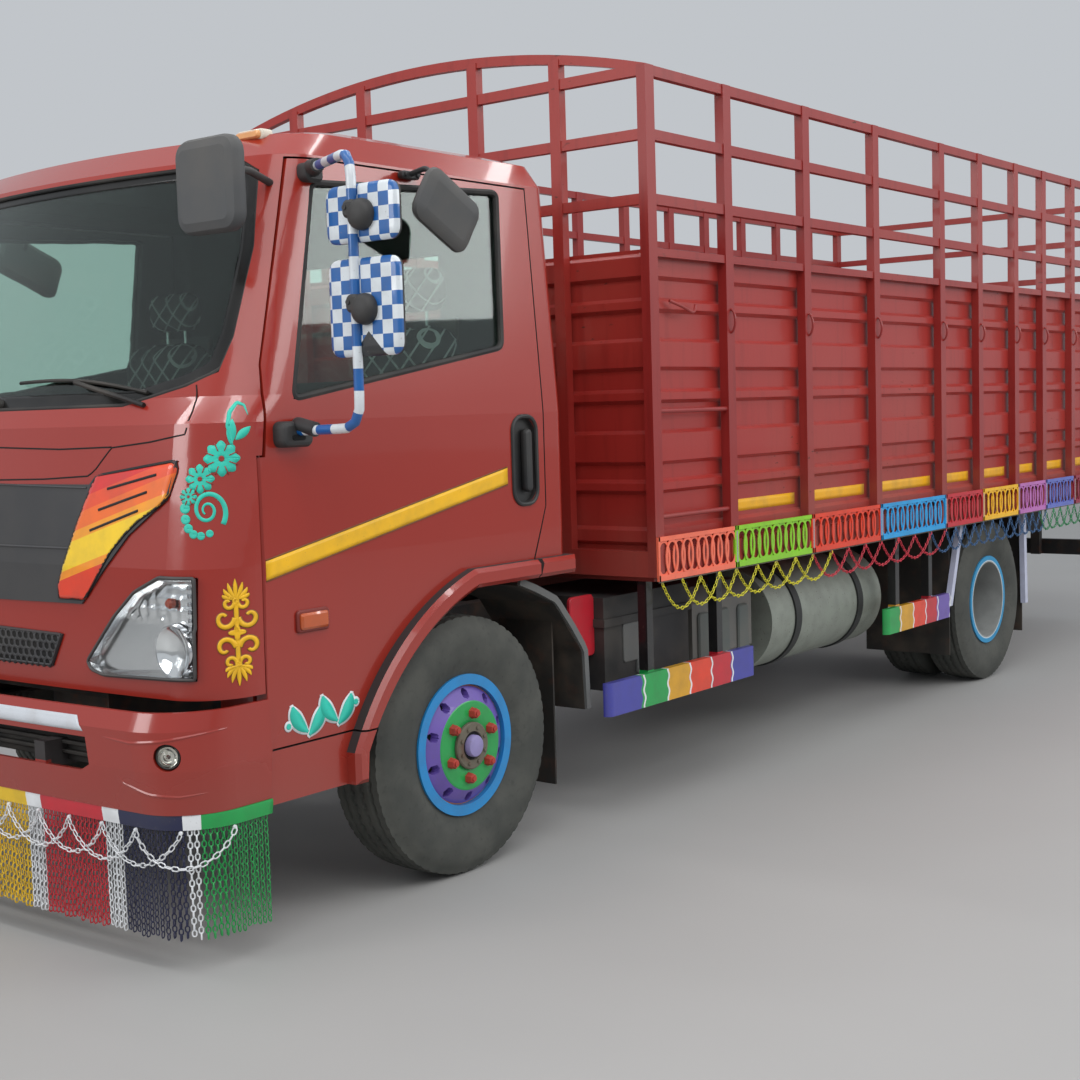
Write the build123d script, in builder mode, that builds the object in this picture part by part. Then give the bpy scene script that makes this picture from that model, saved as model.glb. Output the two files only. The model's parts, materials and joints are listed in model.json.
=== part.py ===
"""A medium goods truck, cab over engine, with a high-sided steel load body and painted chain ornament.

Millimetres. +X is forward, +Y is the truck's left, +Z is up. The origin is on the ground under the
middle of the truck's overall length and width. Places along the truck are given from the front axle,
as a coachbuilder's drawing gives them, and ahead() turns them into X.
"""

import math
import os

from build123d import *

os.makedirs("parts", exist_ok=True)

# Overall layout
LENGTH = 7992
FRONT_OVERHANG = 1240
WHEELBASE = 4220
FRONT_AXLE_X = LENGTH / 2 - FRONT_OVERHANG
SIDES = (("left", 1), ("right", -1))

# Wheels and tyres
TYRE_R = 425
TYRE_W = 224
TREAD_W = 180
BEAD_R = 206
BEAD_W = 176
RIM_FLANGE_R = 232
RIM_T = 8
TYRE_CREEP = 0.3
FRONT_WHEEL_Y = 888
KINGPIN_Y = 800
DUAL_OUT_Y = 940
DUAL_IN_Y = 676
DISC_T = 12
HUB_R = 82
STUB_R = 26
BEARING_GAP = 1
STUD_R = 13
STUD_RING_R = 108
STUDS = 6
HAND_HOLES = 10
HAND_HOLE_R = 17
HAND_RING_R = 160
DISC_FLAT_R = HAND_RING_R + HAND_HOLE_R + 5

# Chassis frame
RAIL_TOP = 780
RAIL_H = 180
RAIL_T = 8
RAIL_FLANGE = 70
RAIL_OUT_Y = 430
RAIL_FRONT = 980
RAIL_REAR = -6640
FIT = 0.3
CROSS_MEMBERS = (920, -760, -1900, -3100, -4900, -6000, -6560)
CROSS_W = 70
CROSS_H = 90
PIVOT_X = 950
PIVOT_Z = 742
PIVOT_R = 18
PIVOT_PLAY = 0.4
EYE_OUT_R = 34
EYE_Y = (RAIL_OUT_Y + 8, RAIL_OUT_Y + 62)
TOW_SPACING = (120, 55)
TOW_HOLE_R = 7.5
HOOP_X = (-520, -460)
HOOP_POST = 42
HOOP_BAR = 50

# Cab hull
CAB_HALF_W = 1000
CAB_WALL = 45
CAB_REAR = -560
CAB_FLOOR_UNDER = 958
CAB_FLOOR_T = 42
FOOTWELL_UNDER = 800
SILL_BOTTOM = 412
NOSE_BOTTOM = 735
SHUT_GAP = 6
DOOR_FRONT = 858
DOOR_REAR = -438
DOOR_BOTTOM = 572
DOOR_DEEPEST = 830
DOOR_JOG_Z = 1400
PILLAR_STEP = 26
PILLAR_MID = (806, 1660)
PILLAR_TOP = (620, 2256)
DOOR_BELT = 1180
ARCH_REAR = -352
SILL_FRONT = 478
SIDE_REACH = 1100
HANDLE = (-332, 1340)
HANDLE_TALL = 290
HANDLE_WIDE = 120
HANDLE_DEEP = 18
HINGE_INSET = 11
HINGE_Y = 988
HINGE_PIN_R = 4
HINGE_PLAY = 0.4
ARCH_TOP = 940
ARCH_FLARE = 62
FLARE_OUT = 42
ARCH_CLEAR = 22
SILL_REAR = 500
TUNNEL_HALF_W = 330
TUNNEL_FRONT = 720
TUNNEL_TOP = 1130
GLASS_T = 6
GLASS_INSET = 14
GLASS_FIT = 0.3

# Load body
BODY_FRONT = -950
BODY_REAR = FRONT_OVERHANG - LENGTH + 52
BODY_HALF_W = 1110
POST_W = 56
POST_D = 38
HEAD_D = 38
SHEET_T = 5
RIB_D = 17
RIB_SLOPE = 14
DECK_TOP = 975
DECK_T = 35
FLOOR_PLATE_T = 4
BEARER_H = 80
SHEET_LOW = 880
SHEET_TOP = 2052
SHEET_BANDS = (
    # raised bands of the sheets, from and to, in turn wide and narrow
    (992, 1062), (1183, 1238), (1290, 1420), (1518, 1573), (1640, 1760), (1853, 1908), (1972, 2068)
)
RAIL_3 = 2276
RAIL_2 = 2506
TOP_RAIL = 2732
RUNGS = (1100, 1490)
RUNG_R = 9
RUNG_SET_IN = 14
RAIL_BAR = 38
ARCH_RISE = 152
LATTICE_LOW = 866
LATTICE_HIGH = 1029
LATTICE_T = 10
LATTICE_RAIL = 12
OVAL_PITCH = 64
OVAL_W = 46
FRINGE_DROP = 122
FRINGE_T = 6
FRINGE_WIRE = 6
FRINGE_BAND = 13
SCALLOPS = 4
POSTS = (-978, -1509, -2139, -2789, -3505, -3970, -4455, -4862, -5318, -5780, -6240, BODY_REAR + POST_W / 2)


def ahead(x):
    """Turn a place given from the front axle into X."""
    return FRONT_AXLE_X + x


def block(x, y, z, mode=Mode.ADD):
    """Add a plain squared piece between two places along each axis; x is from the front axle."""
    with BuildSketch(Plane.XY.offset(z[0])) as plan:
        with Locations((ahead((x[0] + x[1]) / 2), (y[0] + y[1]) / 2)):
            Rectangle(x[1] - x[0], y[1] - y[0])
    extrude(plan.sketch, amount=z[1] - z[0], mode=mode)


def side_prism(points, y, mode=Mode.ADD):
    """Extrude an outline of (place from the front axle, height) points between two places across."""
    with BuildSketch(Plane.XZ.offset(-max(y))) as outline:
        with BuildLine():
            Polyline([(ahead(px), pz) for px, pz in points], close=True)
        make_face()
    extrude(outline.sketch, amount=max(y) - min(y), mode=mode)


def front_prism(points, x, mode=Mode.ADD):
    """Extrude an outline of (place across, height) points between two places from the front axle."""
    with BuildSketch(Plane.YZ.offset(ahead(min(x)))) as outline:
        with BuildLine():
            Polyline(points, close=True)
        make_face()
    extrude(outline.sketch, amount=max(x) - min(x), mode=mode)


def shaft(centre, axis, radius, length, mode=Mode.ADD):
    """Add a round bar of a radius that starts at a point and runs along an axis; x is from the axle."""
    with BuildSketch(Plane(origin=(ahead(centre[0]), centre[1], centre[2]), z_dir=axis)) as section:
        Circle(radius)
    extrude(section.sketch, amount=length, mode=mode)


def tube_run(points, radius, bend):
    """Carry a round section along straight runs joined by bends; x is from the front axle."""
    path_points = [(ahead(px), py, pz) for px, py, pz in points]
    with BuildLine() as path:
        FilletPolyline(*path_points, radius=bend)
    start = path.line @ 0
    with BuildSketch(Plane(origin=start, z_dir=path.line % 0)) as section:
        Circle(radius)
    sweep(section.sketch, path=path.line)


def save(part, name):
    """Label one finished piece and write its file."""
    part.label = name
    export_step(part, f"parts/{name}.step")


def both_sides(part, name):
    """Write a left piece and its mirror image for the right side."""
    save(part, f"{name}_left")
    with BuildPart() as right:
        add(mirror(part, about=Plane.XZ, mode=Mode.PRIVATE))
    save(right.part, f"{name}_right")


# The frame: two channel rails, cross-members, the cab's pivot pins and the hoop that its rear rests on
with BuildPart() as frame_rails:
    for _, side in SIDES:
        web = sorted((side * RAIL_OUT_Y, side * (RAIL_OUT_Y - RAIL_T)))
        flange = sorted((side * RAIL_OUT_Y, side * (RAIL_OUT_Y - RAIL_FLANGE)))
        block((RAIL_REAR, RAIL_FRONT), web, (RAIL_TOP - RAIL_H, RAIL_TOP))
        block((RAIL_REAR, RAIL_FRONT), flange, (RAIL_TOP - RAIL_T, RAIL_TOP))
        block((RAIL_REAR, RAIL_FRONT), flange, (RAIL_TOP - RAIL_H, RAIL_TOP - RAIL_H + RAIL_T))
    for place in CROSS_MEMBERS:
        inner = RAIL_OUT_Y - RAIL_T / 2
        with BuildSketch(Plane.XZ.offset(-inner)) as channel:
            with Locations((ahead(place), RAIL_TOP - RAIL_T - CROSS_H / 2)):
                Rectangle(CROSS_W, CROSS_H)
            open_to = RAIL_T if place == CROSS_MEMBERS[-1] else -RAIL_T
            with Locations((ahead(place) + open_to, RAIL_TOP - RAIL_T - CROSS_H / 2)):
                Rectangle(CROSS_W, CROSS_H - 2 * RAIL_T, mode=Mode.SUBTRACT)
        extrude(channel.sketch, amount=2 * inner)
    for _, side in SIDES:
        pin_start = side * (RAIL_OUT_Y - RAIL_T)
        shaft((PIVOT_X, pin_start, PIVOT_Z), (0, side, 0), PIVOT_R, EYE_Y[1] + 6 - RAIL_OUT_Y + RAIL_T)
        post_y = sorted((side * (RAIL_OUT_Y - HOOP_POST), side * RAIL_OUT_Y))
        block(HOOP_X, post_y, (RAIL_TOP - RAIL_T, CAB_FLOOR_UNDER - FIT))
    block(HOOP_X, (-RAIL_OUT_Y, RAIL_OUT_Y), (CAB_FLOOR_UNDER - FIT - HOOP_BAR, CAB_FLOOR_UNDER - FIT))
    for y in (-TOW_SPACING[0] / 2, TOW_SPACING[0] / 2):
        for rise in (-TOW_SPACING[1] / 2, TOW_SPACING[1] / 2):
            hole = (CROSS_MEMBERS[-1] - CROSS_W / 2 - 1, y, RAIL_TOP - RAIL_T - CROSS_H / 2 + rise)
            shaft(hole, (1, 0, 0), TOW_HOLE_R, RAIL_T + 2, mode=Mode.SUBTRACT)
save(frame_rails.part, "frame_rails")

# Leaf springs under the rails: each leaf is an arc, shorter towards the axle
SPRING_Y = RAIL_OUT_Y - RAIL_FLANGE / 2
SPRING_W = 66
LEAF_T = 11
LEAVES = 5
HANGER_W = 40
SPRING_SEATS = (
    # axle place, half length, height of the top leaf's middle, height of its ends
    (0, 560, 442, 530),
    (-WHEELBASE, 640, 540, 560),
)


def arc_leaf(centre, across, half, low, high, thickness):
    """Add one leaf: a band between two arcs, low in the middle and high at its ends."""
    with BuildSketch(Plane.XZ.offset(-across - SPRING_W / 2)) as band:
        with BuildLine():
            bottom = ThreePointArc((centre - half, high), (centre, low), (centre + half, high))
            rear = (centre - half, high + thickness)
            front = (centre + half, high + thickness)
            top = ThreePointArc(rear, (centre, low + thickness), front)
            Line(bottom @ 0, top @ 0)
            Line(bottom @ 1, top @ 1)
        make_face()
    extrude(band.sketch, amount=SPRING_W)


with BuildPart() as leaf_springs:
    for place, half, seat, end in SPRING_SEATS:
        for _, side in SIDES:
            for leaf in range(LEAVES):
                reach = half * (1 - leaf / (LEAVES + 1))
                rise = (end - seat) * (reach / half) ** 2
                low = seat - leaf * LEAF_T
                arc_leaf(ahead(place), side * SPRING_Y, reach, low, low + rise, LEAF_T)
            for tip in (-half, half):
                across = (side * SPRING_Y - SPRING_W / 2, side * SPRING_Y + SPRING_W / 2)
                along = (place + tip - HANGER_W / 2, place + tip + HANGER_W / 2)
                block(along, across, (end - LEAF_T / 2, RAIL_TOP - RAIL_H))
save(leaf_springs.part, "leaf_springs")

# The dropped front beam, with an eye at each end for its kingpin
BEAM_W = 84
BEAM_TOP = 398
BEAM_H = 92
EYE_R = 38
EYE_H = 116
KINGPIN_R = 17
PIN_PLAY = 0.4
with BuildPart() as front_axle:
    outline = [
        (-KINGPIN_Y, TYRE_R + BEAM_H / 2),
        (-KINGPIN_Y + 90, TYRE_R + BEAM_H / 2),
        (-KINGPIN_Y + 230, BEAM_TOP),
        (KINGPIN_Y - 230, BEAM_TOP),
        (KINGPIN_Y - 90, TYRE_R + BEAM_H / 2),
        (KINGPIN_Y, TYRE_R + BEAM_H / 2),
        (KINGPIN_Y, TYRE_R - BEAM_H / 2),
        (KINGPIN_Y - 110, TYRE_R - BEAM_H / 2),
        (KINGPIN_Y - 250, BEAM_TOP - BEAM_H),
        (-KINGPIN_Y + 250, BEAM_TOP - BEAM_H),
        (-KINGPIN_Y + 110, TYRE_R - BEAM_H / 2),
        (-KINGPIN_Y, TYRE_R - BEAM_H / 2),
    ]
    front_prism(outline, (-BEAM_W / 2 + 8, BEAM_W / 2 - 8))
    for _, side in SIDES:
        base = TYRE_R - EYE_H / 2
        shaft((0, side * KINGPIN_Y, base), (0, 0, 1), EYE_R, EYE_H)
        shaft((0, side * KINGPIN_Y, base), (0, 0, 1), KINGPIN_R + PIN_PLAY, EYE_H, mode=Mode.SUBTRACT)
        across = (side * SPRING_Y - SPRING_W / 2, side * SPRING_Y + SPRING_W / 2)
        block((-BEAM_W / 2, BEAM_W / 2), across, (BEAM_TOP - 20, BEAM_TOP))
save(front_axle.part, "front_axle")

# Each knuckle: a fork on the kingpin, a web and the stub axle that the wheel turns on
FORK_T = 26
WEB_IN = 46
WEB_T = 20
STUB_END = 172
for name, side in SIDES:
    with BuildPart() as knuckle:
        y_fork = sorted((side * (KINGPIN_Y - 36), side * (KINGPIN_Y + WEB_IN + WEB_T)))
        for low in (TYRE_R + EYE_H / 2 + 1, TYRE_R - EYE_H / 2 - 1 - FORK_T):
            block((-36, 36), y_fork, (low, low + FORK_T))
        y_web = sorted((side * (KINGPIN_Y + WEB_IN), side * (KINGPIN_Y + WEB_IN + WEB_T)))
        tall = EYE_H / 2 + 1 + FORK_T
        block((-60, 60), y_web, (TYRE_R - tall, TYRE_R + tall))
        shaft((0, side * KINGPIN_Y, TYRE_R - tall), (0, 0, 1), KINGPIN_R, 2 * tall)
        stub_y = side * (KINGPIN_Y + WEB_IN + WEB_T)
        shaft((0, stub_y, TYRE_R), (0, side, 0), STUB_R, STUB_END - WEB_IN - WEB_T)
    save(knuckle.part, f"knuckle_{name}")

# Rear axle: a banjo casing with its nose forward, and a spindle at each end
CASING_R = 168
CASING_W = 190
AXLE_TUBE_R = 58
AXLE_TUBE_END = 600
SPINDLE_END = 880
NOSE_R = 70
NOSE_REACH = 300
with BuildPart() as rear_axle:
    shaft((-WHEELBASE, -CASING_W / 2, TYRE_R), (0, 1, 0), CASING_R, CASING_W)
    shaft((-WHEELBASE, 0, TYRE_R), (1, 0, 0), NOSE_R, NOSE_REACH)
    shaft((-WHEELBASE, -AXLE_TUBE_END, TYRE_R), (0, 1, 0), AXLE_TUBE_R, 2 * AXLE_TUBE_END)
    shaft((-WHEELBASE, -SPINDLE_END, TYRE_R), (0, 1, 0), STUB_R, 2 * SPINDLE_END)
    for _, side in SIDES:
        across = (side * SPRING_Y - SPRING_W / 2, side * SPRING_Y + SPRING_W / 2)
        top = 540 - (LEAVES - 1) * LEAF_T
        block((-WHEELBASE - 45, -WHEELBASE + 45), across, (TYRE_R, top))
save(rear_axle.part, "rear_axle")

# Engine with its gearbox as one plain mass on four arms in the rails
ENGINE = (-330, 640)
ENGINE_HALF_W = 290
ENGINE_Z = (430, 1095)
GEARBOX_REAR = -930
GEARBOX_HALF_W = 150
with BuildPart() as engine_block:
    block(ENGINE, (-ENGINE_HALF_W, ENGINE_HALF_W), ENGINE_Z)
    block((GEARBOX_REAR, ENGINE[0]), (-GEARBOX_HALF_W, GEARBOX_HALF_W), (ENGINE_Z[0] - 40, 650))
    for place in (-260, 500):
        inner = RAIL_OUT_Y - RAIL_T
        block((place, place + 70), (-inner, inner), (RAIL_TOP - RAIL_H + RAIL_T, RAIL_TOP - RAIL_H + 70))
save(engine_block.part, "engine_block")

PROPSHAFT_R = 42
PROPSHAFT_Z = 480
FLANGE_T = 24
with BuildPart() as propshaft:
    nose = -WHEELBASE + NOSE_REACH
    shaft((nose, 0, TYRE_R), (1, 0, 0), 62, FLANGE_T)
    rise = Vector(GEARBOX_REAR - FLANGE_T - nose - FLANGE_T, 0, PROPSHAFT_Z - TYRE_R)
    shaft((nose + FLANGE_T - 6, 0, TYRE_R), tuple(rise), PROPSHAFT_R, rise.length + 12)
    shaft((GEARBOX_REAR - FLANGE_T, 0, PROPSHAFT_Z), (1, 0, 0), 62, FLANGE_T)
save(propshaft.part, "propshaft")


def ring(profile, axle, centre_y, side, mode=Mode.ADD):
    """Turn a (radius, place across) outline about the line of an axle."""
    plane = Plane(origin=(ahead(axle), 0, TYRE_R), x_dir=(0, 0, 1), z_dir=(1, 0, 0))
    with BuildSketch(plane) as section:
        with BuildLine():
            Polyline([(radius, -side * (centre_y + place)) for radius, place in profile], close=True)
        make_face()
    revolve(section.sketch, axis=Axis((ahead(axle), 0, TYRE_R), (0, 1, 0)), mode=mode)


BEAD_H = BEAD_W / 2 - TYRE_CREEP
TYRE_SECTION = (
    (BEAD_R + TYRE_CREEP, -BEAD_H),
    (RIM_FLANGE_R + 8, -BEAD_H),
    (310, -TYRE_W / 2),
    (392, -TYRE_W / 2 + 6),
    (TYRE_R, -TREAD_W / 2),
    (TYRE_R, TREAD_W / 2),
    (392, TYRE_W / 2 - 6),
    (310, TYRE_W / 2),
    (RIM_FLANGE_R + 8, BEAD_H),
    (BEAD_R + TYRE_CREEP, BEAD_H),
)
BARREL = (
    (BEAD_R - RIM_T, -BEAD_W / 2 - RIM_T),
    (RIM_FLANGE_R, -BEAD_W / 2 - RIM_T),
    (RIM_FLANGE_R, -BEAD_W / 2),
    (BEAD_R, -BEAD_W / 2),
    (BEAD_R, BEAD_W / 2),
    (RIM_FLANGE_R, BEAD_W / 2),
    (RIM_FLANGE_R, BEAD_W / 2 + RIM_T),
    (BEAD_R - RIM_T, BEAD_W / 2 + RIM_T),
)


def disc(edge, face, thickness):
    """Give a wheel disc's outline: a flat face, and a cone out to the barrel at edge."""
    return (
        (0, face),
        (DISC_FLAT_R, face),
        (BEAD_R - RIM_T / 2, edge),
        (BEAD_R - RIM_T / 2, edge + thickness),
        (DISC_FLAT_R, face + thickness),
        (0, face + thickness),
    )


def round_hub(radius, low, high):
    """Give a plain round mass between two places across."""
    return ((0, low), (radius, low), (radius, high), (0, high))


def stud_ring(axle, face, side, height):
    """Add the wheel nuts round the hub."""
    for turn in range(STUDS):
        angle = math.radians(360 / STUDS * turn)
        x = ahead(axle) + STUD_RING_R * math.cos(angle)
        z = TYRE_R + STUD_RING_R * math.sin(angle)
        with BuildSketch(Plane(origin=(x, side * face, z), z_dir=(0, side, 0))) as nut:
            RegularPolygon(STUD_R, 6)
        extrude(nut.sketch, amount=height)


def hand_holes(axle, centre, side):
    """Cut the hand holes through the wheel disc."""
    for turn in range(HAND_HOLES):
        angle = math.radians(360 / HAND_HOLES * (turn + 0.5))
        x = ahead(axle) + HAND_RING_R * math.cos(angle)
        z = TYRE_R + HAND_RING_R * math.sin(angle)
        with BuildSketch(Plane(origin=(x, side * (centre - 60), z), z_dir=(0, side, 0))) as hole:
            Circle(HAND_HOLE_R)
        extrude(hole.sketch, amount=120, mode=Mode.SUBTRACT)


FRONT_DISC = 930
FRONT_DRUM = (872, 925)
DRUM_R = 165
CAP_R = 44
CAP_OUT = 1000
for name, side in SIDES:
    with BuildPart() as tyre:
        ring(TYRE_SECTION, 0, FRONT_WHEEL_Y, side)
    save(tyre.part, f"tyre_front_{name}")
    with BuildPart() as rim:
        ring(BARREL, 0, FRONT_WHEEL_Y, side)
        ring(disc(FRONT_DISC + 22, FRONT_DISC, DISC_T), 0, 0, side)
        hand_holes(0, FRONT_DISC, side)
        ring(round_hub(DRUM_R, FRONT_DRUM[0], FRONT_DISC + 2), 0, 0, side)
        ring(round_hub(HUB_R, FRONT_DISC, CAP_OUT - 22), 0, 0, side)
        ring(round_hub(CAP_R, CAP_OUT - 24, CAP_OUT), 0, 0, side)
        bore_end = KINGPIN_Y + STUB_END + 6
        ring(round_hub(STUB_R + PIN_PLAY, FRONT_DRUM[0] - 5, bore_end), 0, 0, side, mode=Mode.SUBTRACT)
        stud_ring(0, FRONT_DISC + DISC_T, side, 26)
    save(rim.part, f"rim_front_{name}")

DUAL_DISC = (DUAL_OUT_Y + DUAL_IN_Y) / 2
REAR_DRUM = (640, 792)
REAR_HUB_OUT = 905
for name, side in SIDES:
    with BuildPart() as tyres:
        ring(TYRE_SECTION, -WHEELBASE, DUAL_OUT_Y, side)
        ring(TYRE_SECTION, -WHEELBASE, DUAL_IN_Y, side)
    save(tyres.part, f"tyres_rear_{name}")
    with BuildPart() as rims:
        ring(BARREL, -WHEELBASE, DUAL_OUT_Y, side)
        ring(BARREL, -WHEELBASE, DUAL_IN_Y, side)
        ring(disc(DUAL_OUT_Y - BEAD_W / 2 + 20, DUAL_DISC, DISC_T), -WHEELBASE, 0, side)
        ring(disc(DUAL_IN_Y + BEAD_W / 2 - 20 - DISC_T, DUAL_DISC - DISC_T, DISC_T), -WHEELBASE, 0, side)
        hand_holes(-WHEELBASE, DUAL_DISC, side)
        ring(round_hub(DRUM_R, *REAR_DRUM), -WHEELBASE, 0, side)
        ring(round_hub(HUB_R, REAR_DRUM[1] - 5, REAR_HUB_OUT), -WHEELBASE, 0, side)
        bore = round_hub(STUB_R + PIN_PLAY, REAR_DRUM[0] - 5, SPINDLE_END + 6)
        ring(bore, -WHEELBASE, 0, side, mode=Mode.SUBTRACT)
        stud_ring(-WHEELBASE, DUAL_DISC + DISC_T, side, 30)
    save(rims.part, f"rims_rear_{name}")

# Cab hull: plan outlines at rising heights, with tangent corner arcs and a bowed front
HULL_SECTIONS = (
    # height, rear, front, half width, front bow, corner width
    (412, -560, 1085, 994, 30, 165),
    (735, -560, 1100, 994, 30, 165),
    (1100, -560, 1098, 1000, 32, 165),
    (1500, -560, 1062, 1000, 50, 165),
    (1575, -560, 1022, 995, 85, 150),
    (2270, -556, 775, 945, 110, 110),
    (2345, -530, 690, 905, 110, 130),
    (2385, -440, 470, 770, 60, 150),
)
ROOF_FROM = 2270
REAR_CORNER_R = 45


def plan_outline(rear, front, half, bow, corner, corner_r):
    """Draw a cab plan: straight rear and sides, tangent corner arcs and a bowed front."""
    nose_half = half - corner
    nose_r = (nose_half**2 + bow**2) / (2 * bow)
    slope = math.asin(nose_half / nose_r)
    depth = corner / math.tan((math.pi / 2 - slope) / 2)
    side_end = front - bow - depth
    turn = corner_r * (1 - math.sqrt(0.5))
    front_arc = ThreePointArc(
        (ahead(front - bow), nose_half), (ahead(front), 0), (ahead(front - bow), -nose_half)
    )
    for y in (1, -1):
        TangentArc((ahead(side_end), y * half), (ahead(front - bow), y * nose_half), tangent=(1, 0))
        Line((ahead(side_end), y * half), (ahead(rear + corner_r), y * half))
        ThreePointArc(
            (ahead(rear + corner_r), y * half),
            (ahead(rear + turn), y * (half - turn)),
            (ahead(rear), y * (half - corner_r)),
        )
    Line((ahead(rear), half - corner_r), (ahead(rear), corner_r - half))
    return front_arc


def cab_hull(inset):
    """Loft the cab's outside, or a skin set in from it."""
    with BuildPart() as hull:
        for height, rear, front, half, bow, corner in HULL_SECTIONS:
            level = height - inset if height > ROOF_FROM else height
            with BuildSketch(Plane.XY.offset(level)):
                with BuildLine():
                    plan_outline(rear + inset, front - inset, half - inset, bow, corner, REAR_CORNER_R)
                make_face()
        loft(ruled=True)
    return hull.part


HULL_OUT = cab_hull(0)
HULL_IN = cab_hull(CAB_WALL)
HULL_CLEAR = cab_hull(CAB_WALL + 8)
GLASS_OUT = cab_hull(GLASS_INSET)
GLASS_IN = cab_hull(GLASS_INSET + GLASS_T)

# Outlines on the cab's side: (place from the front axle, height)
LIP_TURN = (-30, ARCH_TOP)
LIP_MID = (330, 723)
LIP_LOW = (494, 500)
WINDSCREEN_HALF = (
    (0, 1553), (590, 1553), (800, 1604), (892, 1642), (906, 1740), (896, 2000), (856, 2225), (800, 2256)
)
REAR_WINDOW = ((-480, 1640), (480, 1640), (480, 2080), (-480, 2080))
DOOR_WINDOW = ((712, 1560), (-252, 1718), (-292, 2225), (-270, 2234), (545, 2190), (562, 2176))


def both_halves(half):
    """Complete an outline from its left half, listed upwards from the centre line."""
    return list(half) + [(-py, pz) for py, pz in reversed(half) if py > 0]


def door_edge(gap):
    """Draw the door's outline, grown by a gap for its opening."""
    front = DOOR_FRONT + gap
    rear = DOOR_REAR - gap
    arch = ARCH_CLEAR - gap
    Line((ahead(front), DOOR_BOTTOM - gap), (ahead(front), DOOR_JOG_Z + gap))
    pillar = DOOR_FRONT - PILLAR_STEP + 2 * gap
    top = PILLAR_TOP[1] + gap
    Line((ahead(front), DOOR_JOG_Z + gap), (ahead(pillar), DOOR_JOG_Z + gap))
    Line((ahead(pillar), DOOR_JOG_Z + gap), (ahead(PILLAR_MID[0] + gap), PILLAR_MID[1]))
    Line((ahead(PILLAR_MID[0] + gap), PILLAR_MID[1]), (ahead(PILLAR_TOP[0] + gap), top))
    Line((ahead(PILLAR_TOP[0] + gap), top), (ahead(rear), top))
    Line((ahead(rear), top), (ahead(rear), DOOR_BELT))
    Line((ahead(rear), DOOR_BELT), (ahead(ARCH_REAR - gap), ARCH_TOP + arch))
    Line((ahead(ARCH_REAR - gap), ARCH_TOP + arch), (ahead(LIP_TURN[0]), ARCH_TOP + arch))
    ThreePointArc(
        (ahead(LIP_TURN[0]), ARCH_TOP + arch),
        (ahead(LIP_MID[0] + 0.74 * arch), LIP_MID[1] + 0.67 * arch),
        (ahead(SILL_FRONT - gap), DOOR_BOTTOM - gap),
    )
    Line((ahead(SILL_FRONT - gap), DOOR_BOTTOM - gap), (ahead(front), DOOR_BOTTOM - gap))


def door_prism(gap):
    """Extrude the door's outline through the left wall."""
    with BuildPart() as prism:
        with BuildSketch(Plane.XZ.offset(-SIDE_REACH)):
            with BuildLine():
                door_edge(gap)
            make_face()
        extrude(amount=SIDE_REACH - DOOR_DEEPEST)
    return prism.part


# The flare round the front wheel: a band that stands out from the wall, shared by door and cab
with BuildPart() as flare:
    with BuildSketch(Plane.XZ.offset(-(CAB_HALF_W + FLARE_OUT))):
        with BuildLine():
            band = ARCH_FLARE
            Line((ahead(CAB_REAR), ARCH_TOP), (ahead(LIP_TURN[0]), ARCH_TOP))
            ThreePointArc(
                (ahead(LIP_TURN[0]), ARCH_TOP),
                (ahead(LIP_MID[0]), LIP_MID[1]),
                (ahead(LIP_LOW[0]), LIP_LOW[1]),
            )
            Line((ahead(LIP_LOW[0]), LIP_LOW[1]), (ahead(LIP_LOW[0] + 8), SILL_BOTTOM))
            Line((ahead(LIP_LOW[0] + 8), SILL_BOTTOM), (ahead(LIP_LOW[0] + band), SILL_BOTTOM))
            Line((ahead(LIP_LOW[0] + band), SILL_BOTTOM), (ahead(LIP_LOW[0] + band), LIP_LOW[1] + 8))
            ThreePointArc(
                (ahead(LIP_LOW[0] + band), LIP_LOW[1] + 8),
                (ahead(LIP_MID[0] + 0.74 * band), LIP_MID[1] + 0.67 * band),
                (ahead(LIP_TURN[0] + 10), ARCH_TOP + band),
            )
            Line((ahead(LIP_TURN[0] + 10), ARCH_TOP + band), (ahead(CAB_REAR), ARCH_TOP + band))
            Line((ahead(CAB_REAR), ARCH_TOP + band), (ahead(CAB_REAR), ARCH_TOP))
        make_face()
    extrude(amount=FLARE_OUT + 15)
    outer = flare.faces().sort_by(Axis.Y)[-1]
    chamfer(outer.edges(), 14)

# The lower part of the flare swings with the door
with BuildPart() as door_flare:
    add(flare.part)
    flare_y = (CAB_HALF_W - 15, SIDE_REACH)
    block((ARCH_REAR, DOOR_FRONT), flare_y, (DOOR_BOTTOM, DOOR_BELT), mode=Mode.INTERSECT)

PANEL_T = 6
GRILLE_HALF = (
    (0, 985), (482, 990), (585, 1092), (685, 1193), (828, 1292), (856, 1400), (536, 1358), (510, 1334),
    (0, 1334),
)
SLOT_HALF = ((0, 798), (332, 798), (387, 896), (0, 903))
LAMP = ((491, 826), (507, 798), (563, 785), (915, 790), (928, 1078), (811, 1083), (708, 1039), (619, 964))
LAMP_DEEP = 36

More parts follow.
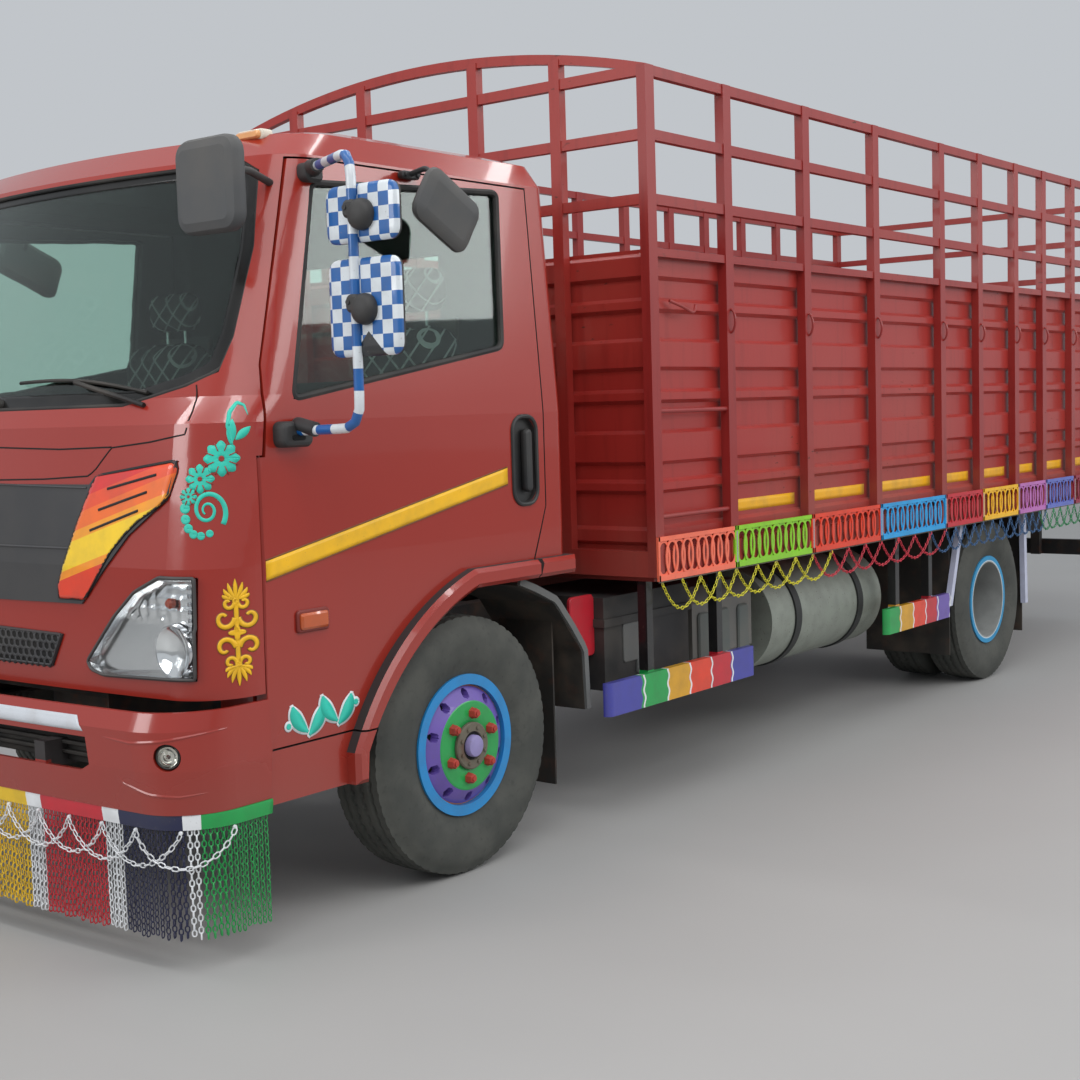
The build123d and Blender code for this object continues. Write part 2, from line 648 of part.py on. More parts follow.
with BuildPart() as cab_space:
    add(HULL_IN)
    floor_top = CAB_FLOOR_UNDER + CAB_FLOOR_T
    well_top = FOOTWELL_UNDER + CAB_FLOOR_T
    block((-700, SILL_REAR), (-1100, 1100), (300, floor_top), mode=Mode.SUBTRACT)
    block((SILL_REAR - 1, 1200), (-820, 820), (300, well_top), mode=Mode.SUBTRACT)
    for _, side in SIDES:
        across = sorted((side * 819, side * 1100))
        block((SILL_REAR - 1, SILL_REAR + 40), across, (300, well_top), mode=Mode.SUBTRACT)
        block((820, 1300), across, (300, well_top), mode=Mode.SUBTRACT)
        block((SILL_REAR + 39, 821), across, (300, 606), mode=Mode.SUBTRACT)
    hump = TUNNEL_HALF_W + CAB_WALL
    block((-700, TUNNEL_FRONT + CAB_WALL), (-hump, hump), (300, TUNNEL_TOP + CAB_WALL), mode=Mode.SUBTRACT)

with BuildPart() as door_cut:
    add(door_prism(SHUT_GAP))
    add(HULL_CLEAR, mode=Mode.SUBTRACT)

# The headlamps fill recesses in the cab's wall, whose back is a skin set in from the outside
with BuildPart() as lamp_recess:
    for _, side in SIDES:
        front_prism([(side * py, pz) for py, pz in LAMP], (700, 1300))
    add(cab_hull(LAMP_DEEP), mode=Mode.SUBTRACT)

with BuildPart() as cab_shell:
    add(HULL_OUT)
    add(cab_space.part, mode=Mode.SUBTRACT)
    add(lamp_recess.part, mode=Mode.SUBTRACT)
    block((-700, SILL_REAR), (-1100, 1100), (300, CAB_FLOOR_UNDER), mode=Mode.SUBTRACT)
    block((-700, 1055), (-800, 800), (300, FOOTWELL_UNDER), mode=Mode.SUBTRACT)
    block((DOOR_FRONT + SHUT_GAP, 1300), (-1100, 1100), (300, NOSE_BOTTOM), mode=Mode.SUBTRACT)
    block((-700, TUNNEL_FRONT), (-TUNNEL_HALF_W, TUNNEL_HALF_W), (300, TUNNEL_TOP), mode=Mode.SUBTRACT)
    front_prism(both_halves(WINDSCREEN_HALF), (560, 1200), mode=Mode.SUBTRACT)
    front_prism(REAR_WINDOW, (-700, -400), mode=Mode.SUBTRACT)
    add(flare.part)
    add(mirror(flare.part, about=Plane.XZ, mode=Mode.PRIVATE))
    add(door_cut.part, mode=Mode.SUBTRACT)
    add(mirror(door_cut.part, about=Plane.XZ, mode=Mode.PRIVATE), mode=Mode.SUBTRACT)
    for _, side in SIDES:
        across = sorted((side * (CAB_HALF_W - 20), side * SIDE_REACH))
        flare_gap = (DOOR_BOTTOM - SHUT_GAP, DOOR_BELT)
        block((ARCH_REAR - SHUT_GAP, SILL_REAR + 200), across, flare_gap, mode=Mode.SUBTRACT)
        eye = sorted((side * EYE_Y[0], side * EYE_Y[1]))
        shaft((PIVOT_X, eye[0], PIVOT_Z), (0, 1, 0), EYE_OUT_R, eye[1] - eye[0])
        block((PIVOT_X - 26, PIVOT_X + 26), eye, (PIVOT_Z, FOOTWELL_UNDER))
        bore = (PIVOT_X, eye[0], PIVOT_Z)
        shaft(bore, (0, 1, 0), PIVOT_R + PIVOT_PLAY, eye[1] - eye[0], mode=Mode.SUBTRACT)
        hinge = DOOR_FRONT - HINGE_INSET
        shaft((hinge, side * HINGE_Y, DOOR_BOTTOM - SHUT_GAP - 12), (0, 0, 1), HINGE_PIN_R, 36)
        shaft((hinge, side * HINGE_Y, DOOR_JOG_Z - 18), (0, 0, 1), HINGE_PIN_R, 40)
save(cab_shell.part, "cab_shell")

# Doors: the wall's own section inside the door's outline, with the window cut and two hinge sockets
for name, side in SIDES:
    with BuildPart() as door:
        add(door_prism(0))
        add(HULL_OUT, mode=Mode.INTERSECT)
        add(HULL_IN, mode=Mode.SUBTRACT)
        add(door_flare.part)
        side_prism(DOOR_WINDOW, (DOOR_DEEPEST, SIDE_REACH), mode=Mode.SUBTRACT)
        with BuildSketch(Plane.XZ.offset(-SIDE_REACH)) as pocket:
            with Locations((ahead(HANDLE[0]), HANDLE[1])):
                SlotOverall(HANDLE_TALL, HANDLE_WIDE, rotation=90)
        pocket_in = SIDE_REACH - CAB_HALF_W + HANDLE_DEEP
        extrude(pocket.sketch, amount=pocket_in, mode=Mode.SUBTRACT)
        hinge = DOOR_FRONT - HINGE_INSET
        shaft((hinge, HINGE_Y, DOOR_BOTTOM - 1), (0, 0, 1), HINGE_PIN_R + HINGE_PLAY, 22, mode=Mode.SUBTRACT)
        shaft((hinge, HINGE_Y, DOOR_JOG_Z - 22), (0, 0, 1), HINGE_PIN_R + HINGE_PLAY, 23, mode=Mode.SUBTRACT)
        edge = DOOR_FRONT + 1
        corner = ((DOOR_FRONT - 8, CAB_HALF_W + 1), (edge, CAB_HALF_W + 1), (edge, HINGE_Y + 3))
        with BuildSketch(Plane.XY.offset(DOOR_BOTTOM - 1)) as bevel:
            with BuildLine():
                Polyline([(ahead(px), py) for px, py in corner], close=True)
            make_face()
        extrude(bevel.sketch, amount=DOOR_JOG_Z - DOOR_BOTTOM + 2, mode=Mode.SUBTRACT)
        if side < 0:
            add(mirror(door.part, about=Plane.XZ, mode=Mode.PRIVATE), mode=Mode.REPLACE)
    save(door.part, f"door_{name}")
    with BuildPart() as pane:
        side_prism(DOOR_WINDOW, (DOOR_DEEPEST, SIDE_REACH))
        add(GLASS_OUT, mode=Mode.INTERSECT)
        add(GLASS_IN, mode=Mode.SUBTRACT)
        if side < 0:
            add(mirror(pane.part, about=Plane.XZ, mode=Mode.PRIVATE), mode=Mode.REPLACE)
    save(pane.part, f"door_glass_{name}")

with BuildPart() as cab_glass:
    front_prism(both_halves(WINDSCREEN_HALF), (560, 1200))
    front_prism(REAR_WINDOW, (-700, -400))
    add(GLASS_OUT, mode=Mode.INTERSECT)
    add(GLASS_IN, mode=Mode.SUBTRACT)
save(cab_glass.part, "cab_glass")

# Front dress: a dark panel, its honeycomb slot and the headlamps stand a little proud of the skin
PROUD = cab_hull(-PANEL_T)
with BuildPart() as grille_panel:
    front_prism(both_halves(GRILLE_HALF), (900, 1300))
    front_prism(both_halves(SLOT_HALF), (900, 1300))
    add(PROUD, mode=Mode.INTERSECT)
    add(HULL_OUT, mode=Mode.SUBTRACT)
save(grille_panel.part, "grille_panel")
with BuildPart() as headlamps:
    add(lamp_recess.part)
    add(PROUD, mode=Mode.INTERSECT)
save(headlamps.part, "headlamps")

# Bumper: a hollow shell with a bulging shoulder, open behind, on two arms under the rails
BUMPER_SECTIONS = (
    # height, front, half width, front bow, corner width
    (437, 1200, 1004, 20, 175),
    (560, 1226, 1013, 24, 185),
    (672, 1240, 1013, 26, 190),
    (722, 1222, 1013, 26, 185),
)
BUMPER_T = 12
BUMPER_END = 868
INTAKE = ((-640, 560), (-600, 540), (600, 540), (640, 560), (640, 640), (-640, 640))


def bumper_loft(sections, inset):
    """Loft the bumper's plan outlines, set in by a skin."""
    with BuildPart() as body:
        for height, front, half, bow, corner in sections:
            with BuildSketch(Plane.XY.offset(height)):
                with BuildLine():
                    plan_outline(600, front - inset, half - inset, bow, corner, REAR_CORNER_R)
                make_face()
        loft(ruled=True)
    return body.part


ARM_Y = (375, 425)
FOG_AT = (1171, 930, 602)
FOG_HEADING = 35
FOG_R = 38
FOG_CUP_T = 6
FOG_DEEP = 42


def fog_bar(side, radius, low, high, mode=Mode.ADD):
    """Add a round bar on the fog lamp's line, between two places out from the bumper's skin."""
    turn = math.radians(FOG_HEADING)
    start = (FOG_AT[0] + low * math.cos(turn), side * (FOG_AT[1] + low * math.sin(turn)), FOG_AT[2])
    shaft(start, (math.cos(turn), side * math.sin(turn), 0), radius, high - low, mode=mode)


# Round cups for the fog lamps, cut off by the bumper's own outside
with BuildPart() as fog_cups:
    for _, side in SIDES:
        fog_bar(side, FOG_R + FOG_CUP_T, -FOG_DEEP - FOG_CUP_T, 20)
    add(bumper_loft(BUMPER_SECTIONS, 1), mode=Mode.INTERSECT)

with BuildPart() as front_bumper:
    add(bumper_loft(BUMPER_SECTIONS, 0))
    add(bumper_loft(BUMPER_SECTIONS, BUMPER_T), mode=Mode.SUBTRACT)
    block((0, BUMPER_END), (-1100, 1100), (300, 800), mode=Mode.SUBTRACT)
    front_prism(INTAKE, (1000, 1400), mode=Mode.SUBTRACT)
    add(fog_cups.part)
    for _, side in SIDES:
        fog_bar(side, FOG_R, -FOG_DEEP, 40, mode=Mode.SUBTRACT)
        across = sorted((side * ARM_Y[0], side * ARM_Y[1]))
        block((RAIL_FRONT - 90, 1205), across, (RAIL_TOP - RAIL_H - 80, RAIL_TOP - RAIL_H))
save(front_bumper.part, "front_bumper")

# The painted strip under the bumper and the chain curtain that hangs from it
STRIP = ((392, 1188, 1000, 20, 175), (437, 1198, 1004, 20, 175))
CURTAIN_LOW = 78
STRIP_T = 6
STRAND_PITCH = 22
STRAND_W = 13
STRAND_T = 4
with BuildPart() as bumper_chains:
    add(bumper_loft(STRIP, 0))
    add(bumper_loft(STRIP, STRIP_T), mode=Mode.SUBTRACT)
    block((0, BUMPER_END), (-SIDE_REACH, SIDE_REACH), (0, 800), mode=Mode.SUBTRACT)
    with BuildLine() as hanging:
        height, front, half, bow, corner = STRIP[0]
        plan_outline(600, front - STRIP_T / 2, half - STRIP_T / 2, bow, corner, REAR_CORNER_R)
    line = hanging.wires()[0]
    strands = round(line.length / STRAND_PITCH)
    with BuildSketch(Plane.XY.offset(CURTAIN_LOW)) as curtain:
        for strand in range(strands):
            place = line @ (strand / strands)
            along = line % (strand / strands)
            if place.X > ahead(BUMPER_END) + STRAND_W:
                turn = math.degrees(math.atan2(along.Y, along.X))
                with Locations(Location((place.X, place.Y, 0), (0, 0, turn))):
                    Rectangle(STRAND_W, STRAND_T)
    extrude(curtain.sketch, amount=height + 2 - CURTAIN_LOW)
save(bumper_chains.part, "bumper_chains")

# Inside the cab: dashboard with the steering column, seats
DASH = ((1010, 1500), (740, 1492), (640, 1420), (660, 1240), (860, 1060), (1010, 1010))
DASH_HALF_W = 940
STEER_Y = -600
STEER_CENTRE = (400, 1460)
STEER_RAKE = 35
STEER_R = 225
GRIP_R = 15
COLUMN_R = 32
with BuildPart() as dashboard:
    side_prism(DASH, (-DASH_HALF_W, DASH_HALF_W))
    add(cab_hull(CAB_WALL + FIT), mode=Mode.INTERSECT)
    hump = TUNNEL_HALF_W + CAB_WALL
    block((-700, TUNNEL_FRONT + CAB_WALL), (-hump, hump), (300, TUNNEL_TOP + CAB_WALL), mode=Mode.SUBTRACT)
    rake = math.radians(STEER_RAKE)
    down = (math.sin(rake), 0, -math.cos(rake))
    start = (STEER_CENTRE[0] + 60 * down[0], STEER_Y, STEER_CENTRE[1] + 60 * down[2])
    foot = FOOTWELL_UNDER + CAB_FLOOR_T + FIT + COLUMN_R * math.sin(rake)
    shaft(start, down, COLUMN_R, (start[2] - foot) / math.cos(rake))
    block((600, 770), (STEER_Y - 30, STEER_Y + 30), (1120, 1240))
save(dashboard.part, "dashboard")

with BuildPart() as steering_wheel:
    hub = (ahead(STEER_CENTRE[0]), STEER_Y, STEER_CENTRE[1])
    hub_plane = Plane(origin=hub, z_dir=(-down[0], 0, -down[2]))
    with BuildSketch(Plane(origin=hub_plane.origin, x_dir=hub_plane.x_dir, z_dir=hub_plane.y_dir)) as grip:
        with Locations((STEER_R - GRIP_R, 0)):
            Circle(GRIP_R)
    revolve(grip.sketch, axis=Axis(hub_plane.origin, hub_plane.z_dir))
    with BuildSketch(hub_plane.offset(-59.5)) as boss:
        Circle(COLUMN_R + 12)
    extrude(boss.sketch, amount=66)
    with BuildSketch(hub_plane.offset(-12)) as spokes:
        with PolarLocations(STEER_R / 2 - 8, 3):
            Rectangle(STEER_R - 20, 34)
    extrude(spokes.sketch, amount=14)
save(steering_wheel.part, "steering_wheel")

SEATS_Y = (-630, 630)
SEAT_W = 470
SEAT_FLOOR = CAB_FLOOR_UNDER + CAB_FLOOR_T + FIT
CUSHION_Z = (1120, 1240)
CUSHION_FRONT = ((300, CUSHION_Z[0]), (318, 1200), (290, 1262))
CUSHION = ((-180, CUSHION_Z[0]), *CUSHION_FRONT, (-60, CUSHION_Z[1]), (-150, CUSHION_Z[1]))
BACK_FOOT = (-185, CUSHION_Z[1] + FIT)
BACK_HEAD = (-255, 1830)
BACKREST = (BACK_FOOT, (-75, BACK_FOOT[1]), (-170, BACK_HEAD[1]), BACK_HEAD)
HEADREST = ((-255, 1845), (-165, 1845), (-178, 2010), (-250, 2010))
with BuildPart() as seat_bases:
    for y in SEATS_Y:
        block((-140, 270), (y - 190, y + 190), (SEAT_FLOOR, CUSHION_Z[0] - FIT))
        front = BACK_FOOT[0] - FIT
        head = (BACK_HEAD[0] - FIT, BACK_HEAD[1])
        support = ((front - 40, SEAT_FLOOR), (front, SEAT_FLOOR), (front, BACK_FOOT[1]), head)
        support += ((head[0] - 14, head[1]), (front - 40, BACK_FOOT[1]))
        side_prism(support, (y - 150, y + 150))
save(seat_bases.part, "seat_bases")
with BuildPart() as seat_cushions:
    for y in SEATS_Y:
        side_prism(CUSHION, (y - SEAT_W / 2, y + SEAT_W / 2))
save(seat_cushions.part, "seat_cushions")
with BuildPart() as seat_backs:
    for y in SEATS_Y:
        side_prism(BACKREST, (y - SEAT_W / 2, y + SEAT_W / 2))
        side_prism(HEADREST, (y - 140, y + 140))
        block((-220, -205), (y - 60, y - 48), (1800, 1860))
        block((-220, -205), (y + 48, y + 60), (1800, 1860))
save(seat_backs.part, "seat_backs")

# Mirrors: each door carries a bowed tube with two heads and a kerb mirror over its window
TUBE_R = 14
TUBE_RUN = ((735, 1004, 1470), (745, 1290, 1475), (755, 1300, 2215), (575, 960, 2225))
HEADS = ((2052, 78), (1800, 132))
HEAD_X_REAR = 718
HEAD_T = 27
HEAD_W = 265
HEAD_MID_Y = 1318
HEAD_CORNER = 34
CLAMP_R = 30


def mirror_head(centre, width, tall, corner, depth):
    """Add a mirror head that faces rearwards: a round-cornered slab with a softened front edge."""
    with BuildPart(mode=Mode.PRIVATE) as head:
        with BuildSketch(Plane.YZ.offset(ahead(centre[0]))) as face:
            with Locations((centre[1], centre[2])):
                RectangleRounded(width, tall, corner)
        extrude(face.sketch, amount=depth)
        chamfer(head.faces().sort_by(Axis.X)[-1].edges(), depth / 4)
    add(head.part)


with BuildPart() as mirrors:
    tube_run(TUBE_RUN, TUBE_R, 70)
    for middle, tall in HEADS:
        mirror_head((HEAD_X_REAR, HEAD_MID_Y, middle), HEAD_W, 2 * tall, HEAD_CORNER, HEAD_T)
        shaft((HEAD_X_REAR + HEAD_T - 2, TUBE_RUN[2][1], middle), (1, 0, 0), CLAMP_R, 32)
    block((680, 800), (CAB_HALF_W - 20, CAB_HALF_W + 44), (1425, 1498))
    block((540, 600), (920, 985), (2196, 2250))
    block((120, 190), (920, 975), (2238, 2254))
    add(HULL_OUT, mode=Mode.SUBTRACT)
    tube_run(((155, 960, 2246), (155, 1040, 2262), (150, 1085, 2190)), 9, 20)
    with BuildSketch(Plane.XZ.offset(-1110)) as kerb:
        with Locations((ahead(140), 2128)):
            RectangleRounded(280, 175, 45)
    extrude(kerb.sketch, amount=40)
both_sides(mirrors.part, "mirrors")

with BuildPart() as front_mirror:
    tube_run(((640, 880, 2180), (800, 940, 2205), (905, 930, 2185)), 11, 20)
    mirror_head((900, 925, 2150), 250, 260, 50, 50)
    add(HULL_OUT, mode=Mode.SUBTRACT)
save(front_mirror.part, "front_mirror")

# Under the load body, left and right: tanks, battery box, mudguards and guard boards
TANK_X = (-3180, -2120)
TANK_R = 230
TANK_MID = (690, 555)
TANK_STRAPS = (-2950, -2350)
TANK_STRAP_W = 50
GUARD_Y = (1030, 1058)
FRONT_GUARD = (-1720, -705)
REAR_GUARD = (-3672, -2965)
GUARD_Z = (398, 520)
GUARD_POST = 40
with BuildPart() as fuel_tank:
    shaft((TANK_X[0], TANK_MID[0], TANK_MID[1]), (1, 0, 0), TANK_R, TANK_X[1] - TANK_X[0])
    for place in TANK_STRAPS:
        shaft((place - TANK_STRAP_W / 2, TANK_MID[0], TANK_MID[1]), (1, 0, 0), TANK_R + 8, TANK_STRAP_W)
        along = (place - TANK_STRAP_W / 2, place + TANK_STRAP_W / 2)
        block(along, (RAIL_OUT_Y, TANK_MID[0]), (RAIL_TOP - 60, RAIL_TOP))
save(fuel_tank.part, "fuel_tank")

with BuildPart() as side_tank:
    block((-2010, -1540), (RAIL_OUT_Y, 880), (420, 760))
    chamfer(side_tank.edges().filter_by(Axis.X).sort_by(Axis.Y)[-2:], 60)
save(side_tank.part, "side_tank")

with BuildPart() as battery_box:
    block((-1480, -900), (RAIL_OUT_Y, 900), (450, 800))
    block((-1490, -890), (RAIL_OUT_Y, 910), (690, 720))
    block((-1420, -960), (-780, -RAIL_OUT_Y), (460, 700))
save(battery_box.part, "battery_box")

# Mudguards behind the front wheels and before and behind the rear wheels, with flaps and painted struts
WING_T = 10
FRONT_WING = ((-300, 925), (-500, 840), (-656, 645), (-668, 430))
FRONT_WING_Y = (640, 980)
FLAP_T = 8
FLAP_Z = (170, 770)
REAR_FLAPS = (470, -515)
REAR_FLAP_Y = (560, 1025)
REAR_FLAP_LOW = 190
DECK_UNDER = DECK_TOP - DECK_T
BEARER_LOW = DECK_UNDER - BEARER_H
STRUTS = (
    # place of the top, under the floor, then place and height of the foot
    (-3864, -3690, 452),
    (-4688, -4715, 350),
)
GUARD_POSTS = (
    # place, height of the top: under a bearer, or else under the floor
    (-1509, BEARER_LOW),
    (BODY_FRONT - HEAD_D - POST_W / 2, BEARER_LOW),
    (-3505, BEARER_LOW),
    (-3130, DECK_UNDER),
)


def strip(points, thickness):
    """Give the outline of a bent strip: the line of points, and the line set in by a thickness."""
    inner = []
    for index, (px, pz) in enumerate(points):
        before = points[max(index - 1, 0)]
        after = points[min(index + 1, len(points) - 1)]
        run = math.hypot(after[0] - before[0], after[1] - before[1])
        aside = (after[1] - before[1]) / run * thickness
        up = (after[0] - before[0]) / run * thickness
        inner.append((px - aside, pz + up))
    return list(points) + inner[::-1]


with BuildPart() as mudguards:
    for _, side in SIDES:
        wing_y = sorted((side * FRONT_WING_Y[0], side * FRONT_WING_Y[1]))
        side_prism(strip(FRONT_WING, WING_T), wing_y)
        flap_y = sorted((side * (FRONT_WING_Y[0] + 40), side * (FRONT_WING_Y[1] - 60)))
        block((-562, -562 + FLAP_T), flap_y, FLAP_Z)
        stay_y = sorted((side * RAIL_OUT_Y, side * FRONT_WING_Y[0]))
        block((-640, -600), stay_y, (690, 720))
        for place in REAR_FLAPS:
            across = sorted((side * REAR_FLAP_Y[0], side * REAR_FLAP_Y[1]))
            block((-WHEELBASE + place, -WHEELBASE + place + FLAP_T), across, (REAR_FLAP_LOW, DECK_UNDER))
save(mudguards.part, "mudguards")


def guard_board(low, high, side):
    """Add a guard board whose front end is rounded back towards the truck."""
    curl = GUARD_Y[1] - GUARD_Y[0]
    turn = curl * math.sqrt(0.5)
    inner = side * GUARD_Y[0]
    outer = side * GUARD_Y[1]
    with BuildSketch(Plane.XY.offset(GUARD_Z[0])) as plan:
        with BuildLine():
            Line((ahead(high), inner), (ahead(low), inner))
            Line((ahead(low), inner), (ahead(low), outer))
            Line((ahead(low), outer), (ahead(high - curl), outer))
            bend = (ahead(high - curl + turn), inner + side * turn)
            ThreePointArc((ahead(high - curl), outer), bend, (ahead(high), inner))
        make_face()
    extrude(plan.sketch, amount=GUARD_Z[1] - GUARD_Z[0])


with BuildPart() as side_guards:
    for _, side in SIDES:
        across = sorted((side * GUARD_Y[0], side * GUARD_Y[1]))
        for low, high in (FRONT_GUARD, REAR_GUARD):
            guard_board(low, high, side)
        post_y = sorted((side * (GUARD_Y[0] - GUARD_POST), side * GUARD_Y[0]))
        for place, top in GUARD_POSTS:
            block((place - GUARD_POST / 2, place + GUARD_POST / 2), post_y, (GUARD_Z[0] + 20, top))
        for top, foot, low in STRUTS:
            bar = ((foot - 18, low), (foot + 18, low), (top + 18, DECK_UNDER), (top - 18, DECK_UNDER))
            side_prism(bar, across)
save(side_guards.part, "side_guards")

# Load body: floor on runners and bearers
with BuildPart() as deck_floor:
    inner = BODY_HALF_W - POST_D
    deck_front = BODY_FRONT - HEAD_D
    block((BODY_REAR, deck_front), (-inner, inner), (DECK_UNDER, DECK_TOP - FLOOR_PLATE_T))
    plate_side = inner - RIB_D - SHEET_T - FIT
    plate_front = deck_front - RIB_D - SHEET_T - FIT
    plate_z = (DECK_TOP - FLOOR_PLATE_T, DECK_TOP)
    block((BODY_REAR, plate_front), (-plate_side, plate_side), plate_z)
    for place in (deck_front - POST_W / 2, *POSTS[1:]):
        block((place - POST_W / 2, place + POST_W / 2), (-inner, inner), (BEARER_LOW, DECK_UNDER))
    for _, side in SIDES:
        across = sorted((side * (RAIL_OUT_Y - RAIL_FLANGE + 5), side * (RAIL_OUT_Y - 5)))
        block((RAIL_REAR, deck_front), across, (RAIL_TOP, BEARER_LOW))
save(deck_floor.part, "deck_floor")


def ribbed(low, high, base):
    """Give a ribbed sheet's section: (out, up) points with bands that stand out from a base line."""
    face = [(base, low)]
    for start, stop in SHEET_BANDS:
        if start > low and stop < high:
            face += [(base, start), (base + RIB_D, start + RIB_SLOPE)]
            face += [(base + RIB_D, stop - RIB_SLOPE), (base, stop)]
    face.append((base, high))
    back = [(out - SHEET_T, up) for out, up in reversed(face)]
    return face + back


RAILS = (RAIL_3, RAIL_2, TOP_RAIL)
RAIL_Y = (BODY_HALF_W - POST_D + 4, BODY_HALF_W - 4)
with BuildPart() as side_frames:
    for _, side in SIDES:
        post_y = sorted((side * (BODY_HALF_W - POST_D), side * BODY_HALF_W))
        for place in POSTS:
            block((place - POST_W / 2, place + POST_W / 2), post_y, (SHEET_LOW, TOP_RAIL))
        rail_y = sorted((side * RAIL_Y[0], side * RAIL_Y[1]))
        for top in RAILS:
            block((POSTS[-1], POSTS[0]), rail_y, (top - RAIL_BAR, top))
        block((POSTS[-1], POSTS[0]), rail_y, (SHEET_TOP, SHEET_TOP + 30))
        block((POSTS[-1], POSTS[0]), rail_y, (LATTICE_LOW + 14, DECK_TOP))
        for height in RUNGS:
            rung = (POSTS[1], side * (BODY_HALF_W - RUNG_SET_IN), height)
            shaft(rung, (1, 0, 0), RUNG_R, POSTS[0] - POSTS[1])
save(side_frames.part, "side_frames")

with BuildPart() as side_sheets:
    for _, side in SIDES:
        section = ribbed(DECK_TOP - FLOOR_PLATE_T, SHEET_TOP + 30, BODY_HALF_W - POST_D - RIB_D)
        front_prism([(side * out, up) for out, up in section], (BODY_REAR + 4, BODY_FRONT - 62))
save(side_sheets.part, "side_sheets")

# Headboard behind the cab: ribbed sheet, posts, rails and the arched top bar
HEAD_POSTS = (700, 300)
HEAD_X = (BODY_FRONT - HEAD_D, BODY_FRONT)
with BuildPart() as headboard:
    inner = BODY_HALF_W - POST_D
    side_prism(ribbed(DECK_TOP - FLOOR_PLATE_T, SHEET_TOP + 30, HEAD_X[0] - RIB_D), (-inner, inner))
    for _, side in SIDES:
        for y in HEAD_POSTS:
            across = sorted((side * (y - 24), side * (y + 24)))
            radius = ((BODY_HALF_W**2) + ARCH_RISE**2) / (2 * ARCH_RISE)
            top = TOP_RAIL + ARCH_RISE - (radius - math.sqrt(radius**2 - y**2)) - 20
            block(HEAD_X, across, (SHEET_LOW, top))
    for top in RAILS:
        block((HEAD_X[0] + 4, HEAD_X[1] - 4), (-inner, inner), (top - RAIL_BAR, top))
    block((HEAD_X[0], HEAD_X[1]), (-inner, inner), (SHEET_LOW, DECK_TOP))
    with BuildSketch(Plane.YZ.offset(ahead(HEAD_X[0] + 4))) as arch:
        with BuildLine():
            crown = TOP_RAIL + ARCH_RISE
            spring = TOP_RAIL - 22
            upper = ThreePointArc((-BODY_HALF_W, TOP_RAIL), (0, crown), (BODY_HALF_W, TOP_RAIL))
            lower = ThreePointArc((-inner, spring), (0, crown - RAIL_BAR), (inner, spring))
            Line(upper @ 0, (-inner, TOP_RAIL))
            Line((-inner, TOP_RAIL), lower @ 0)
            Line(upper @ 1, (inner, TOP_RAIL))
            Line((inner, TOP_RAIL), lower @ 1)
        make_face()
    extrude(arch.sketch, amount=30)
save(headboard.part, "headboard")

# Painted lattice panels along the floor's edge: upright ovals pierced between two rails
OVAL_H = LATTICE_HIGH - LATTICE_LOW - 2 * LATTICE_RAIL
OVAL = (
    (0, OVAL_H / 2),
    (-OVAL_W / 2, OVAL_H / 4),
    (-OVAL_W / 2, -OVAL_H / 4),
    (0, -OVAL_H / 2),
    (OVAL_W / 2, -OVAL_H / 4),
    (OVAL_W / 2, OVAL_H / 4),
)
with BuildPart() as lattice_panels:
    length = BODY_FRONT - BODY_REAR
    middle = (ahead((BODY_REAR + BODY_FRONT) / 2), (LATTICE_LOW + LATTICE_HIGH) / 2)
    for _, side in SIDES:
        outside = max(side * BODY_HALF_W, side * (BODY_HALF_W + LATTICE_T))
        with BuildSketch(Plane.XZ.offset(-outside)) as panel:
            with Locations(middle):
                Rectangle(length, LATTICE_HIGH - LATTICE_LOW)
                with GridLocations(OVAL_PITCH, 1, int(length / OVAL_PITCH), 1):
                    Polygon(*OVAL, mode=Mode.SUBTRACT)
        extrude(panel.sketch, amount=LATTICE_T)
save(lattice_panels.part, "lattice_panels")


def hanging_chain(start, stop, top, low):
    """Give the outline of a chain that hangs between two places: a band that falls and rises again."""
    lower = []
    for share, fall in ((0, 0), (0.22, 0.7), (0.5, 1), (0.78, 0.7), (1, 0)):
        lower.append((ahead(start + share * (stop - start)), top - fall * (top - low)))
    return lower + [(px, pz + FRINGE_BAND) for px, pz in reversed(lower)]


# Chains in loops under the panels: each loop spans two hooks, so that the loops cross
with BuildPart() as chain_fringes:
    hooks = []
    for start, stop in zip(POSTS[:-1], POSTS[1:]):
        hooks += [start + (stop - start) * loop / SCALLOPS for loop in range(SCALLOPS)]
    hooks.append(POSTS[-1])
    wire_low = LATTICE_LOW - FRINGE_WIRE
    with BuildSketch(Plane.XZ.offset(-(BODY_HALF_W + 2 + FRINGE_T))) as loops:
        with BuildLine():
            ends = (ahead(POSTS[-1]), ahead(POSTS[0]))
            wire = ((ends[0], wire_low), (ends[1], wire_low), (ends[1], LATTICE_LOW), (ends[0], LATTICE_LOW))
            Polyline(*wire, close=True)
        make_face()
        for start, stop in zip(hooks[:-2], hooks[2:]):
            with BuildLine():
                eye = wire_low - FRINGE_BAND + FRINGE_WIRE / 2
                chain = hanging_chain(start, stop, eye, LATTICE_LOW - FRINGE_DROP)
                Polyline(chain, close=True)
            make_face()
    extrude(loops.sketch, amount=FRINGE_T)
    add(mirror(chain_fringes.part, about=Plane.XZ, mode=Mode.PRIVATE))
save(chain_fringes.part, "chain_fringes")

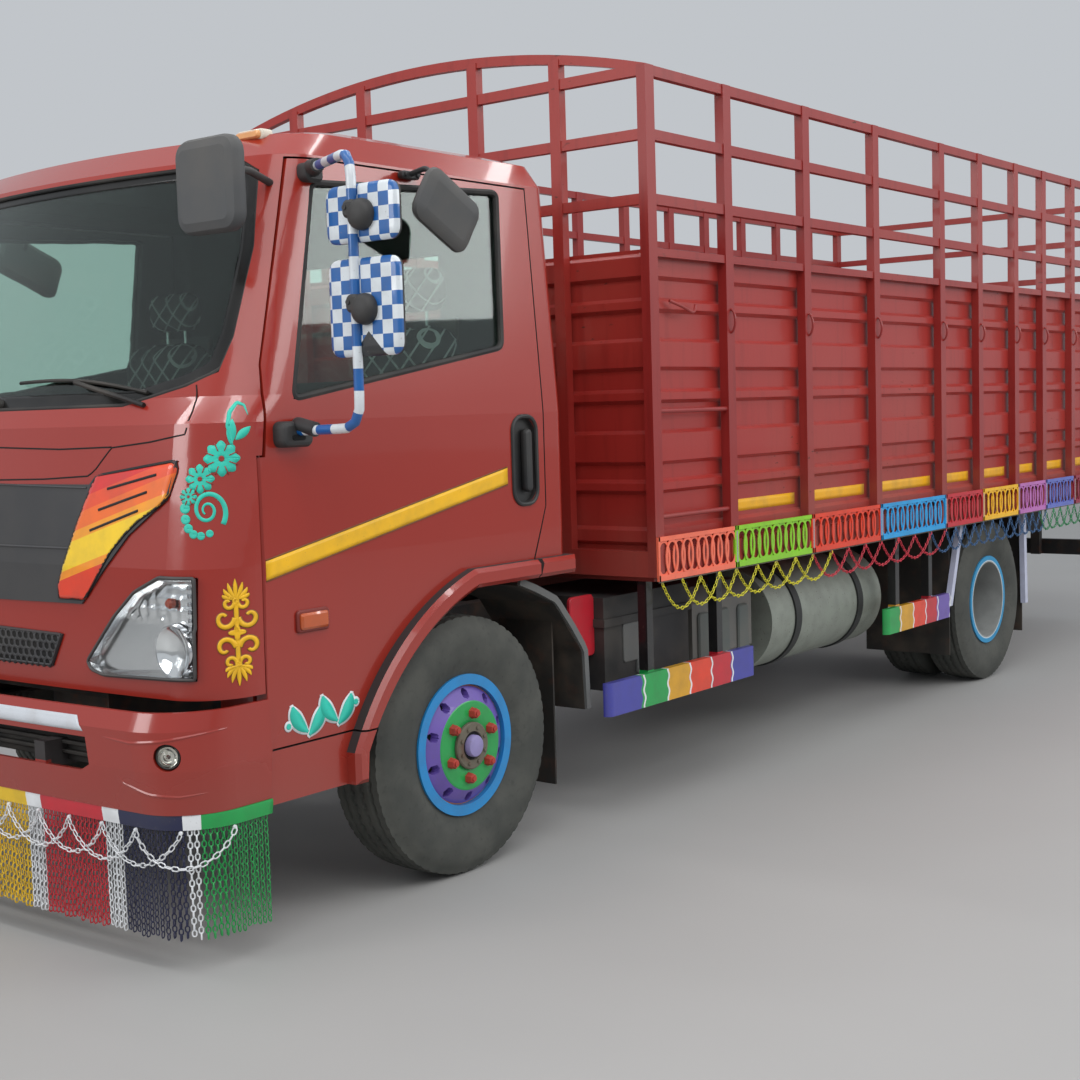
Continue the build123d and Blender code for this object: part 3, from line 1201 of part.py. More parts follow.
# Rear: crossbars between the corner posts, hinge brackets with pins, and two side-hung leaves
LEAF_GAP = 16
LEAF_D = 36
HINGE_X = BODY_REAR - LEAF_GAP - LEAF_D / 2
LEAF_HINGE_Y = BODY_HALF_W - 20
LEAF_PIN_R = 7
LEAF_EYE_R = 12
LEAF_EYE_H = 60
LEAF_HINGES = (1150, 1500, 1850)
LEAF_Z = (DECK_TOP + 12, SHEET_TOP - 4)
BRACKET_T = 8
EYE_PLAY = 0.6
with BuildPart() as rear_frame:
    inner = BODY_HALF_W - POST_D
    for top in RAILS:
        block((BODY_REAR + 4, BODY_REAR + 34), (-inner, inner), (top - RAIL_BAR, top))
    block((BODY_REAR - 4, BODY_REAR), (-inner, inner), (BEARER_LOW - 10, DECK_TOP))
save(rear_frame.part, "rear_frame")

with BuildPart() as hinge_pins:
    for _, side in SIDES:
        across = sorted((side * (LEAF_HINGE_Y - 10), side * (LEAF_HINGE_Y + 10)))
        for middle in LEAF_HINGES:
            half = LEAF_EYE_H / 2 + EYE_PLAY
            shaft((HINGE_X, side * LEAF_HINGE_Y, middle - half), (0, 0, 1), LEAF_PIN_R, 2 * half)
            for low in (middle - half - BRACKET_T, middle + half):
                block((HINGE_X - 8, BODY_REAR), across, (low, low + BRACKET_T))
save(hinge_pins.part, "hinge_pins")

for name, side in SIDES:
    with BuildPart() as leaf:
        faces = (BODY_REAR - LEAF_GAP - LEAF_D, BODY_REAR - LEAF_GAP)
        edge = BODY_HALF_W - POST_D
        section = ribbed(LEAF_Z[0], LEAF_Z[1], faces[0] + SHEET_T + 2)
        side_prism(section, sorted((side * 6, side * edge)))
        for y in (6, edge / 2 - 20, edge - 40):
            block(faces, sorted((side * y, side * (y + 40))), LEAF_Z)
        for low in (LEAF_Z[0], LEAF_Z[1] - 40):
            block(faces, sorted((side * 6, side * edge)), (low, low + 40))
        for middle in LEAF_HINGES:
            bottom = middle - LEAF_EYE_H / 2
            shaft((HINGE_X, side * LEAF_HINGE_Y, bottom), (0, 0, 1), LEAF_EYE_R, LEAF_EYE_H)
            strap = sorted((side * (edge - 2), side * LEAF_HINGE_Y))
            block((HINGE_X - 6, HINGE_X + 6), strap, (bottom, bottom + LEAF_EYE_H))
            foot = (HINGE_X, side * LEAF_HINGE_Y, bottom)
            shaft(foot, (0, 0, 1), LEAF_PIN_R + EYE_PLAY, LEAF_EYE_H, mode=Mode.SUBTRACT)
    save(leaf.part, f"rear_door_{name}")

# Rear bar with the tail lamps, on two drop arms under the rails' ends
with BuildPart() as rear_bar:
    block((RAIL_REAR - 50, RAIL_REAR), (-950, 950), (430, 530))
    for _, side in SIDES:
        arm_y = sorted((side * (RAIL_OUT_Y - 60), side * RAIL_OUT_Y))
        block((RAIL_REAR, RAIL_REAR + 50), arm_y, (430, RAIL_TOP - RAIL_H))
        lamp_y = sorted((side * 700, side * 930))
        block((RAIL_REAR - 50, RAIL_REAR - 10), lamp_y, (530, 630))
save(rear_bar.part, "rear_bar")
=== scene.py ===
"""The looks of a decorated goods truck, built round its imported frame.

Metres, in the frame's own axes: +X forward, +Y the truck's left, +Z up. Places along the truck are
given from the front axle, and Layout.ahead turns them into X.
"""

from __future__ import annotations

import json
import logging
import math
from dataclasses import dataclass, field, replace
from enum import Enum
from typing import Any, Iterable, Sequence

import bpy
import numpy as np
from mathutils import Matrix

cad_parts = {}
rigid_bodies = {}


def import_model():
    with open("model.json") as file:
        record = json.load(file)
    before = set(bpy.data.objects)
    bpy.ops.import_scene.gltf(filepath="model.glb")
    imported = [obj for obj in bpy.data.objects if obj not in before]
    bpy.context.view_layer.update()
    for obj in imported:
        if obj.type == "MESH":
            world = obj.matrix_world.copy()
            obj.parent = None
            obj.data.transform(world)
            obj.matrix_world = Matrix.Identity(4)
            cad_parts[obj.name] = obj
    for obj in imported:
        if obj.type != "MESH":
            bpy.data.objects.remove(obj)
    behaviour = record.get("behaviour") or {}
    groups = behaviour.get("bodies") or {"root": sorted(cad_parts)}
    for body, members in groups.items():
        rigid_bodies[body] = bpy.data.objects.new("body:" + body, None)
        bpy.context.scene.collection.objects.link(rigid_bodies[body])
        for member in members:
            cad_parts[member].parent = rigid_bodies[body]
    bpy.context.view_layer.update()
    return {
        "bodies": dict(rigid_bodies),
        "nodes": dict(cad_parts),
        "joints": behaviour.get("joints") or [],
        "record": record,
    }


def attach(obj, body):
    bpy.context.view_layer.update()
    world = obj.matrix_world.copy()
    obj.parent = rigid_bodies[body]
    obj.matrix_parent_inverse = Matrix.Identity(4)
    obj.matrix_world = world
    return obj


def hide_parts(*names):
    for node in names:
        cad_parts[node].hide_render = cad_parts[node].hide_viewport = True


LOG = logging.getLogger("truck")
Colour = tuple[float, float, float]
Place = tuple[float, float, float]
Line = tuple[tuple[float, float], ...]
TAU = 2 * math.pi


def paint_of(red: int, green: int, blue: int) -> Colour:
    """Turn a colour as a screen shows it, 0 to 255, into linear light.

    Args:
        red, green, blue: the three parts of the colour.

    Returns:
        The colour in linear light.
    """
    parts = np.array([red, green, blue], float) / 255
    linear = np.where(parts <= 0.04045, parts / 12.92, ((parts + 0.055) / 1.055) ** 2.4)
    return tuple(float(part) for part in linear)


class Tone(Enum):
    """The paints that the truck's owner chose."""

    CAB_RED = paint_of(154, 42, 30)
    BODY_RED = paint_of(142, 37, 34)
    YELLOW = paint_of(246, 188, 16)
    CHAIN_YELLOW = paint_of(232, 190, 20)
    ORANGE = paint_of(244, 122, 24)
    VERMILION = paint_of(228, 62, 30)
    CRIMSON = paint_of(196, 26, 44)
    SALMON = paint_of(246, 116, 86)
    LIME = paint_of(140, 208, 30)
    SKY = paint_of(26, 158, 222)
    LILAC = paint_of(192, 112, 186)
    PERIWINKLE = paint_of(98, 112, 196)
    MAROON = paint_of(150, 22, 60)
    GREEN = paint_of(16, 158, 74)
    NAVY = paint_of(20, 26, 66)
    WHITE = paint_of(232, 234, 236)
    TURQUOISE = paint_of(44, 202, 178)
    VIOLET = paint_of(64, 66, 160)
    PURPLE = paint_of(108, 84, 172)
    STRUT = paint_of(196, 200, 222)
    MUSTARD = paint_of(218, 160, 20)
    BLACK = paint_of(22, 22, 24)


# Shader maths


class Signal:
    """A node's output that can be used in sums, so that shader maths reads as arithmetic."""

    def __init__(self, bench: "Bench", socket: bpy.types.NodeSocket) -> None:
        """Keep the output and the bench that its nodes go on."""
        self.bench = bench
        self.socket = socket

    def _math(self, operation: str, *values: Any) -> "Signal":
        """Add a Math node on some numbers or signals."""
        node = self.bench.node("ShaderNodeMath", {"operation": operation}, dict(enumerate(values)))
        return Signal(self.bench, node.outputs[0])

    def __add__(self, other: Any) -> "Signal":
        """Add."""
        return self._math("ADD", self, other)

    __radd__ = __add__

    def __sub__(self, other: Any) -> "Signal":
        """Take away."""
        return self._math("SUBTRACT", self, other)

    def __rsub__(self, other: Any) -> "Signal":
        """Take this from a number."""
        return self._math("SUBTRACT", other, self)

    def __mul__(self, other: Any) -> "Signal":
        """Multiply."""
        return self._math("MULTIPLY", self, other)

    __rmul__ = __mul__

    def __truediv__(self, other: Any) -> "Signal":
        """Divide."""
        return self._math("DIVIDE", self, other)

    def __pow__(self, other: Any) -> "Signal":
        """Raise to a power."""
        return self._math("POWER", self, other)

    def __lt__(self, other: Any) -> "Signal":
        """Give 1 where this is the smaller."""
        return self._math("LESS_THAN", self, other)

    def __gt__(self, other: Any) -> "Signal":
        """Give 1 where this is the larger."""
        return self._math("GREATER_THAN", self, other)

    def one(self, operation: str, *others: Any) -> "Signal":
        """Use any other Math operation, such as SINE or FLOOR."""
        return self._math(operation, self, *others)

    def step(self, low: float, high: float) -> "Signal":
        """Rise smoothly from 0 at low to 1 at high."""
        settings = {"interpolation_type": "SMOOTHSTEP"}
        node = self.bench.node("ShaderNodeMapRange", settings, {0: self, 1: low, 2: high})
        return Signal(self.bench, node.outputs[0])


class Bench:
    """One material's nodes, added by one method."""

    def __init__(self, name: str) -> None:
        """Start a material with its Principled shader."""
        self.material = bpy.data.materials.new(name)
        self.material.use_nodes = True
        self.tree = self.material.node_tree
        self.shader = self.tree.nodes["Principled BSDF"]

    def node(self, kind: str, settings: dict[str, Any], inputs: dict[Any, Any]) -> bpy.types.Node:
        """Add a node.

        Args:
            kind: the node's type.
            settings: its own properties.
            inputs: socket number or name to a value or a signal.

        Returns:
            The node.
        """
        made = self.tree.nodes.new(kind)
        for key, value in settings.items():
            setattr(made, key, value)
        for key, value in inputs.items():
            self.feed(made.inputs[key], value)
        return made

    def feed(self, socket: bpy.types.NodeSocket, value: Any) -> None:
        """Link a signal to a socket, or set a number or colour on it."""
        if isinstance(value, Signal):
            self.tree.links.new(value.socket, socket)
        elif socket.type == "RGBA" and len(value) == 3:
            socket.default_value = (*value, 1)
        else:
            socket.default_value = value

    def out(self, kind: str, settings: dict[str, Any], inputs: dict[Any, Any], output: Any = 0) -> Signal:
        """Add a node and give one of its outputs."""
        return Signal(self, self.node(kind, settings, inputs).outputs[output])

    def place(self) -> Signal:
        """Give the place on the piece."""
        return self.out("ShaderNodeTexCoord", {}, {}, "Object")

    def axes(self, vector: Signal) -> tuple[Signal, Signal, Signal]:
        """Split a vector into its three parts."""
        node = self.node("ShaderNodeSeparateXYZ", {}, {0: vector})
        return tuple(Signal(self, output) for output in node.outputs)

    def noise(self, scale: float, detail: float, vector: Signal | None = None) -> Signal:
        """Give soft noise, about 0 to 1, with scale lumps to a metre."""
        inputs = {"Vector": vector or self.place(), "Scale": scale, "Detail": detail}
        return self.out("ShaderNodeTexNoise", {}, inputs)

    def stretched(self, sx: float, sy: float, sz: float) -> Signal:
        """Give the place with each axis scaled, for grain and streaks."""
        return self.out("ShaderNodeMapping", {}, {0: self.place(), 3: (sx, sy, sz)})

    def blend(self, mask: Any, first: Any, second: Any) -> Signal:
        """Mix two colours: the first where the mask is 0."""
        node = self.node("ShaderNodeMix", {"data_type": "RGBA"}, {0: mask, 6: first, 7: second})
        return Signal(self, node.outputs[2])

    def ramp(self, signal: Signal, stops: Sequence[tuple[float, Colour]]) -> Signal:
        """Turn a number into a colour, which holds from its own stop up to the next."""
        node = self.node("ShaderNodeValToRGB", {}, {0: signal})
        ramp = node.color_ramp
        ramp.interpolation = "CONSTANT"
        while len(ramp.elements) < len(stops):
            ramp.elements.new(1)
        for element, (place, colour) in zip(ramp.elements, stops):
            element.position = place
            element.color = (*colour, 1)
        return Signal(self, node.outputs[0])

    def bump(self, height: Signal, depth: float, strength: float = 0.5) -> None:
        """Feed a bump of a depth in metres into the shader's normal."""
        inputs = {"Strength": strength, "Distance": depth, "Height": height}
        self.feed(self.shader.inputs["Normal"], self.out("ShaderNodeBump", {}, inputs))

    def set(self, **sockets: Any) -> None:
        """Set the shader's sockets; an underscore in a name stands for a space."""
        for name, value in sockets.items():
            self.feed(self.shader.inputs[name.replace("_", " ")], value)


# Finishes


@dataclass(frozen=True)
class Finish:
    """A finish's name, colour and gloss; each kind below lays it as the real one looks."""

    name: str
    colour: Colour
    rough: float = 0.5
    metal: float = 0.0
    coat: float = 0.0

    def dress(self, bench: Bench) -> None:
        """Set the shader; each kind has its own way."""
        raise NotImplementedError

    def make(self) -> bpy.types.Material:
        """Give the material, made once."""
        name = f"look_{self.name}"
        found = bpy.data.materials.get(name)
        if found is None:
            bench = Bench(name)
            self.dress(bench)
            found = bench.material
        return found


@dataclass(frozen=True)
class CabEnamel(Finish):
    """Glossy enamel outside; on faces turned towards the cab's middle, a dark colour that is painted shade for the
    cab's inside. Where core is set, what lies behind it (X) or between its heights, within its half width, is dark
    instead, painted shade in a recess: (X, half width, low, high)."""

    middle: Place = (3.0, 0.0, 1.6)
    # the colour of the painted shade on inner faces
    inside: Colour = (0.035, 0.030, 0.030)
    dust_top: float = 0.95
    core: tuple[float, float, float, float] = (0.0, 0.0, 0.0, 0.0)

    def dress(self, bench: Bench) -> None:
        """Lay the enamel, with dust that settles low down, a faint orange peel, and painted shade on the inner faces.
        """
        place = bench.place()
        facing = bench.out("ShaderNodeTexCoord", {}, {}, "Normal")
        away = bench.out("ShaderNodeVectorMath", {"operation": "SUBTRACT"}, {0: place, 1: self.middle})
        turned = bench.node("ShaderNodeVectorMath", {"operation": "DOT_PRODUCT"}, {0: away, 1: facing})
        # faces turned inwards take the dark colour: painted shade
        inner = Signal(bench, turned.outputs["Value"]) < -0.05
        along, across, height = bench.axes(place)
        # the core, set on the bumper, marks its back and slot walls for the same painted shade
        if self.core[1]:
            slot = (height > self.core[2]) * (height < self.core[3])
            inner = (along < self.core[0]).one("MAXIMUM", slot) * (across.one("ABSOLUTE") < self.core[1])
        cloud = bench.noise(1.7, 5)
        dust = (1 - height.step(0.25, self.dust_top)) * cloud.step(0.35, 0.7) * 0.22
        shade = bench.blend(cloud.step(0.25, 0.8) * 0.25, self.colour, [part * 0.8 for part in self.colour])
        paint = bench.blend(dust, shade, (0.20, 0.13, 0.10))
        bench.set(Base_Color=bench.blend(inner, paint, self.inside))
        bench.set(Roughness=0.22 + dust * 0.9 + inner * 0.4, Coat_Weight=(1 - inner) * (1 - dust) * 0.5)
        bench.set(Coat_Roughness=0.04)
        bench.bump(bench.noise(90, 2), 0.0006, 0.12)


@dataclass(frozen=True)
class BodySteel(Finish):
    """Brush-painted sheet steel: faded in patches, dusty low down, scraped to a brown undercoat."""

    low: float = 0.86
    high: float = 1.35

    def dress(self, bench: Bench) -> None:
        """Lay the paint with its fading, run marks, scrapes and dust."""
        _, _, height = bench.axes(bench.place())
        patches = bench.noise(1.3, 6)
        runs = bench.noise(3.0, 5, bench.stretched(9, 9, 0.7))
        faded = bench.blend(patches.step(0.35, 0.72) * 0.5, self.colour, paint_of(158, 62, 52))
        streaked = bench.blend(runs.step(0.52, 0.72) * 0.35, faded, [part * 0.62 for part in self.colour])
        dust = (1 - height.step(self.low, self.high)) * patches.step(0.3, 0.7) * 0.45
        dusty = bench.blend(dust, streaked, paint_of(128, 92, 78))
        scrape = bench.noise(22, 6, bench.stretched(1, 1, 3.2))
        chips = scrape.step(0.68, 0.71) * patches.step(0.5, 0.6)
        bench.set(Base_Color=bench.blend(chips * 0.8, dusty, paint_of(70, 44, 36)))
        bench.set(Roughness=0.36 + dust * 0.8 + chips * 0.3, Coat_Weight=0.15 * (1 - chips))
        bench.bump(bench.noise(60, 3) + patches * 2, 0.0012, 0.18)


@dataclass(frozen=True)
class Gloss(Finish):
    """Hand-laid gloss paint, a little uneven, with dull spots and fine chips."""

    wear: float = 0.3

    def base(self, bench: Bench) -> Any:
        """Give the colour before wear: a colour or a signal."""
        return self.colour

    def dress(self, bench: Bench) -> None:
        """Lay the paint and its wear."""
        cloud = bench.noise(14, 5)
        spots = bench.noise(120, 3).step(0.66, 0.72) * self.wear
        shade = bench.blend(cloud.step(0.3, 0.8) * 0.22, self.base(bench), (0.05, 0.045, 0.04))
        bench.set(Base_Color=bench.blend(spots, shade, (0.16, 0.13, 0.11)), Metallic=self.metal)
        bench.set(Roughness=self.rough + cloud * 0.15 + spots * 0.3, Coat_Weight=self.coat)
        bench.bump(cloud, 0.0006, 0.25)


@dataclass(frozen=True)
class Bands(Gloss):
    """Gloss paint in bands along one axis, each given by where it starts, in the frame's metres. The bands
    may climb with Y, wave with the height and have white lines between them; ahead of the first band's end
    and above the hidden height, where that is set, all is black."""

    axis: int = 0
    slope: float = 0.0
    starts: tuple[tuple[float, Colour], ...] = ()
    wave: float = 0.0
    line: float = 0.0
    hidden: float = 0.0

    def base(self, bench: Bench) -> Signal:
        """Give the band's colour, with waved white lines between bands where they are asked for."""
        place = bench.axes(bench.place())
        along, z = place[self.axis] + place[1] * self.slope, place[2]
        if self.wave:
            along = along + (z * 105).one("SINE") * self.wave
        first, last = self.starts[0][0], self.starts[-1][0]
        span = last - first + 1e-6
        stops = [((start - first) / span, colour) for start, colour in self.starts]
        colour = bench.ramp((along - first) / span, stops)
        if self.line:
            for start, _ in self.starts[1:-1]:
                near = (along - start).one("ABSOLUTE") < self.line / 2
                colour = bench.blend(near, colour, Tone.WHITE.value)
        if self.hidden:
            behind = (z > self.hidden) * (along > self.starts[1][0])
            colour = bench.blend(behind, colour, Tone.BLACK.value)
        return colour


@dataclass(frozen=True)
class Checker(Gloss):
    """Blue and white squares on a face that looks along the truck."""

    second: Colour = (1.0, 1.0, 1.0)
    square: float = 0.033
    notch: tuple[float, float] = (0.0, -9.0)

    def base(self, bench: Bench) -> Signal:
        """Give the squares, counted across and up."""
        _, y, z = bench.axes(bench.place())
        odd = ((y / self.square).one("FLOOR") + (z / self.square).one("FLOOR")).one("MODULO", 2)
        squares = bench.blend(odd.one("ABSOLUTE") > 0.5, self.colour, self.second)
        off = (y.one("ABSOLUTE") - self.notch[0]).one("ABSOLUTE")
        return bench.blend(off < (self.notch[1] - z) * 0.95, squares, paint_of(34, 35, 37))


@dataclass(frozen=True)
class Hoops(Gloss):
    """Bands round a tube, counted along its own length on its UV map."""

    second: Colour = (1.0, 1.0, 1.0)
    pitch: float = 0.062

    def base(self, bench: Bench) -> Signal:
        """Give the bands."""
        along, _, _ = bench.axes(bench.out("ShaderNodeTexCoord", {}, {}, "UV"))
        odd = (along / self.pitch).one("FLOOR").one("MODULO", 2)
        return bench.blend(odd.one("ABSOLUTE") > 0.5, self.colour, self.second)


@dataclass(frozen=True)
class WheelPaint(Gloss):
    """A painted wheel: rings of colour by distance from the axle line, in the wheel's own plane."""

    axle_x: float = 0.0
    axle_z: float = 0.425
    rings: tuple[tuple[float, Colour], ...] = ()

    def base(self, bench: Bench) -> Signal:
        """Give the ring's colour at each distance from the axle."""
        x, _, z = bench.axes(bench.place())
        reach = ((x - self.axle_x) ** 2 + (z - self.axle_z) ** 2).one("SQRT")
        last = self.rings[-1][0]
        stops = [(start / last, colour) for start, colour in self.rings]
        return bench.ramp(reach / last, stops)


@dataclass(frozen=True)
class TyreRubber(Finish):
    """Old rubber: grey with road dust, darker in patches, with fine radial scuffs."""

    def dress(self, bench: Bench) -> None:
        """Lay the dust and scuffs."""
        dust = bench.noise(7, 6)
        fine = bench.noise(55, 4)
        grey = bench.blend(dust.step(0.35, 0.7) * 0.5, self.colour, paint_of(92, 92, 86))
        bench.set(Base_Color=bench.blend(fine.step(0.55, 0.75) * 0.3, grey, paint_of(34, 34, 34)))
        bench.set(Roughness=0.68 + dust * 0.25)
        bench.bump(fine + dust, 0.0015, 0.3)


@dataclass(frozen=True)
class Moulding(Finish):
    """Moulded plastic with a fine grain and a film of dust."""

    dust: float = 0.25

    def dress(self, bench: Bench) -> None:
        """Lay the grain and dust."""
        cloud = bench.noise(5, 5)
        film = cloud.step(0.3, 0.75) * self.dust
        bench.set(Base_Color=bench.blend(film, self.colour, paint_of(120, 112, 102)))
        bench.set(Roughness=self.rough + cloud * 0.2, Metallic=self.metal)
        bench.bump(bench.noise(420, 2), 0.0004, 0.35)


@dataclass(frozen=True)
class RoadIron(Finish):
    """Chassis iron: old black paint, road dirt and rust."""

    rust: float = 0.4

    def dress(self, bench: Bench) -> None:
        """Lay the rust and dirt over the paint."""
        cloud = bench.noise(6, 7)
        bloom = bench.noise(17, 6)
        rusty = bench.blend(bloom.step(0.5, 0.72) * self.rust, self.colour, paint_of(92, 50, 30))
        bench.set(Base_Color=bench.blend(cloud.step(0.4, 0.75) * 0.5, rusty, paint_of(96, 84, 72)))
        bench.set(Roughness=0.55 + cloud * 0.35, Metallic=self.metal)
        bench.bump(bloom, 0.002, 0.4)


@dataclass(frozen=True)
class Glass(Finish):
    """Clear or tinted glass; its tint and gloss are the same all over."""

    def dress(self, bench: Bench) -> None:
        """Set the shader's own sockets."""
        bench.set(Base_Color=self.colour, Roughness=0.02, Transmission_Weight=1.0, IOR=1.45)


@dataclass(frozen=True)
class Bright(Finish):
    """Silvered or plated metal."""

    def dress(self, bench: Bench) -> None:
        """Set a mirror with a faint haze."""
        haze = bench.noise(30, 3)
        bench.set(Base_Color=self.colour, Metallic=1.0, Roughness=self.rough + haze * 0.06)


@dataclass(frozen=True)
class NetCloth(Finish):
    """Dark seat cloth with a white woven net of diamonds, drawn on the seat's length and width."""

    diamond: float = 0.085

    def dress(self, bench: Bench) -> None:
        """Draw the net as two sets of slanted lines, over a fine weave."""
        x, y, z = bench.axes(bench.place())
        up = (x + z) / self.diamond
        across = y / self.diamond
        lines = []
        for slant in (across + up, across - up):
            edge = ((slant.one("FRACT") - 0.5).one("ABSOLUTE") - 0.5).one("ABSOLUTE")
            lines.append(edge < 0.07)
        net = lines[0].one("MAXIMUM", lines[1])
        weave = (x * 2600).one("SINE") * (y * 2600).one("SINE")
        bench.set(Base_Color=bench.blend(net, self.colour, paint_of(168, 168, 168)), Roughness=0.85)
        bench.bump(weave + net * 2, 0.0008, 0.5)


@dataclass(frozen=True)
class Tape(Finish):
    """Reflective tape: a bright sheet with a fine honeycomb, dusty at its edges."""

    def dress(self, bench: Bench) -> None:
        """Draw the cells as a bump and a faint darkening."""
        inputs = {"Vector": bench.place(), "Scale": 260.0}
        cells = bench.out("ShaderNodeTexVoronoi", {"feature": "DISTANCE_TO_EDGE"}, inputs, "Distance")
        edge = 1 - cells.step(0.0, 0.12)
        dust = bench.noise(9, 5).step(0.4, 0.75) * 0.3
        shade = bench.blend(edge * 0.25, self.colour, [part * 0.5 for part in self.colour])
        bench.set(Base_Color=bench.blend(dust, shade, paint_of(120, 100, 84)), Roughness=0.3 + dust)


# Shapes


@dataclass
class Form:
    """Points and faces of a shape; a triangle has -1 as its last corner. Each face has a finish number."""

    points: np.ndarray
    faces: np.ndarray
    finish: np.ndarray
    uv: np.ndarray | None = None

    def __add__(self, other: "Form") -> "Form":
        """Put two shapes in one."""
        return gather([self, other])

    def flat_uv(self) -> np.ndarray:
        """Give the UV places, zero where none were set."""
        return self.uv if self.uv is not None else np.zeros((len(self.points), 2))

    def moved(self, x: float = 0, y: float = 0, z: float = 0) -> "Form":
        """Give the shape shifted."""
        return replace(self, points=self.points + np.array([x, y, z]))

    def turned(self, axis: str, degrees: float, centre: Place = (0, 0, 0)) -> "Form":
        """Give the shape turned about an axis through a centre."""
        turn = np.array(Matrix.Rotation(math.radians(degrees), 3, axis))
        return replace(self, points=(self.points - centre) @ turn.T + centre)

    def mirrored(self) -> "Form":
        """Give the shape on the other side of the truck, its faces still outwards."""
        flipped = self.points * np.array([1, -1, 1])
        tri = self.faces[:, 3] < 0
        faces = self.faces[:, ::-1].copy()
        faces[tri] = np.column_stack([self.faces[tri][:, [2, 1, 0]], np.full(tri.sum(), -1)])
        return replace(self, points=flipped, faces=faces)

    def marked(self, number: int) -> "Form":
        """Give the shape with all its faces in one finish."""
        return replace(self, finish=np.full(len(self.faces), number))


def gather(forms: Iterable[Form]) -> Form:
    """Put many shapes in one, with one pass over their arrays."""
    forms = list(forms)
    offsets = np.cumsum([0] + [len(form.points) for form in forms[:-1]])
    faces = [np.where(form.faces >= 0, form.faces + off, -1) for form, off in zip(forms, offsets)]
    return Form(
        np.concatenate([form.points for form in forms]),
        np.concatenate(faces),
        np.concatenate([form.finish for form in forms]),
        np.concatenate([form.flat_uv() for form in forms]),
    )


def surface(grid: np.ndarray, wrap_u: bool = False, wrap_v: bool = False, uv: np.ndarray | None = None) -> Form:
    """Turn a grid of points into quads: point (i, j) joins (i+1, j), (i+1, j+1) and (i, j+1).

    Args:
        grid: points of shape (rows, columns, 3).
        wrap_u: joins the last row to the first.
        wrap_v: joins the last column to the first.
        uv: UV places of shape (rows, columns, 2).

    Returns:
        The shape.
    """
    rows, columns = grid.shape[:2]
    numbers = np.arange(rows * columns).reshape(rows, columns)
    if wrap_u:
        numbers = np.concatenate([numbers, numbers[:1]])
    if wrap_v:
        numbers = np.concatenate([numbers, numbers[:, :1]], axis=1)
    corners = (numbers[:-1, :-1], numbers[1:, :-1], numbers[1:, 1:], numbers[:-1, 1:])
    faces = np.stack([corner.ravel() for corner in corners], axis=1)
    flat = None if uv is None else uv.reshape(-1, 2)
    return Form(grid.reshape(-1, 3), faces, np.zeros(len(faces), int), flat)


def fan(ring: np.ndarray, outwards: bool) -> Form:
    """Close a convex ring of points with triangles to its middle."""
    count = len(ring)
    points = np.concatenate([ring, ring.mean(0, keepdims=True)])
    here = np.arange(count)
    there = (here + 1) % count
    order = (here, there) if outwards else (there, here)
    faces = np.column_stack([*order, np.full(count, count), np.full(count, -1)])
    return Form(points, faces, np.zeros(count, int))


def lengths(line: np.ndarray) -> np.ndarray:
    """Give how far along a line each of its points lies."""
    return np.concatenate([[0], np.cumsum(np.linalg.norm(np.diff(line, axis=0), axis=1))])


def unit(rows: np.ndarray) -> np.ndarray:
    """Give each row made one long."""
    return rows / np.linalg.norm(rows, axis=1, keepdims=True)


def resampled(points: Any, count: int) -> np.ndarray:
    """Give a line's points evenly spaced along it."""
    line = np.asarray(points, float)
    run = lengths(line)
    even = np.linspace(0, run[-1], count)
    return np.column_stack([np.interp(even, run, line[:, axis]) for axis in range(line.shape[1])])


def tube(path: np.ndarray, radius: Any, sides: int = 10, normal: Place = (0, 0, 1), closed: bool = False) -> Form:
    """Carry a circle along a path: centre + radius (cos a n + sin a b), with n the given normal made
    square to the path and b square to both.

    Args:
        path: points of shape (n, 3).
        radius: one radius, or one for each point.
        sides: faces round the tube.
        normal: a direction that the path never follows.
        closed: joins the end to the start.

    Returns:
        The tube, with its ends closed and its length on the UV map.
    """
    ahead = unit(np.roll(path, -1, 0) - np.roll(path, 1, 0) if closed else np.gradient(path, axis=0))
    side = unit(np.cross(ahead, np.array(normal, float)))
    over = np.cross(side, ahead)
    angle = np.arange(sides) * TAU / sides
    size = np.broadcast_to(np.asarray(radius, float), (len(path),))[:, None, None]
    around = side[:, None] * np.cos(angle)[None, :, None] + over[:, None] * np.sin(angle)[None, :, None]
    grid = path[:, None] + around * size
    uv = np.stack(np.broadcast_arrays(lengths(path)[:, None], angle[None] / TAU), axis=-1)
    shape = surface(grid, wrap_u=closed, wrap_v=True, uv=uv)
    if not closed:
        shape = shape + fan(grid[0], True) + fan(grid[-1], False)
    return shape


def ribbon_bar(path: np.ndarray, wide: np.ndarray, thick: np.ndarray, closed: bool = False) -> Form:
    """Carry a rectangle along a path, given the half width and half thickness vectors at each point."""
    signs = ((-1, -1), (1, -1), (1, 1), (-1, 1))
    corners = np.stack([path + wide * across + thick * out for across, out in signs], axis=1)
    shape = surface(corners[:, ::-1], wrap_u=closed, wrap_v=True)
    if not closed:
        shape = shape + fan(corners[0], True) + fan(corners[-1], False)
    return shape


def filleted(points: Sequence[Place], radius: float, steps: int = 8) -> np.ndarray:
    """Round a line of straight runs: each corner becomes the quadratic curve between two points that lie
    a radius back along its runs, and each run gets points in between."""
    corners = np.array(points, float)
    path = [corners[:1]]
    t = np.linspace(0, 1, steps)[:, None]
    for before, corner, after in zip(corners[:-2], corners[1:-1], corners[2:]):
        back = before - corner
        on = after - corner
        start = corner + back / np.linalg.norm(back) * radius
        end = corner + on / np.linalg.norm(on) * radius
        path.append((1 - t) ** 2 * start + 2 * t * (1 - t) * corner + t**2 * end)
    line = np.concatenate([*path, corners[-1:]])
    return resampled(line, max(len(line) * 2, 12))


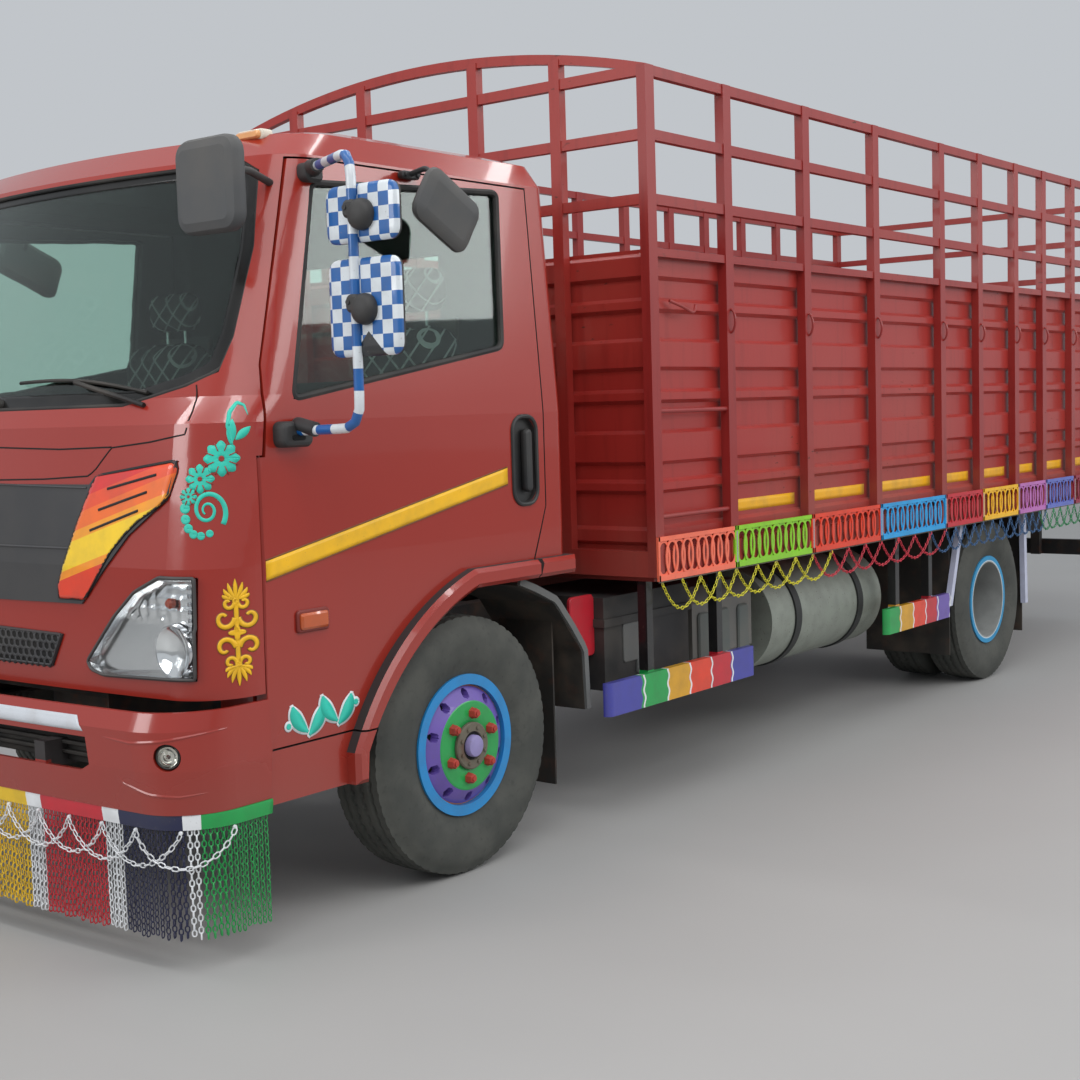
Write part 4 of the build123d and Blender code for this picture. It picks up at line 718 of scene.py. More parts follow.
def turned_shape(profile: Sequence[tuple[float, float]], centre: Place, sides: int) -> Form:
    """Turn a profile of (radius, out) points about a line along Y: x = r sin a, z = r cos a, y = out."""
    line = np.array(profile, float)
    angle = np.arange(sides) * TAU / sides
    x = line[:, None, 0] * np.sin(angle)
    z = line[:, None, 0] * np.cos(angle)
    grid = np.stack([x, np.broadcast_to(line[:, None, 1], x.shape), z], axis=-1) + np.array(centre)
    return surface(grid[:, ::-1], wrap_v=True)


def knob(profile: Sequence[tuple[float, float]], at: Place, sides: int, heading: float = 0.0) -> Form:
    """Set a turned shape at a place with its axis along a heading, in degrees from forward."""
    return turned_shape(profile, (0, 0, 0), sides).turned("Z", heading - 90).moved(*at)


def rounded(width: float, height: float, radius: float, steps: int = 6) -> np.ndarray:
    """Give a rectangle's outline with round corners, anticlockwise, as (across, up) points."""
    angle = np.linspace(0, math.pi / 2, steps)
    quarter = np.column_stack([np.cos(angle), np.sin(angle)]) * radius
    corners = []
    for turn, (sx, sy) in enumerate(((1, 1), (-1, 1), (-1, -1), (1, -1))):
        c, s = math.cos(turn * math.pi / 2), math.sin(turn * math.pi / 2)
        spun = quarter @ np.array([[c, s], [-s, c]])
        corners.append(spun + [sx * (width / 2 - radius), sy * (height / 2 - radius)])
    return np.concatenate(corners)


class Plane(Enum):
    """Where an outline's across, up and out go."""

    FRONT = ((0, 1, 0), (0, 0, 1), (1, 0, 0))
    BACK = ((0, -1, 0), (0, 0, 1), (-1, 0, 0))
    LEFT = ((-1, 0, 0), (0, 0, 1), (0, 1, 0))
    TOP = ((0, -1, 0), (1, 0, 0), (0, 0, 1))


def pillow(outline: np.ndarray, levels: Sequence[tuple[float, float]], centre: Any, plane: Plane) -> Form:
    """Stack an outline at levels of (inset, out), so that a slab has rounded or stepped edges: each point
    moves in along the outline's own normal by the inset.

    Args:
        outline: anticlockwise (across, up) points of a convex outline.
        levels: (inset, out) pairs from the back to the face.
        centre: where the outline's middle goes.
        plane: which way it faces.

    Returns:
        The closed shape.
    """
    ahead = unit(np.roll(outline, -1, 0) - np.roll(outline, 1, 0))
    inward = np.column_stack([-ahead[:, 1], ahead[:, 0]])
    across, up, out = (np.array(axis, float) for axis in plane.value)
    rings = []
    for inset, depth in levels:
        flat = outline + inward * inset
        rings.append(flat[:, :1] * across + flat[:, 1:] * up + out * depth + np.array(centre))
    grid = np.stack(rings)
    return surface(grid[:, ::-1], wrap_v=True) + fan(grid[0], False) + fan(grid[-1], True)


class Skin:
    """The outside of some nodes, to lay paint and trim on."""

    def __init__(self, *nodes: bpy.types.Object) -> None:
        """Keep the nodes' triangles as one array."""
        soup = []
        for node in nodes:
            mesh = node.data
            mesh.calc_loop_triangles()
            points = np.zeros(len(mesh.vertices) * 3)
            mesh.vertices.foreach_get("co", points)
            corners = np.zeros(len(mesh.loop_triangles) * 3, int)
            mesh.loop_triangles.foreach_get("vertices", corners)
            soup.append(points.reshape(-1, 3)[corners.reshape(-1, 3)])
        self.triangles = np.concatenate(soup)

    def lay(self, flat: np.ndarray, heading: float, lift: float) -> np.ndarray:
        """Throw (across, up) places on the skin along a heading and lift them off it.

        Each place is tested against every triangle by its three edge functions in the plane across the
        heading, and the hit that lies furthest out is kept. A place that misses takes the depth of the
        nearest place that hit.

        Args:
            flat: places of shape (..., 2).
            heading: the outward direction in plan, in degrees from forward towards the left.
            lift: how far off the skin.

        Returns:
            Points of shape (..., 3).
        """
        turn = math.radians(heading)
        out = np.array([math.cos(turn), math.sin(turn), 0])
        across = np.array([-math.sin(turn), math.cos(turn), 0])
        places = flat.reshape(-1, 2)
        u = self.triangles @ across
        v = self.triangles[..., 2]
        w = self.triangles @ out
        edge = (u[:, 1] - u[:, 0]) * (v[:, 2] - v[:, 0]) - (u[:, 2] - u[:, 0]) * (v[:, 1] - v[:, 0])
        near = edge > 1e-12
        low_u, high_u = places[:, 0].min() - 0.01, places[:, 0].max() + 0.01
        low_v, high_v = places[:, 1].min() - 0.01, places[:, 1].max() + 0.01
        near &= (u.max(1) > low_u) & (u.min(1) < high_u) & (v.max(1) > low_v) & (v.min(1) < high_v)
        u, v, w, edge = u[near], v[near], w[near], edge[near]
        depths = [self._deepest(part, u, v, w, edge) for part in np.array_split(places, len(places) // 400 + 1)]
        depth = np.concatenate(depths)
        missed = ~np.isfinite(depth)
        if missed.any() and not missed.all():
            gaps = ((places[missed][:, None] - places[~missed][None]) ** 2).sum(-1)
            depth[missed] = depth[~missed][gaps.argmin(1)]
        points = places[:, :1] * across + places[:, 1:] * np.array([0, 0, 1]) + depth[:, None] * out
        return (points + out * lift).reshape(*flat.shape[:-1], 3)

    def spot(self, across: float, up: float, heading: float = 0.0) -> np.ndarray:
        """Give the point of the skin at one place."""
        return self.lay(np.array([[across, up]]), heading, 0.0)[0]

    @staticmethod
    def _deepest(places: np.ndarray, u: np.ndarray, v: np.ndarray, w: np.ndarray, edge: np.ndarray) -> np.ndarray:
        """Give the furthest hit for each place, or minus infinity."""
        px, py = places[:, :1], places[:, 1:]
        weights = []
        for first, second in ((1, 2), (2, 0), (0, 1)):
            run_u, run_v = u[:, second] - u[:, first], v[:, second] - v[:, first]
            weights.append((run_u * (py - v[:, first]) - run_v * (px - u[:, first])) / edge)
        inside = (weights[0] >= -1e-6) & (weights[1] >= -1e-6) & (weights[2] >= -1e-6)
        depth = weights[0] * w[:, 0] + weights[1] * w[:, 1] + weights[2] * w[:, 2]
        return np.where(inside, depth, -np.inf).max(1)


@dataclass
class Film:
    """Paint, tape or trim laid on a skin: flat shapes of (across, up) places thrown on it."""

    skin: Skin
    heading: float
    lift: float

    def sheet(self, flat: np.ndarray) -> Form:
        """Lay a grid of places of shape (rows, columns, 2), its faces outwards."""
        down = flat[1:, :-1] - flat[:-1, :-1]
        on = flat[:-1, 1:] - flat[:-1, :-1]
        if (down[..., 0] * on[..., 1] - down[..., 1] * on[..., 0]).sum() < 0:
            flat = flat[::-1]
        return surface(self.skin.lay(flat, self.heading, self.lift))

    def between(self, low: np.ndarray, high: np.ndarray, rows: int, columns: int) -> Form:
        """Lay the sheet between two lines, each resampled evenly: low + t (high - low)."""
        first, second = resampled(low, rows), resampled(high, rows)
        t = np.linspace(0, 1, columns)[None, :, None]
        return self.sheet(first[:, None] * (1 - t) + second[:, None] * t)

    def line(self, points: Any, width: float, rows: int) -> Form:
        """Lay a line of one width."""
        return self.stroke(resampled(points, rows), np.full(rows, width))

    def stroke(self, path: np.ndarray, width: np.ndarray) -> Form:
        """Lay a brush stroke: the path widened to each side by half its width there."""
        ahead = np.gradient(path, axis=0)
        ahead /= np.linalg.norm(ahead, axis=1, keepdims=True) + 1e-12
        aside = np.column_stack([ahead[:, 1], -ahead[:, 0]]) * width[:, None] / 2
        spread = np.linspace(-1, 1, 3)[None, :, None]
        return self.sheet(path[:, None] - aside[:, None] * spread)

    def disc(self, centre: Any, radius: Any, sides: int) -> Form:
        """Lay a disc, or a lobed shape where the radius is a function of the angle."""
        angle = np.linspace(0, TAU, sides + 1)
        reach = radius(angle) if callable(radius) else np.full(angle.shape, radius)
        share = np.linspace(0.02, 1, 4)
        ring = np.stack([np.cos(angle) * reach, np.sin(angle) * reach], axis=-1)
        flat = np.array(centre) + share[None, :, None] * ring[:, None]
        return self.sheet(flat[:, ::-1][::-1])


# The workshop: it makes pieces, puts them on their bodies and keeps the frame


SIDES = (("left", 1), ("right", -1))
DOOR, FRONT_WHEEL, REAR_WHEELS = "cab_door_{side}", "front_wheel_{side}", "rear_wheels_{side}"
# The load body's posts along the truck, from the front axle; its lattice's foot, head and rails
POSTS = (-0.978, -1.509, -2.139, -2.789, -3.505, -3.970, -4.455, -4.862, -5.318, -5.780, -6.240, -6.672)
LATTICE_LOW, LATTICE_HIGH = 0.866, 1.029
TRIM_Y = 1.1145
TRIM_HALF = 0.0045
# How far a coat of paint lies off its skin, and one over it, and which way the cab's corner faces
COAT, OVERCOAT = 0.0012, 0.0024
CORNER_HEADING, DOOR_HEADING = 42.0, 90.0


@dataclass
class Workshop:
    """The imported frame, and the one place where pieces are made."""

    frame: dict[str, Any]
    axle_x: float = field(init=False)

    def __post_init__(self) -> None:
        """Find the front axle from the steering joint."""
        joint = next(joint for joint in self.frame["joints"] if joint["name"] == "steer_left")
        self.axle_x = joint["pos_m"][0]

    def ahead(self, x: Any) -> Any:
        """Turn a place from the front axle into X."""
        return self.axle_x + x

    def path(self, x: Any, y: Any, z: Any) -> np.ndarray:
        """Give a line of points from numbers and arrays, with x counted from the front axle."""
        return np.column_stack(np.broadcast_arrays(self.ahead(x), y, z))

    def placed(self, points: Sequence[Place]) -> np.ndarray:
        """Turn places from the axle into the frame's."""
        return np.array(points) + [self.axle_x, 0, 0]

    def flat(self, points: Sequence[Place], heading: float) -> np.ndarray:
        """Turn points, with x counted from the axle, into (across, up) places along a heading."""
        x, y, z = np.array(points).T
        turn = math.radians(heading)
        return np.column_stack([-math.sin(turn) * self.ahead(x) + math.cos(turn) * y, z])

    def node(self, name: str) -> bpy.types.Object:
        """Give a node of the frame."""
        return self.frame["nodes"][name]

    def skin(self, *names: str) -> Skin:
        """Give the outside of some nodes of the frame."""
        return Skin(*(self.node(name) for name in names))

    def slab(self, size: Place, levels: Sequence[tuple[float, float]], at: Place, plane: Plane) -> Form:
        """Make a slab with round corners.

        Args:
            size: across, up and the corners' radius.
            levels: (inset, out) pairs from the back to the face.
            at: its middle, with x counted from the axle.
            plane: which way it faces.

        Returns:
            The closed shape.
        """
        return pillow(rounded(*size), levels, (self.ahead(at[0]), *at[1:]), plane)

    def dress(self, finish: Finish, *nodes: str) -> None:
        """Give nodes of the frame a finish."""
        for name in nodes:
            mesh = self.node(name).data
            mesh.materials.clear()
            mesh.materials.append(finish.make())

    def make(
        self,
        name: str,
        shape: Form,
        finishes: Finish | Sequence[Finish],
        body: str,
        slot: str,
        replaces: Sequence[str] = (),
        smooth: float = 35,
        thick: float = 0,
    ) -> bpy.types.Object:
        """Make a piece from a shape and put it on its body.

        Args:
            name: the piece's name.
            shape: its points and faces.
            finishes: one finish, or one for each finish number.
            body: the body that it moves with.
            slot: the record's material slot; not used.
            replaces: nodes that it stands for.
            smooth: the angle under which edges are smooth.
            thick: a wall that is added inwards, for a film.

        Returns:
            The object.
        """
        mesh = bpy.data.meshes.new(name)
        sizes = np.where(shape.faces[:, 3] >= 0, 4, 3)
        mesh.vertices.add(len(shape.points))
        mesh.vertices.foreach_set("co", shape.points.ravel())
        corners = shape.faces[shape.faces >= 0]
        mesh.loops.add(len(corners))
        mesh.loops.foreach_set("vertex_index", corners)
        mesh.polygons.add(len(sizes))
        mesh.polygons.foreach_set("loop_start", np.concatenate([[0], np.cumsum(sizes)[:-1]]))
        mesh.polygons.foreach_set("material_index", shape.finish)
        layer = mesh.uv_layers.new(name="UVMap")
        layer.data.foreach_set("uv", shape.flat_uv()[corners].ravel())
        mesh.update(calc_edges=True)
        mesh.validate()
        for finish in [finishes] if isinstance(finishes, Finish) else finishes:
            mesh.materials.append(finish.make())
        piece = bpy.data.objects.new(name, mesh)
        bpy.context.scene.collection.objects.link(piece)
        mesh.shade_smooth()
        mesh.set_sharp_from_angle(angle=math.radians(smooth))
        if thick:
            modifier = piece.modifiers.new("wall", "SOLIDIFY")
            modifier.thickness, modifier.offset = thick, -1
        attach(piece, body)
        if replaces:
            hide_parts(*replaces)
        LOG.info("%s: %d faces on %s", name, len(shape.faces), body)
        return piece

    def pair(
        self,
        name: str,
        shape: Form,
        finishes: Finish | Sequence[Finish],
        body: str,
        slot: str,
        replaces: Sequence[str] = (),
        **more: float,
    ) -> None:
        """Make a left-hand piece and its mirror image.

        Args:
            name: the pieces' name, before the side.
            shape: the left one's shape.
            finishes: as in make.
            body: the body, in which {side} stands for the side.
            slot: the record's material slot.
            replaces: nodes they stand for; one without {side} in its name is the left piece's.
            more: smooth and thick, as in make.
        """
        for side, sign in SIDES:
            nodes = [node.format(side=side) for node in replaces if sign > 0 or "{side}" in node]
            mine = shape if sign > 0 else shape.mirrored()
            self.make(f"{name}_{side}", mine, finishes, body.format(side=side), slot, nodes, **more)


@dataclass
class Wheels:
    """Tyres with their tread, and the painted wheels. The sidewall is (across, radius) from bead to crown."""

    shop: Workshop
    radius: float = 0.425
    front_y: float = 0.888
    dual_y: tuple[float, float] = (0.94, 0.676)
    rear_axle: float = -4.22
    sidewall: Line = ((0.087, 0.207), (0.0885, 0.240), (0.101, 0.262), (0.1105, 0.300), (0.112, 0.340),
                      (0.108, 0.378), (0.100, 0.398), (0.094, 0.410))
    grooves: tuple[float, ...] = (-0.058, -0.02, 0.02, 0.058)
    groove_deep: float = 0.009
    groove_half: float = 0.0045
    zigzag: float = 0.004
    shoulder: tuple[float, float] = (0.074, 0.0965)
    lugs: int = 64
    hand_holes: int = 10
    hole_ring: float = 0.170
    hole_radius: float = 0.0145
    hole_deep: float = 0.028
    bolt_ring: float = 0.060
    face_y: float = 1.0015

    def tyre(self, x: float, y: float) -> Form:
        """Turn the tyre's section and cut its tread: the radius falls by the groove's depth where the
        place across lies in a groove that zigzags with the angle, and at the shoulders between lugs."""
        flank = np.array(self.sidewall)
        across = np.concatenate([-flank[:, 0], np.linspace(-0.09, 0.09, 41), flank[::-1, 0]])
        crown = self.radius - 0.004 * (np.linspace(-1, 1, 41) ** 2)
        reach = np.concatenate([flank[:, 1], crown, flank[::-1, 1]])
        angle = np.arange(self.lugs * 4) * TAU / (self.lugs * 4)
        phase = angle * self.lugs + math.pi / 4
        zigzag = self.zigzag * np.sign(np.sin(phase))
        radius = np.repeat(reach[None], len(angle), axis=0)
        for groove in self.grooves:
            inside = np.abs(across[None] - groove - zigzag[:, None]) < self.groove_half
            radius = radius - inside * self.groove_deep
        shoulder = (np.abs(across)[None] > self.shoulder[0]) & (np.abs(across)[None] < self.shoulder[1])
        between = (np.cos(phase - math.pi / 4) > 0.72)[:, None]
        radius = radius - shoulder * between * self.groove_deep * 0.4
        ribs = 0.0012 * (np.abs(reach - 0.262) < 0.001) + 0.0015 * (np.abs(reach - 0.378) < 0.001)
        out = np.broadcast_to(y + across * (1 + ribs / 0.112), radius.shape)
        turns = (np.sin(angle)[:, None], np.cos(angle)[:, None])
        grid = np.stack([x + radius * turns[0], out, self.radius + radius * turns[1]], axis=-1)
        grid[..., 2] = np.maximum(grid[..., 2], 0)
        return surface(grid, wrap_u=True)

    def bolted(self, profiles: Sequence[tuple[Line, int]], x: float, face: float, ring: float, angles: Any) -> Form:
        """Set turned shapes, given as (profile, sides), at angles on a ring round the axle."""
        shapes = []
        for angle in angles:
            centre = (x + ring * math.cos(angle), face, self.radius + ring * math.sin(angle))
            shapes += [turned_shape(profile, centre, sides) for profile, sides in profiles]
        return gather(shapes)

    def nuts(self, x: float, face: float, ring: float, count: int = 6) -> Form:
        """Add round-headed nuts on their studs: a hexagon, a cone and the stud's end."""
        nut = ((0.0195, -0.001), (0.0195, 0.003), (0.0175, 0.006), (0.0172, 0.018), (0.0145, 0.0225), (0.009, 0.024))
        stud = ((0.009, 0.0235), (0.009, 0.028), (0.0, 0.0285))
        angles = [TAU * turn / count + 0.66 for turn in range(count)]
        return self.bolted(((nut, 6), (stud, 10)), x, face, ring, angles)

    def disc(self, x: float) -> Form:
        """Turn the front wheel's bulged disc with its rolled rim, and dent its hand holes into the slope: a point whose
        place lies within a hole's radius of its middle goes in by the hole's depth. The dented faces take finish 1, a
        near-black painted shade for the open holes."""
        line = [(0.2365, 0.956), (0.2360, 0.966), (0.2320, 0.973), (0.2240, 0.975), (0.2120, 0.9705),
                (0.2030, 0.9655), (0.1985, 0.965), (0.1950, 0.968)]
        line += [(r, 0.968 + 0.031 * ((0.195 - r) / 0.048) ** 0.9) for r in np.linspace(0.1925, 0.147, 17)]
        line += [(0.1445, 1.0010), (0.1400, 1.0015), (0.1080, 1.0015), (0.078, 1.0015), (0.074, 0.999)]
        profile = np.array(line)
        angle = np.arange(360) * TAU / 360
        pitch = TAU / self.hand_holes
        nearest = (angle + pitch / 2) % pitch - pitch / 2
        inside = np.hypot(profile[:, :1] - self.hole_ring, profile[:, :1] * nearest[None]) < self.hole_radius
        out = profile[:, 1:] - inside * self.hole_deep
        ahead, up = profile[:, :1] * np.sin(angle), profile[:, :1] * np.cos(angle)
        shape = surface(np.stack([x + ahead, out, self.radius + up], axis=-1)[:, ::-1], wrap_v=True)
        # faces inside a hole take finish 1: painted shade for the open hole
        dark = inside[:-1, ::-1] & inside[1:, ::-1]
        dark &= np.roll(dark, -1, 1)
        return replace(shape, finish=dark.astype(int).ravel())

    def front_face(self, x: float) -> Form:
        """Add the hub's bolted ring (0), its cap (1), its bolts (2) and its dark well (3) on the disc; the well is a
        near-black flat ring, painted shade in the groove between ring and cap.
        """
        middle = (x, 0, self.radius)
        ring = ((0.073, 1.000), (0.077, 1.002), (0.0770, 1.011), (0.073, 1.014), (0.048, 1.0145), (0.046, 1.008))
        cap = ((0.036, 1.008), (0.036, 1.024), (0.033, 1.029), (0.024, 1.0315), (0.0, 1.032))
        well = ((0.046, 1.0085), (0.036, 1.0085))
        rings = zip((ring, well, cap), (40, 36, 36), (0, 3, 1))
        parts = [turned_shape(profile, middle, sides).marked(number) for profile, sides, number in rings]
        angles = [TAU * (turn + 0.5) / 8 for turn in range(8)]
        bolt = ((0.0065, 0), (0.0065, 0.005), (0, 0.006))
        return gather([*parts, self.bolted(((bolt, 6),), x, 1.0143, self.bolt_ring, angles).marked(2)])

    def build(self) -> None:
        """Make tyres and dress wheels on both sides."""
        rubber = TyreRubber("tyre_rubber", paint_of(62, 64, 60))
        front_x, rear_x = self.shop.axle_x, self.shop.ahead(self.rear_axle)
        plum = Tone.PURPLE.value
        rings = ((0.0, plum), (0.06, paint_of(120, 112, 96)), (0.072, Tone.GREEN.value), (0.1462, plum),
                 (0.1915, paint_of(226, 130, 74)), (0.1965, paint_of(10, 134, 200)), (0.2332, paint_of(10, 60, 110)),
                 (0.26, Tone.SKY.value))
        front = WheelPaint("wheel_front_paint", plum, 0.35, coat=0.4, axle_x=front_x, rings=rings)
        dark, dusty_blue = paint_of(116, 118, 114), paint_of(44, 146, 196)
        rings = ((0.0, dark), (0.185, paint_of(150, 152, 150)), (0.2035, paint_of(196, 214, 222)),
                 (0.209, dusty_blue), (0.26, dusty_blue))
        rear = WheelPaint("wheel_rear_paint", dark, 0.45, axle_x=rear_x, rings=rings)
        # near-black finish for the hand holes and the hub's well: painted shade
        well = Moulding("wheel_well", paint_of(14, 14, 20), 0.8, dust=0.05)
        cap = Gloss("cap_lilac", paint_of(150, 140, 190), 0.4)
        iron = RoadIron("hub_iron", paint_of(104, 98, 84), rust=0.6)
        red = Gloss("nut_red", paint_of(176, 58, 44), 0.5, wear=0.8)
        front_tyre = self.tyre(front_x, self.front_y)
        rear_tyres = gather(self.tyre(rear_x, y) for y in self.dual_y)
        front_nuts = self.nuts(front_x, self.face_y, 0.106)
        pair = self.shop.pair
        pair("tyre_tread_front", front_tyre, rubber, FRONT_WHEEL, "tyre", ["tyre_front_{side}"], smooth=50)
        pair("tyre_treads_rear", rear_tyres, rubber, REAR_WHEELS, "tyre", ["tyres_rear_{side}"], smooth=50)
        pair("hub_face", self.front_face(front_x), (iron, cap, iron, well), FRONT_WHEEL, "wheel_paint")
        pair("wheel_disc", self.disc(front_x), (front, well), FRONT_WHEEL, "wheel_paint", thick=0.003)
        pair("wheel_nuts_front", front_nuts, red, FRONT_WHEEL, "wheel_paint")
        pair("wheel_nuts_rear", self.nuts(rear_x, 0.82, 0.108), iron, REAR_WHEELS, "wheel_paint")
        self.shop.dress(front, "rim_front_left", "rim_front_right")
        self.shop.dress(rear, "rims_rear_left", "rims_rear_right")


@dataclass
class CabPaint:
    """What is painted or stuck on the cab, and its seals, lamps and wipers. Outlines are (y, z) on the left."""

    shop: Workshop
    windscreen: Line = ((0.0, 1.553), (0.59, 1.553), (0.80, 1.604), (0.892, 1.642), (0.906, 1.74), (0.896, 2.0),
                        (0.856, 2.225), (0.80, 2.256))
    flame_in: Line = ((0.384, 1.003), (0.381, 1.040), (0.429, 1.142), (0.468, 1.226), (0.520, 1.324),
                      (0.536, 1.350), (0.552, 1.362))
    flame_out: Line = ((0.497, 1.003), (0.561, 1.077), (0.616, 1.147), (0.671, 1.196), (0.725, 1.236),
                       (0.806, 1.277), (0.832, 1.300), (0.858, 1.372), (0.856, 1.390), (0.842, 1.400))
    flame_slots: tuple[Line, ...] = (((0.593, 1.322), (0.788, 1.362)), ((0.559, 1.262), (0.755, 1.314)),
                                     ((0.525, 1.203), (0.723, 1.262)))
    flame_fall: float = -0.30
    gap_lines: tuple[Line, ...] = (
        ((0.0, 1.345), (0.30, 1.349), (0.500, 1.358), (0.530, 1.378), (0.592, 1.438), (0.745, 1.452),
         (0.878, 1.472), (0.874, 1.515), (0.834, 1.608)),
        ((0.0, 1.446), (0.369, 1.436), (0.592, 1.440)),
    )
    paint: float = 0.001

    def painted(self, name: str, shape: Form, finish: Finish, body: str = "cab") -> None:
        """Make a film of paint on both sides."""
        self.shop.pair(name, shape, finish, body, "cab_paint", thick=self.paint)

    def flames(self, skin: Skin) -> None:
        """Lay the sunset panel beside the grille, its dark edge and its slots."""
        starts = (
            (0.99 + self.flame_fall * 0.367 - 0.04, Tone.VERMILION.value),
            (0.935, paint_of(250, 150, 20)),
            (0.958, paint_of(252, 208, 24)),
            (1.035, paint_of(250, 160, 22)),
            (1.062, paint_of(246, 110, 28)),
            (1.110, paint_of(238, 78, 34)),
            (1.150, paint_of(226, 44, 40)),
            (1.40 + self.flame_fall * 0.5, paint_of(214, 84, 96)),
        )
        film, raised = Film(skin, 0.0, 0.003), Film(skin, 0.0, 0.0045)
        sheet = film.between(np.array(self.flame_in), np.array(self.flame_out), 40, 24)
        for (side, sign), suffix in zip(SIDES, ("", "_right")):
            paint = Bands(f"flame_paint{suffix}", Tone.ORANGE.value, 0.25, coat=0.6, wear=0.05, axis=2,
                          slope=sign * self.flame_fall, starts=starts)
            mine = sheet if sign > 0 else sheet.mirrored()
            self.shop.make(f"flame_panel_{side}", mine, paint, "cab", "cab_paint", thick=0.003)
        dark = Moulding("slot_black", Tone.BLACK.value, 0.6, dust=0.1)
        slots = gather(raised.line(slot, 0.007, 12) for slot in self.flame_slots)
        edge = film.line((*self.flame_in, *self.flame_out[::-1], self.flame_in[0]), 0.006, 90)
        self.shop.pair("flame_slots", slots, dark, "cab", "grille_black", thick=0.002)
        self.shop.pair("flame_edge", edge, dark, "cab", "grille_black", thick=0.002)

    def scroll(self, skin: Skin) -> None:
        """Lay the turquoise scroll: a hooked stem, two leaves, three flowers, a spiral and dots."""
        film, lines = Film(skin, CORNER_HEADING, COAT), Film(skin, CORNER_HEADING, OVERCOAT)

        def flat(*points: Place) -> np.ndarray:
            """Give the film's own places for points from the axle."""
            return self.shop.flat(points, CORNER_HEADING)

        angle = np.linspace(-0.7, 10.4, 90)
        radius = 0.052 * np.exp(-0.16 * (angle + 0.7)) + 0.002
        turns = np.column_stack([np.cos(angle) * radius, np.sin(angle) * radius * 1.15])
        shapes = [film.stroke(flat((0.998, 0.940, 1.262))[0] + turns, np.linspace(0.014, 0.005, 90))]
        middles = flat((0.955, 0.959, 1.402), (1.001, 0.919, 1.348), (1.023, 0.893, 1.300))
        blooms = list(zip(middles, (0.050, 0.041, 0.025)))
        for centre, size in blooms:
            shapes.append(film.disc(centre, lambda a, s=size: s * (0.90 + 0.1 * np.cos(8 * a)), 64))
        dots = flat((1.031, 0.886, 1.268), (1.031, 0.887, 1.238), (1.03, 0.896, 1.213), (1.027, 0.912, 1.197),
                    (1.016, 0.930, 1.192), (1.0, 0.948, 1.198))
        shapes += [film.disc(dot, 0.0145 - 0.0008 * number, 16) for number, dot in enumerate(dots)]
        stem = flat((0.925, 0.973, 1.44), (0.925, 0.958, 1.49), (0.915, 0.955, 1.53), (0.895, 0.962, 1.556),
                    (0.88, 0.975, 1.548), (0.875, 0.985, 1.52))
        shapes.append(film.stroke(resampled(stem, 40), 0.012 * np.sin(np.linspace(0.35, math.pi * 0.97, 40))))
        t = np.linspace(0, 1, 24)
        roots = flat((0.93, 0.971, 1.440), (0.918, 0.978, 1.452))
        for root, wide, way in zip(roots, (0.026, 0.022), ((0.006, 0.070), (0.040, 0.036))):
            tip = root + np.array(way)
            swell = wide * np.sin(np.pi * np.clip(t, 0.02, 0.99)) ** 0.8
            shapes.append(film.stroke(root + t[:, None] * (tip - root), swell))
        self.painted("scroll", gather(shapes), Gloss("scroll_turquoise", Tone.TURQUOISE.value, 0.4, wear=0.1))
        seeds = []
        for centre, size in blooms:
            seeds.append(lines.disc(centre, size * 0.16, 12))
            for petal in range(8):
                a = TAU * (petal + 0.5) / 8
                tip, root = (centre + size * far * np.array([math.cos(a), math.sin(a)]) for far in (0.95, 0.45))
                seeds.append(lines.stroke(resampled(np.array([root, tip]), 4), np.full(4, 0.0028)))
        self.painted("scroll_lines", gather(seeds), Gloss("scroll_line_red", Tone.CAB_RED.value, 0.3))

    def fleuron(self, skin: Skin) -> None:
        """Lay the yellow upright ornament over its brown keyline."""
        centre = self.shop.flat([(0.935, 0.972, 0.920)], CORNER_HEADING)[0]
        layers = (("keyline", paint_of(138, 84, 22), 0.0050, 0.0010), ("yellow", Tone.YELLOW.value, 0.0, 0.0021))
        for name, tone, grow, lift in layers:
            shape = self.fleuron_layer(Film(skin, CORNER_HEADING, lift), centre, grow)
            self.painted(f"fleuron_{name}", shape, Gloss(f"fleuron_{name}", tone, 0.4, wear=0.1))

    @staticmethod
    def fleuron_layer(film: Film, centre: np.ndarray, grow: float) -> Form:
        """Draw one layer of the upright ornament: petals as bowed strokes, curls r = s e^(-0.24 a), and discs.

        Args:
            film: the film it is laid with.
            centre: its middle, across and up.
            grow: how much wider each stroke is than the yellow one.

        Returns:
            The layer.
        """
        shapes = []
        t = np.linspace(0, 1, 40)
        a = np.linspace(0, 5.6, 40)
        for up in (1, -1):
            for petal in np.linspace(-1.15, 1.15, 7):
                root = centre + [0, up * 0.092]
                reach = 0.058 - 0.018 * abs(petal)
                tip = root + reach * np.array([math.sin(petal), up * math.cos(petal)])
                bow = 0.008 * np.sin(np.pi * t)[:, None] * np.array([petal, 0])
                wide = (0.0105 + grow) * np.sin(np.pi * t * 0.93 + 0.1)
                shapes.append(film.stroke(root + t[:, None] * (tip - root) + bow, wide))
            for side in (1, -1):
                for start, size, wide in ((0.004, 0.030, 0.0135), (0.062, 0.017, 0.010)):
                    r = size * np.exp(-0.24 * a)
                    heart = centre + [side * (0.004 + size), up * (start + size * 1.25)]
                    curl = heart + np.column_stack([-side * np.cos(a) * r, -up * np.sin(a) * r * 1.15])
                    shapes.append(film.stroke(curl, np.linspace(wide, 0.0075, 40) + grow))
            shapes.append(film.disc(centre + [0, up * 0.088], 0.009 + grow / 2, 14))
        shapes.append(film.line([centre - [0, 0.09], centre + [0, 0.09]], 0.011 + grow, 20))
        shapes.append(film.disc(centre, lambda a: 0.011 + grow / 2 + 0.012 * np.cos(2 * a) ** 2, 40))
        return gather(shapes)

